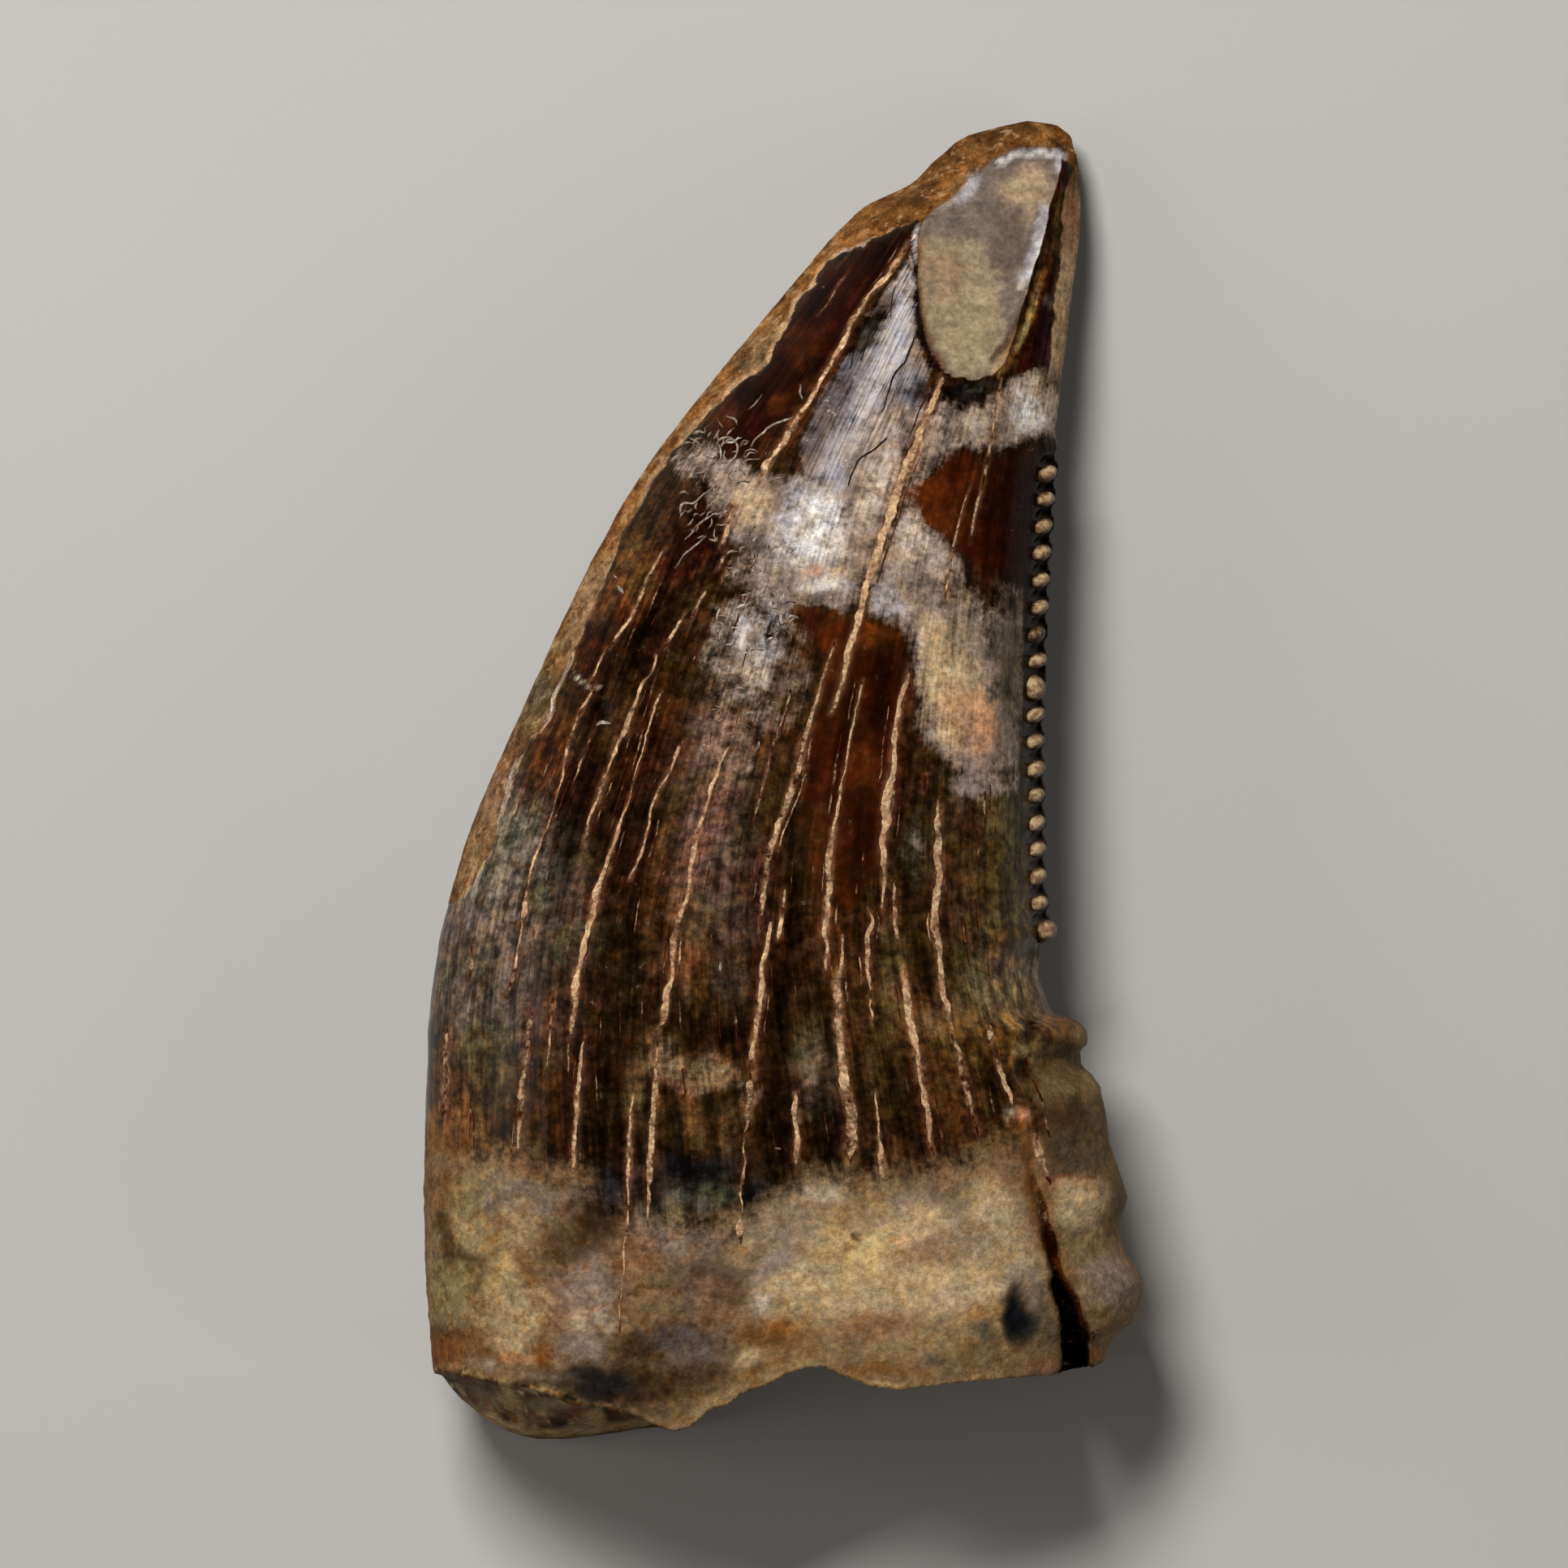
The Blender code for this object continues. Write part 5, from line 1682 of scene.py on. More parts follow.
# Shader helpers. A socket given as a value is linked, and anything else is set.
def new_material(name):
    material = bpy.data.materials.new(name)
    material.use_nodes = True
    tree = material.node_tree
    return material, tree, tree.nodes["Principled BSDF"]


def node(tree, kind, settings=None, **inputs):
    made = tree.nodes.new("ShaderNode" + kind)
    for key, value in (settings or {}).items():
        setattr(made, key, value)
    for key, value in inputs.items():
        socket = made.inputs[int(key[1:])] if key[0] == "i" and key[1:].isdigit() else made.inputs[key]
        if isinstance(value, bpy.types.NodeSocket):
            tree.links.new(value, socket)
        else:
            socket.default_value = value
    return made


def calc(tree, operation, a, b=0.0, c=0.0, clamp=False):
    made = node(tree, "Math", {"operation": operation, "use_clamp": clamp}, i0=a, i1=b, i2=c)
    return made.outputs[0]


def times(tree, a, b):
    return calc(tree, "MULTIPLY", a, b)


def plus(tree, a, b):
    return calc(tree, "ADD", a, b)


def about(tree, value, amount):
    """A noise value moved to lie about zero and scaled."""
    return calc(tree, "MULTIPLY_ADD", value, amount, -0.5 * amount)


def colour_mix(tree, share, a, b):
    return node(tree, "Mix", {"data_type": "RGBA"}, i0=share, i6=a, i7=b).outputs[2]


def colour_times(tree, a, b):
    return node(tree, "Mix", {"data_type": "RGBA", "blend_type": "MULTIPLY"}, i0=1.0, i6=a, i7=b).outputs[2]


def value_mix(tree, share, a, b):
    return node(tree, "Mix", {"data_type": "FLOAT"}, i0=share, i2=a, i3=b).outputs[0]


def ramp(tree, value, low, high, to_low=0.0, to_high=1.0):
    made = node(tree, "MapRange", {"interpolation_type": "SMOOTHSTEP"}, i0=value, i1=low, i2=high)
    made.inputs[3].default_value = to_low
    made.inputs[4].default_value = to_high
    return made.outputs[0]


def painted(tree, name, kind="Fac"):
    return node(tree, "Attribute", {"attribute_name": name}).outputs[kind]


def grain_of(tree, vector, scale, detail=3.0, roughness=0.6):
    made = node(tree, "TexNoise", Vector=vector, Scale=scale, Detail=detail, Roughness=roughness)
    return made.outputs["Fac"]


def tone(name):
    """A tone as the colour of a socket."""
    return (*light_of(name), 1.0)


def product(tree, noise_of, table):
    """The ramps of several noises, multiplied."""
    whole = None
    for name, *limits in table:
        one = ramp(tree, noise_of[name], *limits)
        whole = one if whole is None else times(tree, whole, one)
    return whole


def speckle(tree, noise_of, name, low, high, strength):
    """Where a noise passes its limits, up to the strength."""
    return times(tree, ramp(tree, noise_of[name], low, high), strength)


def two_hues(tree, noise_of, name, low, high, first, second):
    """A hue between two, as a noise mixes them."""
    return colour_mix(tree, ramp(tree, noise_of[name], low, high), first, second)


def link_surface(tree, shader, colour, rough, specular=0.5):
    tree.links.new(colour, shader.inputs["Base Color"])
    tree.links.new(rough, shader.inputs["Roughness"])
    shader.inputs["Specular IOR Level"].default_value = specular


def link_bump(tree, shader, height, strength=0.8, distance=0.00002):
    bump = node(tree, "Bump", Strength=strength, Distance=distance, Height=height)
    tree.links.new(bump.outputs[0], shader.inputs["Normal"])


def skin_noises(tree):
    """The noises the skin's layers share, by name, with the place, the jitter and the hue made of them."""
    place = node(tree, "TexCoord").outputs["Object"]
    flow = node(tree, "UVMap", {"uv_map": "flow"}).outputs["UV"]
    noise_of = {"place": place}
    for name, (scale, *kind) in FLOW_NOISES.items():
        stretched = node(tree, "Mapping", Vector=flow, Scale=scale).outputs[0]
        noise_of[name] = grain_of(tree, stretched, 1.0, *kind)
    for name, kind in PLACE_NOISES.items():
        noise_of[name] = grain_of(tree, place, *kind)
    part = {name: about(tree, noise_of[name], amount) for name, amount in JITTER.items()}
    rounded = plus(tree, plus(tree, part["patch"], part["fleck"]), part["cloud"])
    noise_of["jitter"] = plus(tree, rounded, plus(tree, part["thin"], part["fine"]))
    noise_of["hue"] = two_hues(tree, noise_of, *SKIN_HUES)
    return noise_of


def enamel_colour(tree, noise_of):
    """Dark enamel with fine lengthwise streaks, and short paler threads among them."""
    glassy = painted(tree, "glassy")
    light = product(tree, noise_of, ENAMEL_LIGHT)
    calm = plus(tree, times(tree, light, 0.50), 0.44)
    light = value_mix(tree, glassy, light, calm)
    warm = two_hues(tree, noise_of, *ENAMEL_WARMTH)
    hue = colour_times(tree, warm, two_hues(tree, noise_of, *ENAMEL_GREEN))
    dark = colour_times(tree, colour_times(tree, painted(tree, "under", "Color"), light), hue)
    threads = times(tree, product(tree, noise_of, ENAMEL_THREADS), value_mix(tree, glassy, 1.0, 0.35))
    dark = colour_mix(tree, threads, dark, tone("tan"))
    dust = times(tree, product(tree, noise_of, ENAMEL_DUST), 0.45)
    return colour_mix(tree, dust, dark, tone("mist"))


def bloom_and_sheen_colour(tree, noise_of):
    """The pale crust, with painted highlights in places: mottled, pitted dark in places and creamy in others.
    """
    light = product(tree, noise_of, BLOOM_LIGHT)
    # In the painted highlight strip the crust is streaked rather than mottled.
    light = value_mix(tree, painted(tree, "smooth"), light, product(tree, noise_of, HIGHLIGHT_STREAKS))
    pale = colour_times(tree, colour_times(tree, painted(tree, "over", "Color"), light), noise_of["hue"])
    pale = colour_mix(tree, speckle(tree, noise_of, *BLOOM_PITS), pale, tone("mauve"))
    bright = times(tree, product(tree, noise_of, BLOOM_BRIGHT), 0.55)
    return colour_mix(tree, bright, pale, tone("chalk"))


def matt_colour(tree, noise_of):
    """Porous dentine and base: blotches, grain, and stains and pits that darken what is under them."""
    across = node(tree, "SeparateXYZ", Vector=noise_of["place"]).outputs[0]
    front = ramp(tree, across, *MATT_FRONT)
    light = times(tree, product(tree, noise_of, MATT_LIGHT), value_mix(tree, front, 1.0, 0.90))
    base = colour_times(tree, colour_times(tree, painted(tree, "matt", "Color"), light), noise_of["hue"])
    for blotch, gain in MATT_BLOTCHES:
        share = times(tree, speckle(tree, noise_of, *blotch), front)
        base = colour_mix(tree, share, base, colour_times(tree, base, gain))
    deep = colour_times(tree, base, MATT_PIT_GAIN)
    return colour_mix(tree, speckle(tree, noise_of, *MATT_PITS), base, deep)


def crisp_colour(tree, noise_of):
    """Flaked strip, facet and split, whose outlines are sharp."""
    facet = painted(tree, "smooth")
    worn = product(tree, noise_of, FACET_LIGHT)
    light = value_mix(tree, facet, product(tree, noise_of, FLAKED_LIGHT), worn)
    light = times(tree, light, product(tree, noise_of, CRISP_LIGHT))
    colour = colour_times(tree, painted(tree, "crisp_colour", "Color"), light)
    stained = times(tree, ramp(tree, noise_of["stain"], 0.50, 0.62), value_mix(tree, facet, 0.85, 0.10))
    colour = colour_mix(tree, stained, colour, colour_times(tree, colour, CRISP_STAIN_GAIN))
    flecks = times(tree, product(tree, noise_of, CRISP_FLECKS), value_mix(tree, facet, 0.55, 0.0))
    colour = colour_mix(tree, flecks, colour, tone("silt"))
    specks = times(tree, speckle(tree, noise_of, *FACET_PITS), facet)
    return colour_mix(tree, specks, colour, tone("mauve"))


def skin_material():
    """The crown's material: enamel under the pale crust and its painted highlights, then the matt parts, then
    the ones with sharp outlines.
    """
    material, tree, shader = new_material("fossil_skin")
    noise_of = skin_noises(tree)
    jitter, fleck = noise_of["jitter"], noise_of["fleck"]
    small_jitter = plus(tree, about(tree, fleck, 0.9), about(tree, noise_of["grit"], 0.6))

    cover = painted(tree, "cover")
    loose = times(tree, jitter, ramp(tree, cover, 0.0, 0.40, 0.10, 1.0))
    bloom_and_sheen = ramp(tree, plus(tree, cover, loose), 0.24, 0.92)
    base = painted(tree, "base")
    border = times(tree, times(tree, base, calc(tree, "SUBTRACT", 1.0, base)), 3.2)
    base = ramp(tree, plus(tree, base, times(tree, jitter, border)), 0.14, 0.86)
    crisp = ramp(tree, plus(tree, painted(tree, "crisp"), times(tree, small_jitter, 0.8)), 0.32, 0.68)

    colour = colour_mix(tree, bloom_and_sheen, enamel_colour(tree, noise_of), bloom_and_sheen_colour(tree, noise_of))
    colour = colour_mix(tree, base, colour, matt_colour(tree, noise_of))
    colour = colour_mix(tree, crisp, colour, crisp_colour(tree, noise_of))

    smooth = painted(tree, "smooth")
    rough = value_mix(tree, bloom_and_sheen, 0.22, 0.46)
    rough = value_mix(tree, base, rough, 0.66)
    rough = value_mix(tree, crisp, rough, value_mix(tree, smooth, 0.66, 0.40))
    rough = value_mix(tree, painted(tree, "hollow"), rough, 0.95)
    rough = plus(tree, rough, about(tree, fleck, 0.12))
    link_surface(tree, shader, colour, rough, 0.07)

    solid = calc(tree, "MAXIMUM", base, crisp)
    streak = value_mix(tree, calc(tree, "MAXIMUM", solid, bloom_and_sheen), 0.16, 0.0)
    height = times(tree, noise_of["thin"], streak)
    height = plus(tree, height, times(tree, noise_of["grit"], value_mix(tree, solid, 0.10, 0.40)))
    coarse = value_mix(tree, solid, value_mix(tree, bloom_and_sheen, 0.08, 0.50), 1.1)
    coarse = value_mix(tree, smooth, coarse, 0.30)
    link_bump(tree, shader, plus(tree, height, times(tree, fleck, coarse)), distance=0.00003)
    return material


def grainy_material(name, *kind):
    """A material with its tree and shader, the place its noises lie in, and its grain of that kind."""
    material, tree, shader = new_material(name)
    place = node(tree, "TexCoord").outputs["Object"]
    return material, tree, shader, place, grain_of(tree, place, *kind)


def sediment_material():
    """Sandy filling of the cracks, from pinkish to straw, dark where it has fallen out."""
    material, tree, shader, place, grains = grainy_material("crack_sediment", 19000.0, 3.0, 0.65)
    patch = grain_of(tree, place, 3400.0, 3.0, 0.6)
    spots = grain_of(tree, place, 8200.0, 3.0, 0.65)
    colour = colour_mix(tree, ramp(tree, patch, 0.42, 0.60), tone("silt"), tone("silt_pale"))
    colour = colour_mix(tree, times(tree, ramp(tree, spots, 0.50, 0.62), 0.7), colour, tone("blush"))
    colour = colour_mix(tree, times(tree, ramp(tree, patch, 0.46, 0.36), 0.7), colour, tone("clay"))
    colour = colour_times(tree, colour, ramp(tree, grains, 0.32, 0.68, 0.60, 1.32))
    colour = colour_times(tree, colour, ramp(tree, painted(tree, "fill"), 0.05, 0.75, 0.60, 1.0))
    fill = plus(tree, painted(tree, "fill"), about(tree, patch, 1.6))
    fill = plus(tree, fill, about(tree, spots, 1.6))
    kept = ramp(tree, plus(tree, fill, about(tree, grains, 0.8)), 0.06, 0.92)
    colour = colour_mix(tree, kept, tone("ember"), colour)
    link_surface(tree, shader, colour, ramp(tree, grains, 0.3, 0.7, 0.60, 0.90), 0.10)
    link_bump(tree, shader, grains)
    return material


def flake_material():
    """Pale glossy curls of lifted enamel, and the rims, whose paleness is painted highlight."""
    material, tree, shader, _, grains = grainy_material("pale_flake", 16000.0)
    pale = plus(tree, painted(tree, "fill"), about(tree, grains, 1.2))
    colour = colour_mix(tree, ramp(tree, pale, -0.10, 0.40), tone("bark"), tone("ash"))
    colour = colour_mix(tree, ramp(tree, pale, 0.40, 1.20), colour, tone("chalk"))
    colour = colour_times(tree, colour, ramp(tree, grains, 0.32, 0.68, 0.66, 1.10))
    link_surface(tree, shader, colour, ramp(tree, grains, 0.3, 0.7, 0.30, 0.56), 0.16)
    link_bump(tree, shader, grains, 0.6)
    return material


def hairline_material():
    material, tree, shader, _, grains = grainy_material("hairline_crack", 14000.0, 2.0)
    colour = colour_mix(tree, ramp(tree, grains, 0.40, 0.66), tone("ink"), tone("night"))
    link_surface(tree, shader, colour, ramp(tree, grains, 0.3, 0.7, 0.55, 0.80))
    return material


def serration_material():
    material, tree, shader, _, grains = grainy_material("serration_enamel", 11000.0)
    tip = ramp(tree, plus(tree, painted(tree, "tip"), about(tree, grains, 0.8)), 0.15, 1.00)
    side = colour_mix(tree, ramp(tree, grains, 0.4, 0.6), tone("umber"), tone("bark"))
    pale = colour_mix(tree, ramp(tree, grains, 0.36, 0.64), tone("clay"), tone("cream"))
    colour = colour_mix(tree, tip, side, pale)
    link_surface(tree, shader, colour, ramp(tree, grains, 0.3, 0.7, 0.40, 0.60), 0.35)
    link_bump(tree, shader, grains, 0.5)
    return material


def floor_material():
    material, tree, shader, _, cloud = grainy_material("pale_floor", 60.0, 2.0, 0.5)
    colour = colour_mix(tree, cloud, (0.50, 0.49, 0.475, 1.0), (0.53, 0.52, 0.505, 1.0))
    tree.links.new(colour, shader.inputs["Base Color"])
    shader.inputs["Roughness"].default_value = 0.9
    return material


# Cracks of the upper side: how full of sediment, and the route with its width in photograph pixels.
CRACKS = [
    (0.80, [(1118, 300, 4), (1108, 318, 6), (1095, 338, 8), (1080, 355, 5), (1068, 368, 5), (1058, 385, 6),
            (1048, 400, 7), (1038, 425, 7), (1028, 440, 6), (1018, 458, 6), (1010, 470, 5), (998, 495, 5),
            (985, 512, 5), (975, 525, 7), (965, 545, 8), (955, 560, 8), (943, 578, 9), (938, 588, 6)]),
    (0.45, [(1045, 335, 2), (1030, 355, 2), (1020, 375, 2), (1008, 388, 2)]),
    (0.70, [(903, 628, 4), (898, 645, 6), (894, 662, 6), (886, 680, 3)]),
    (0.60, [(895, 680, 4), (889, 692, 5), (883, 705, 3)]),
    (0.60, [(873, 725, 4), (866, 735, 4), (860, 745, 4), (852, 765, 3)]),
    (1.00, [(1161, 462, 6), (1152, 490, 8), (1143, 510, 8), (1133, 535, 10), (1121, 565, 11), (1108, 600, 11),
            (1095, 640, 11), (1078, 690, 10), (1068, 720, 10), (1059, 755, 8), (1046, 800, 8), (1035, 850, 8),
            (1022, 880, 4)]),
    (0.55, [(1235, 460, 3), (1228, 500, 3), (1222, 540, 3), (1212, 590, 5), (1200, 640, 4), (1195, 670, 3)]),
    (0.50, [(1195, 600, 2), (1180, 650, 3), (1172, 690, 4), (1165, 740, 3)]),
    (0.55, [(1028, 790, 3), (1010, 850, 4), (995, 900, 6), (990, 915, 8), (985, 945, 7), (975, 975, 8),
            (955, 1025, 8), (945, 1060, 9), (943, 1090, 8), (940, 1110, 8), (939, 1130, 7), (936, 1145, 4)]),
    (1.00, [(949, 1135, 5), (946, 1160, 6), (942, 1180, 6), (939, 1195, 6), (939, 1215, 9), (936, 1240, 7),
            (932, 1260, 7), (929, 1280, 7), (925, 1300, 9), (923, 1310, 6)]),
    (0.55, [(927, 1322, 8), (925, 1340, 12), (923, 1360, 8), (921, 1380, 7), (917, 1400, 3), (917, 1430, 3),
            (915, 1450, 4), (913, 1465, 3), (915, 1500, 1)]),
    (0.90, [(911, 1500, 4), (912, 1510, 8), (914, 1530, 4)]),
    (0.75, [(968, 1095, 4), (965, 1115, 5), (963, 1130, 5), (960, 1150, 4), (957, 1160, 3)]),
    (1.00, [(1120, 820, 5), (1108, 870, 6), (1100, 920, 7), (1099, 950, 8), (1095, 965, 10), (1093, 985, 13),
            (1093, 1005, 12), (1090, 1025, 12), (1088, 1045, 11), (1089, 1065, 9), (1089, 1085, 7),
            (1088, 1105, 5), (1086, 1120, 3)]),
    (0.75, [(1062, 840, 3), (1056, 870, 3), (1048, 905, 3), (1040, 950, 3), (1034, 990, 4), (1028, 1020, 5),
            (1022, 1050, 8), (1022, 1090, 7), (1019, 1110, 7), (1018, 1130, 7), (1016, 1150, 6),
            (1019, 1165, 3), (1018, 1185, 5), (1016, 1198, 3)]),
    (0.80, [(1038, 1150, 4), (1037, 1175, 5), (1035, 1195, 6), (1033, 1210, 10), (1032, 1230, 11),
            (1031, 1250, 11), (1033, 1270, 11), (1035, 1290, 11), (1037, 1310, 11), (1039, 1330, 12),
            (1043, 1350, 12), (1047, 1366, 8)]),
    (0.48, [(1044, 1348, 9), (1048, 1370, 13), (1048, 1395, 16), (1047, 1415, 14), (1047, 1432, 7)]),
    (0.70, [(1068, 1115, 3), (1074, 1135, 5), (1069, 1150, 6), (1069, 1170, 6), (1070, 1190, 5),
            (1073, 1230, 3), (1075, 1260, 2)]),
    (0.65, [(1077, 1340, 3), (1080, 1370, 3), (1082, 1400, 5), (1084, 1420, 9), (1087, 1440, 10),
            (1090, 1452, 6)]),
    (0.65, [(1101, 1080, 2), (1102, 1105, 4), (1103, 1130, 5), (1105, 1150, 5), (1104, 1160, 3)]),
    (0.95, [(1111, 1190, 5), (1114, 1210, 7), (1117, 1230, 8), (1121, 1255, 8), (1126, 1280, 9),
            (1130, 1300, 9), (1134, 1325, 8), (1139, 1350, 8), (1142, 1375, 9), (1146, 1395, 7),
            (1148, 1410, 5), (1150, 1422, 4)]),
    (0.95, [(1155, 985, 5.2), (1155, 1010, 7.8), (1155, 1035, 10.4), (1156, 1065, 11.7), (1155, 1090, 10.4),
            (1152, 1120, 10.4), (1151, 1140, 10.4), (1155, 1160, 9.1), (1157, 1180, 7.8), (1159, 1205, 9.1),
            (1161, 1225, 9.1), (1166, 1240, 7.8), (1171, 1255, 6.5), (1172, 1270, 5.2)]),
    (0.40, [(1140, 955, 6), (1137, 975, 5)]),
    (0.75, [(980, 1345, 4), (980, 1365, 7), (982, 1385, 7), (983, 1405, 6), (981, 1425, 5), (980, 1440, 3)]),
    (0.35, [(975, 850, 3), (960, 900, 3), (950, 930, 3), (935, 990, 3), (925, 1020, 2)]),
    (0.90, [(898, 920, 3), (885, 950, 5), (868, 1000, 5), (855, 1050, 6), (848, 1100, 6), (843, 1115, 7),
            (838, 1130, 7), (834, 1145, 5), (830, 1160, 8), (829, 1180, 5), (828, 1200, 5), (824, 1215, 8),
            (821, 1235, 10), (817, 1255, 10), (813, 1268, 5)]),
    (0.65, [(812, 1280, 4), (811, 1300, 4), (810, 1325, 7), (808, 1345, 7), (805, 1370, 8), (803, 1400, 9),
            (802, 1425, 8), (801, 1450, 7), (800, 1468, 5), (800, 1510, 2)]),
    (0.60, [(826, 668, 3), (810, 690, 3), (795, 722, 4), (780, 755, 4), (765, 780, 4), (752, 800, 3)]),
    (0.60, [(750, 797, 2), (740, 812, 3), (733, 830, 3), (723, 843, 2)]),
    (0.60, [(734, 842, 2), (722, 866, 4), (711, 890, 4), (703, 912, 4), (697, 940, 3), (689, 970, 3),
            (683, 995, 2), (675, 1018, 3), (664, 1048, 4), (656, 1072, 4), (650, 1100, 5), (647, 1125, 6),
            (643, 1150, 3), (638, 1175, 3), (635, 1190, 5), (629, 1215, 5), (627, 1222, 3)]),
    (0.45, [(732, 900, 2), (722, 925, 3), (714, 945, 3), (706, 975, 2)]),
    (0.40, [(680, 930, 2), (672, 950, 2), (664, 970, 2), (657, 985, 2), (652, 1000, 2)]),
    (0.60, [(845, 755, 3), (830, 780, 4), (818, 800, 4)]),
    (0.85, [(808, 805, 3), (807, 820, 3), (803, 830, 3), (793, 840, 4), (785, 862, 5), (778, 878, 6),
            (770, 900, 7), (762, 915, 6), (756, 930, 5), (752, 945, 5), (748, 955, 4), (742, 970, 6),
            (735, 990, 6), (729, 1005, 5), (724, 1025, 4), (722, 1040, 5)]),
    (0.85, [(814, 855, 3), (808, 870, 4), (803, 885, 3), (798, 905, 3), (790, 935, 2), (782, 960, 2),
            (776, 985, 2), (768, 1005, 3), (762, 1022, 4), (755, 1045, 4), (749, 1062, 5), (745, 1078, 6),
            (740, 1090, 6), (736, 1100, 9), (732, 1115, 9), (728, 1135, 8), (723, 1155, 9), (716, 1185, 8),
            (712, 1205, 9), (709, 1220, 7), (709, 1240, 6), (706, 1262, 6), (704, 1275, 4)]),
    (0.75, [(721, 1275, 3), (718, 1295, 4), (716, 1315, 5), (714, 1335, 6), (712, 1355, 7), (711, 1380, 6),
            (709, 1400, 6), (709, 1420, 7), (707, 1432, 7), (703, 1440, 4)]),
    (0.60, [(840, 915, 3), (834, 930, 5), (828, 945, 4), (820, 960, 4), (812, 975, 4), (806, 990, 4),
            (800, 1010, 3), (796, 1030, 3), (790, 1050, 4), (784, 1065, 4), (778, 1080, 4), (776, 1086, 3)]),
    (0.60, [(552, 1265, 3), (551, 1290, 5), (550, 1310, 7), (549, 1335, 8), (549, 1355, 8), (547, 1375, 5)]),
    (0.45, [(582, 1165, 2), (582, 1185, 4), (580, 1205, 3)]),
    (0.50, [(656, 1245, 4), (654, 1262, 7), (652, 1285, 7), (649, 1305, 6), (646, 1330, 8), (644, 1350, 8),
            (642, 1370, 8), (641, 1390, 6), (640, 1405, 5), (638, 1420, 4)]),
    (0.50, [(684, 1225, 4), (682, 1245, 4), (679, 1265, 3), (677, 1290, 3), (674, 1310, 2), (671, 1325, 2)]),
    (0.40, [(742, 1220, 2), (738, 1245, 2)]),
    (0.65, [(783, 1340, 2), (779, 1365, 3), (777, 1390, 4), (776, 1415, 6), (775, 1435, 7), (775, 1450, 4),
            (775, 1480, 4), (773, 1510, 3), (770, 1535, 4), (770, 1560, 2), (765, 1600, 2), (765, 1640, 2)]),
    (0.90, [(1219, 1262, 4), (1219, 1272, 7), (1219, 1283, 4)]),
    (0.45, [(1172, 1272, 4), (1180, 1297, 6), (1188, 1330, 7), (1196, 1368, 6), (1205, 1398, 4)]),
    (0.85, [(1225, 1298, 4), (1231, 1315, 7), (1236, 1330, 7), (1243, 1350, 5), (1247, 1360, 4)]),
    (0.40, [(1190, 1340, 3), (1193, 1380, 3)]),
    (0.75, [(1273, 1395, 8), (1280, 1420, 10), (1288, 1445, 10), (1294, 1458, 7)]),
]
# Pale curls of lifted enamel: width and route.
CURLS = [
    (2.6, [(987, 474), (986, 484), (989, 493)]),
    (2.6, [(921, 507), (934, 495), (939, 486)]),
    (3.2, [(923, 554), (932, 542), (946, 529), (961, 521), (979, 516)]),
    (3.0, [(911, 576), (920, 568), (938, 566)]),
    (2.6, [(917, 558), (926, 555), (934, 557)]),
    (2.6, [(883, 515), (886, 522), (891, 528)]),
    (2.6, [(895, 512), (905, 517), (908, 525)]),
    (2.6, [(849, 538), (860, 546), (864, 556), (859, 564)]),
    (3.4, [(880, 556), (888, 542), (902, 541), (909, 552), (904, 567), (890, 572)]),
    (3.0, [(822, 573), (832, 564), (842, 562)]),
    (3.0, [(838, 638), (841, 623), (855, 620), (870, 607), (883, 599)]),
    (3.0, [(852, 655), (864, 644), (878, 635), (891, 630)]),
    (2.6, [(844, 667), (852, 657), (858, 648)]),
    (2.6, [(832, 702), (846, 682), (860, 670), (871, 661)]),
    (2.6, [(923, 702), (929, 690), (933, 682)]),
    (2.6, [(949, 595), (958, 590), (966, 589)]),
    (2.6, [(967, 743), (974, 741), (981, 744)]),
    (2.6, [(954, 764), (960, 756), (971, 757), (972, 766), (962, 772)]),
    (2.6, [(946, 783), (953, 779), (960, 780)]),
    (2.6, [(880, 768), (889, 768), (892, 777), (886, 787), (878, 787)]),
    (2.6, [(920, 712), (929, 706)]),
    (2.6, [(932, 721), (928, 731), (926, 740)]),
    (2.2, [(906, 892), (916, 893), (926, 898)]),
    (2.6, [(872, 626), (880, 618), (890, 616)]),
    (2.6, [(906, 600), (914, 594), (924, 596)]),
]
# Where small curls lie matted: middle, radii and how many.
CURL_PATCHES = [
    (884, 560, 46, 34, 44),
    (868, 628, 34, 40, 26),
    (940, 700, 46, 50, 34),
    (930, 770, 48, 44, 44),
    (925, 870, 50, 60, 14),
]
DASH_COUNT = 150
# Rims and flecks that stand up a little: width, paleness and route. The first three, on the facet's rim and
# the flaked strip's edge, are pale as painted highlights.
RIMS = [
    (4, 0.6, [(1121, 310), (1123, 326), (1125, 342)]),
    (3, 0.7, [(705, 807), (695, 833), (682, 858), (678, 881), (668, 895)]),
    (3, 0.6, [(640, 931), (631, 954), (623, 984), (615, 1012), (613, 1035)]),
    (6, 1.0, [(761, 722), (766, 727), (769, 731)]),
    (4, 0.9, [(756, 710), (760, 714)]),
    (6, 0.7, [(734, 894), (744, 890), (754, 892)]),
    (6, 1.0, [(955, 1412), (962, 1414)]),
    (6, 0.8, [(888, 1184), (888, 1196)]),
    (5, 0.8, [(577, 1236), (578, 1248)]),
    (5, 1.0, [(1394, 1625), (1400, 1627)]),
]
# Dark hairlines near the facet: width and route.
HAIRLINES = [
    (3.0, [(1127, 415), (1118, 440), (1105, 458), (1097, 475), (1090, 500), (1085, 510)]),
    (3.0, [(1093, 540), (1075, 556), (1060, 566), (1050, 585), (1045, 600)]),
    (2.0, [(1103, 352), (1098, 372), (1099, 392)]),
    (2.4, [(1078, 400), (1068, 424), (1060, 446)]),
    (2.4, [(1064, 400), (1054, 430), (1046, 456)]),
    (2.0, [(1012, 470), (1006, 492), (996, 510)]),
]
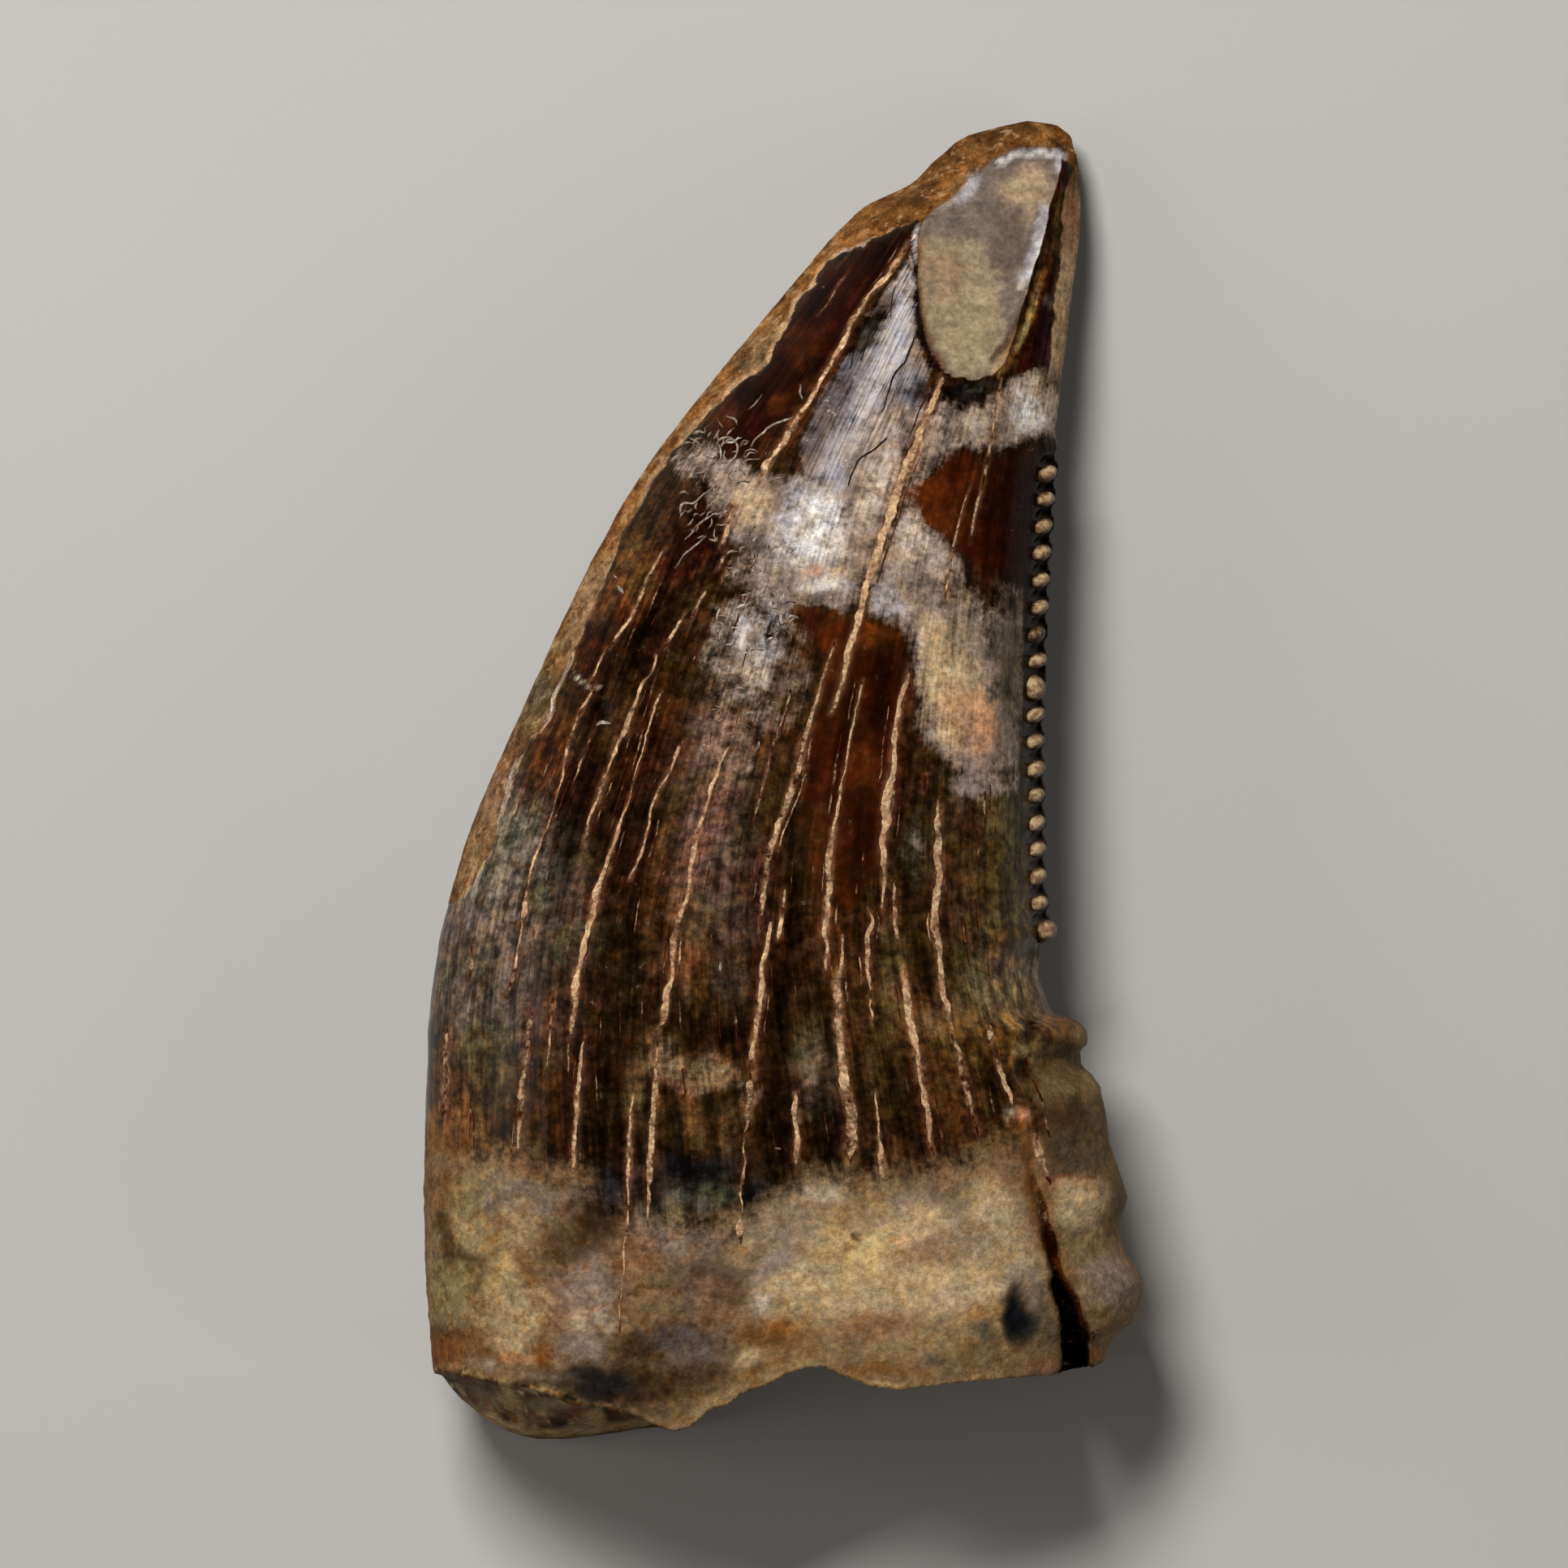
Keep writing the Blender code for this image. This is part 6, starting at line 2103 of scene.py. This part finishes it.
# Kinds of ridge: the first seed, the height in millimetres, how far one wanders and how ragged it is.
RIDGES = {
    "cracks": (0, 0.006, 2.4, 1.25),
    "lower_cracks": (70, 0.006, 1.6, 0.75),
    "curls": (100, 0.014, 2.4, 1.1),
    "rims": (150, 0.010, 1.6, 0.8),
    "hairlines": (200, 0.003, 2.0, 0.5),
    "faint_cracks": (300, 0.003, 1.5, 0.8),
    "tangle": (400, 0.010, 1.6, 1.0),
}
CURL_PALENESS = 0.60
CURL_GAIN = 0.8
# The lower side has every third crack of the upper side, moved by this many pixels and less full.
LOWER_CRACKS_STEP = 3
LOWER_CRACKS_SHIFT = (-24, 16)
LOWER_CRACKS_FILL = 0.8


def catmull(path, step):
    """Points about one step apart on a smooth curve through the path."""
    path = np.array(path, float)
    ends = np.concatenate([[2 * path[0] - path[1]], path, [2 * path[-1] - path[-2]]])
    found = []
    for a, b, c, d in zip(ends, ends[1:], ends[2:], ends[3:]):
        count = max(2, int(np.linalg.norm(c - b) / step))
        t = np.arange(count)[:, None] / count
        bend = (2 * a - 5 * b + 4 * c - d) * t**2 + (3 * b - a - 3 * c + d) * t**3
        found.append(0.5 * (2 * b + (c - a) * t + bend))
    return np.concatenate(found + [path[-1:]])


class Ribbons:
    """Thin closed ridges laid on the skin, gathered into one mesh."""

    PROFILE = (-1.0, -0.62, -0.2, 0.2, 0.62, 1.0)
    STEP = 2.2
    RAY_START = 0.02
    LEAST_UPRIGHT = 0.12
    EDGE_DROP = 0.006
    ROOT_DEPTH = 0.04
    GRAIN = (0.5, 3.0, 207)
    # Widths are a little over the given ones. Thin ridges are ragged less, and all taper towards their ends.
    WIDTH_GAIN = 1.1
    LEAST_WIDTH = 1.2
    RAGGED_WIDTH = 9
    LEAST_RAGGED = 0.6
    HALF_LIMITS = (0.35, 1.55)
    TAPER_LENGTH = 1.2
    TAPER_END = 0.30
    # How the filling thins out at the ends, from place to place and at the rims.
    FADE_LENGTH = 16
    FADE_SHARE = 0.5
    PATCHINESS = 0.40
    RIM_LOSS = 0.30
    # Waves along a ridge: their length in pixels, what the seed is multiplied by, and their own seed.
    SWAY = (18, 7.3, 201)
    EDGES = ((15, 3.3, 204), (15, 3.3, 205))
    FILLING = (22, 2.9, 206, 3)

    def __init__(self, skin, from_above=True):
        self.skin = skin
        self.down = Vector((0, 0, -1 if from_above else 1))
        self.start = self.RAY_START if from_above else -self.RAY_START
        self.points = []
        self.faces = []
        self.fill = []

    @staticmethod
    def waves(place, seed, length, spread, own_seed, octaves=4):
        return rough_noise(place / length, seed * spread, own_seed, octaves)

    def surface(self, px, py):
        """The point of the skin over or under a pixel and its normal, or None where it is too steep."""
        x, y = from_photo(px, py)
        hit = self.skin.ray_cast(Vector((x * MM, y * MM, self.start)), self.down)
        if hit[0] is None or abs(hit[1][2]) < self.LEAST_UPRIGHT:
            return None
        return np.array(hit[0]) / MM, np.array(hit[1])

    def outline(self, line, seed, wander, jagged):
        """Half widths of the two sides, each ragged in its own way, along a line of x, y and width."""
        place = np.concatenate([[0], np.cumsum(np.linalg.norm(np.diff(line[:, :2], axis=0), axis=1))])
        ahead = np.gradient(line[:, :2], axis=0)
        ahead /= np.linalg.norm(ahead, axis=1, keepdims=True)
        across = np.stack([-ahead[:, 1], ahead[:, 0]], axis=1)
        sway = wander * self.waves(place, seed, *self.SWAY)
        width = self.WIDTH_GAIN * np.maximum(line[:, 2], self.LEAST_WIDTH)
        from_end = np.minimum(place, place[-1] - place)
        taper = np.minimum(1, from_end / (self.TAPER_LENGTH * width) + self.TAPER_END)
        uneven = jagged * np.clip(self.RAGGED_WIDTH / width, self.LEAST_RAGGED, 1)
        halves = []
        for side in self.EDGES:
            edge = self.waves(place, seed, *side)
            rough = np.clip(1 + uneven * edge, *self.HALF_LIMITS)
            halves.append(0.5 * width * taper * rough)
        return line[:, :2] + across * sway[:, None], across, halves, place

    def add(self, path, fill, seed, lift, wander, jagged):
        """Lays a ridge along a path of x, y and width, with gaps where the skin is too steep."""
        line = catmull(path, self.STEP)
        middle, across, halves, place = self.outline(line, seed, wander, jagged)
        fade = self.FADE_SHARE * smooth_step(self.FADE_LENGTH, 0, np.minimum(place, place[-1] - place))
        patchy = fill + self.PATCHINESS * self.waves(place, seed, *self.FILLING) - fade
        share, size, own_seed = self.GRAIN
        rings, fills = [], []
        for k in range(len(line)):
            ring = []
            for offset in self.PROFILE:
                half = halves[0][k] if offset < 0 else halves[1][k]
                spot_px = middle[k] + across[k] * offset * half
                hit = self.surface(*spot_px)
                if hit is None:
                    break
                grain = share * float(noise(spot_px[0] / size, spot_px[1] / size, own_seed))
                drop = self.EDGE_DROP * abs(offset) ** 3
                height = lift * (1 - offset * offset) * (1 + grain) - drop
                ring.append(hit[0] + hit[1] * height)
            if len(ring) == len(self.PROFILE):
                ring.append(0.5 * (ring[2] + ring[3]) - hit[1] * self.ROOT_DEPTH)
                rings.append(ring)
                offsets = self.PROFILE + (0.0,)
                fills.append([patchy[k] - self.RIM_LOSS * abs(offset) ** 3 for offset in offsets])
            else:
                self.close(rings, fills)
                rings, fills = [], []
        self.close(rings, fills)

    def add_all(self, kind, paths):
        """Lays ridges of one kind. Each path has its fill, and points of x, y and width."""
        first_seed, *style = RIDGES[kind]
        for k, (fill, path) in enumerate(paths):
            self.add(path, fill, first_seed + k, *style)

    def close(self, rings, fills):
        """Joins the rings gathered so far into one closed ridge."""
        if len(rings) < 3:
            return
        size = len(self.PROFILE) + 1
        start = len(self.points)
        for ring, fill in zip(rings, fills):
            self.points.extend(ring)
            self.fill.extend(fill)
        for row in range(len(rings) - 1):
            low, high = start + row * size, start + (row + 1) * size
            for k in range(size):
                after = (k + 1) % size
                self.faces.append((low + k, high + k, high + after, low + after))
        last = start + (len(rings) - 1) * size
        self.faces.append(tuple(range(start, start + size)))
        self.faces.append(tuple(range(last + size - 1, last - 1, -1)))

    def piece(self, name, material):
        made = new_piece(name, self.points, self.faces, material)
        add_attribute(made.data, "fill", self.fill)
        face_outwards(made.data)
        return made


def face_outwards(mesh):
    whole = bmesh.new()
    whole.from_mesh(mesh)
    bmesh.ops.recalc_face_normals(whole, faces=whole.faces)
    whole.to_mesh(mesh)
    whole.free()


def chance(k, n, seed, low=0.0, high=1.0):
    """A repeatable number between two limits."""
    return low + (high - low) * 0.5 * (1 + cell_value(k, n, seed))


# Faint cracks beside a long one: how many points it must have and where it must end, how many points each of
# them takes of it, and the seeds and limits of what is drawn for each.
COMPANION_LEAST_POINTS = 7
COMPANION_LOWEST_END = 1500
COMPANION_POINTS = (4, 3, 3)
COMPANION_FIRST = (301, 0)
COMPANION_LAST = 3.01
COMPANION_ASIDE = (302, 6, 13)
COMPANION_SIDE = 303
COMPANION_FILL = (304, 0.05, 0.50)
COMPANION_WIDTH = (305, 1.5, 3.0)
# Faint streaks: the number, seed and limits of what is drawn for each. None lies in the bloom or starts
# below the given row, which moves a little from streak to streak.
DASH_ACROSS = (1, 311, 0.05, 0.93)
DASH_ALONG = (2, 312, 0.06, 0.62)
DASH_LENGTH = (3, 313, 0.008, 0.040)
DASH_FILL = (5, 315, -0.05, 0.45)
DASH_WIDTH = (6, 316, 1.2, 3.4)
DASH_POINTS = 4
DASH_BLOOM_EDGE = 14
DASH_BLOOM_LIMIT = 0.3
DASH_LOWEST = 1420
DASH_LOWEST_SPREAD = 20
DASH_LOWEST_DRAW = (4, 314)
# Loose curls: the number, seed and limits of what is drawn for each.
TANGLE_NUMBER_STEP = 7
TANGLE_REACH = (1, 321)
TANGLE_TURN = (2, 322, 0, 2 * math.pi)
TANGLE_LEAN = (3, 323, -1.9, 0.3)
TANGLE_LENGTH = (4, 324, 3, 9)
TANGLE_BEND = (5, 325, -0.7, 0.7)
TANGLE_WIDTH = (6, 326, 1.6, 3.4)
TANGLE_PALENESS = (7, 327, 0.45, 1.05)


def companions():
    """Faint short cracks beside the long ones."""
    found = []
    for k, (_, route) in enumerate(CRACKS):
        if len(route) < COMPANION_LEAST_POINTS or route[-1][1] >= COMPANION_LOWEST_END:
            continue
        for n, count in enumerate(COMPANION_POINTS):
            first = int(chance(k, n, *COMPANION_FIRST, len(route) - COMPANION_LAST))
            aside = chance(k, n, *COMPANION_ASIDE) * (1 if cell_value(k, n, COMPANION_SIDE) > 0 else -1)
            fill, width = chance(k, n, *COMPANION_FILL), chance(k, n, *COMPANION_WIDTH)
            found.append((fill, [(px + aside, py, width) for px, py, _ in route[first:first + count]]))
    return found


def dashes():
    """Short faint streaks of sediment that follow the flow of the enamel."""
    found = []
    for k in range(DASH_COUNT):
        across, along, length = (chance(k, *drawn) for drawn in (DASH_ACROSS, DASH_ALONG, DASH_LENGTH))
        down = along + length * np.linspace(1, 0, DASH_POINTS)
        x, y, _ = crown_skin(np.full(DASH_POINTS, across), down, True)
        px, py = to_photo(x, y)
        bloom_and_sheen = float(within(px[1], py[1], BLOOM_BAND, DASH_BLOOM_EDGE))
        lowest = DASH_LOWEST + DASH_LOWEST_SPREAD * cell_value(k, *DASH_LOWEST_DRAW)
        if bloom_and_sheen > DASH_BLOOM_LIMIT or py[-1] > lowest:
            continue
        fill, width = chance(k, *DASH_FILL), chance(k, *DASH_WIDTH)
        found.append((fill, [(float(a), float(b), width) for a, b in zip(px, py)]))
    return found


def tangle():
    """Small loose curls, matted together where the enamel has lifted."""
    found = []
    for x, y, wide, tall, count in CURL_PATCHES:
        for k in range(count):
            number = int(x + TANGLE_NUMBER_STEP * k)
            reach, turn = math.sqrt(chance(number, *TANGLE_REACH)), chance(number, *TANGLE_TURN)
            middle = np.array((x + wide * reach * math.cos(turn), y + tall * reach * math.sin(turn)))
            lean, length = chance(number, *TANGLE_LEAN), chance(number, *TANGLE_LENGTH)
            ahead = np.array((math.cos(lean), math.sin(lean))) * length
            bend = np.array((-ahead[1], ahead[0])) * chance(number, *TANGLE_BEND)
            route = [tuple(middle - ahead), tuple(middle + bend), tuple(middle + ahead)]
            found.append((chance(number, *TANGLE_WIDTH), chance(number, *TANGLE_PALENESS), route))
    return found


def build_cracks(skin, material):
    """Sediment in the cracks of both sides. The lower side's are the upper's, thinned out and moved."""
    cracks = Ribbons(skin)
    cracks.add_all("cracks", CRACKS)
    cracks.add_all("faint_cracks", companions() + dashes())
    below = Ribbons(skin, from_above=False)
    across, along = LOWER_CRACKS_SHIFT
    moved = []
    for fill, path in CRACKS[::LOWER_CRACKS_STEP]:
        moved.append((LOWER_CRACKS_FILL * fill, [(px + across, py + along, width) for px, py, width in path]))
    below.add_all("lower_cracks", moved)
    offset = len(cracks.points)
    cracks.points.extend(below.points)
    cracks.fill.extend(below.fill)
    cracks.faces.extend(tuple(corner + offset for corner in face) for face in below.faces)
    return cracks.piece("crack_sediment", material)


def of_width(width, route, gain=1.0):
    return [(px, py, gain * width) for px, py in route]


def build_flakes(skin, material):
    flakes = Ribbons(skin)
    flakes.add_all("curls", [(CURL_PALENESS, of_width(width, route, CURL_GAIN)) for width, route in CURLS])
    for kind, paths in (("tangle", tangle()), ("rims", RIMS)):
        flakes.add_all(kind, [(paleness, of_width(width, route)) for width, paleness, route in paths])
    return flakes.piece("pale_flakes", material)


def build_hairlines(skin, material):
    lines = Ribbons(skin)
    lines.add_all("hairlines", [(0.0, of_width(width, route)) for width, route in HAIRLINES])
    return lines.piece("hairlines", material)


def serration_size(k):
    """Half length, half width and half height of one serration, in millimetres."""
    size = np.array(SERRATION_HALVES) * (1 + SIZE_SPREAD * cell_value(k, 3, 211))
    if k == WIDE_SERRATION:
        size[1] *= WIDE_FACTOR
    if k == LAST_SERRATION:
        size *= LAST_FACTORS
    return size


def serration_points(k):
    """Points of one serration, ring by ring from its outer end, and how pale each is."""
    y = SERRATION_TOP_Y - SERRATION_PITCH * k
    size = serration_size(k)
    reach = SERRATION_REACH + REACH_CHANGES.get(k, 0.0)
    reach += REACH_SPREAD * cell_value(k, 4, 214)
    edge = float(rear_edge(y) + rear_lump(y)) + reach
    turn = SERRATION_SLANT + SLANT_SPREAD * cell_value(k, 5, 212)
    c, s = math.cos(turn), math.sin(turn)
    level = float(edge_height(y)) + SERRATION_LIFT
    centre = np.array((edge - size[0] * c, y - size[0] * s * SERRATION_LEAN, level))
    paleness = WORN_PALENESS if k == WORN_SERRATION else 1.0
    start, length, width = WORN_TIP
    points, tip = [], []
    for i in range(SERRATION_STACKS + 1):
        polar = math.pi * i / SERRATION_STACKS
        for j in range(SERRATION_SEGMENTS):
            around = 2 * math.pi * j / SERRATION_SEGMENTS
            flat = math.sin(polar)
            local = np.array((math.cos(polar), flat * math.cos(around), flat * math.sin(around)))
            local = np.sign(local) * np.abs(local) ** SERRATION_ROUNDNESS
            bump = float(noise(local[0] * 2 + k * 9.1, local[1] * 2 + local[2] * 2, 213))
            local = local * size * (1 + SURFACE_SPREAD * bump)
            turned = (local[0] * c - local[1] * s, local[0] * s + local[1] * c, local[2])
            points.append(centre + np.array(turned))
            away = math.hypot((local[0] - start * size[0]) / (length * size[0]), local[1] / (width * size[1]))
            tip.append(paleness * float(1 - smooth_step(*WORN_TIP_FADE, away)))
    return points, tip


def build_serrations(material):
    """A row of rounded chisels, pale on the worn tip and dark in the grooves between them."""
    points, faces, tip = [], [], []
    for k in range(SERRATION_COUNT):
        start = len(points)
        own_points, own_tip = serration_points(k)
        points.extend(own_points)
        tip.extend(own_tip)
        for i in range(SERRATION_STACKS):
            low = start + i * SERRATION_SEGMENTS
            high = low + SERRATION_SEGMENTS
            for j in range(SERRATION_SEGMENTS):
                after = (j + 1) % SERRATION_SEGMENTS
                faces.append((low + j, high + j, high + after, low + after))
    piece = new_piece("serrations", points, faces, material)
    add_attribute(piece.data, "tip", tip)
    face_outwards(piece.data)
    return piece


# Lights: name, place in metres, size, power, colour and whether they show in gloss.
LIGHTS = [
    ("key", (-0.038, 0.078, 0.13), (0.055, 0.04), 0.25, (1.0, 0.98, 0.95), False),
    ("left_fill", (-0.15, 0.0, 0.07), (0.07, 0.09), 0.05, (1.0, 0.97, 0.93), True),
    ("right_fill", (0.13, -0.06, 0.09), (0.06, 0.06), 0.025, (1.0, 0.96, 0.91), True),
]
LIGHT_TARGET = (0.0, 0.0, 0.002)
FLOOR_SIDE = 0.6
SKY_COLOUR = (0.95, 0.93, 0.90, 1.0)
SKY_STRENGTH = 0.06
CAMERA_LENS = 1000.0
CAMERA_SENSOR = 36.0
CAMERA_CLIP = (0.001, 5.0)
CAMERA_LEVEL_Y = 5.0


def add_area_light(name, place, size, power, colour, glossy):
    data = bpy.data.lights.new(name, "AREA")
    data.shape = "RECTANGLE"
    data.size, data.size_y = size
    data.energy = power
    data.color = colour
    light = bpy.data.objects.new(name, data)
    light.location = Vector(place)
    aim = Vector(LIGHT_TARGET) - light.location
    light.rotation_euler = aim.to_track_quat("-Z", "Y").to_euler()
    light.visible_glossy = glossy
    bpy.context.scene.collection.objects.link(light)


def build_stage():
    bpy.ops.mesh.primitive_plane_add(size=FLOOR_SIDE, location=(0, 0, 0))
    floor = bpy.context.object
    floor.name = "floor"
    floor.data.materials.append(floor_material())
    world = bpy.data.worlds.new("studio")
    world.use_nodes = True
    background = world.node_tree.nodes["Background"]
    background.inputs["Color"].default_value = SKY_COLOUR
    background.inputs["Strength"].default_value = SKY_STRENGTH
    bpy.context.scene.world = world
    for light in LIGHTS:
        add_area_light(*light)


def build_camera():
    """Looks straight down from far off. At the upper edges' height the frame's side is the photograph's."""
    data = bpy.data.cameras.new("camera")
    data.lens = CAMERA_LENS
    data.sensor_width = CAMERA_SENSOR
    data.clip_start, data.clip_end = CAMERA_CLIP
    camera = bpy.data.objects.new("camera", data)
    side = PHOTO_SIDE / PIXELS_PER_MM * MM
    distance = side * data.lens / data.sensor_width
    middle_y = (PHOTO_CENTRE[1] - PHOTO_SIDE / 2) / PIXELS_PER_MM * MM
    camera.location = (0.0, middle_y, distance + float(edge_height(CAMERA_LEVEL_Y)) * MM)
    bpy.context.scene.collection.objects.link(camera)
    bpy.context.scene.camera = camera


def main():
    build_stage()
    build_camera()
    tooth = build_tooth(skin_material())
    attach(tooth, "root")
    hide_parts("tooth")
    corners = [vertex.co for vertex in tooth.data.vertices]
    skin = BVHTree.FromPolygons(corners, [face.vertices for face in tooth.data.polygons])
    pieces = [
        build_cracks(skin, sediment_material()),
        build_flakes(skin, flake_material()),
        build_hairlines(skin, hairline_material()),
        build_serrations(serration_material()),
    ]
    for piece in pieces:
        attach(piece, "root")
    bpy.context.scene.view_settings.view_transform = "Standard"


main()
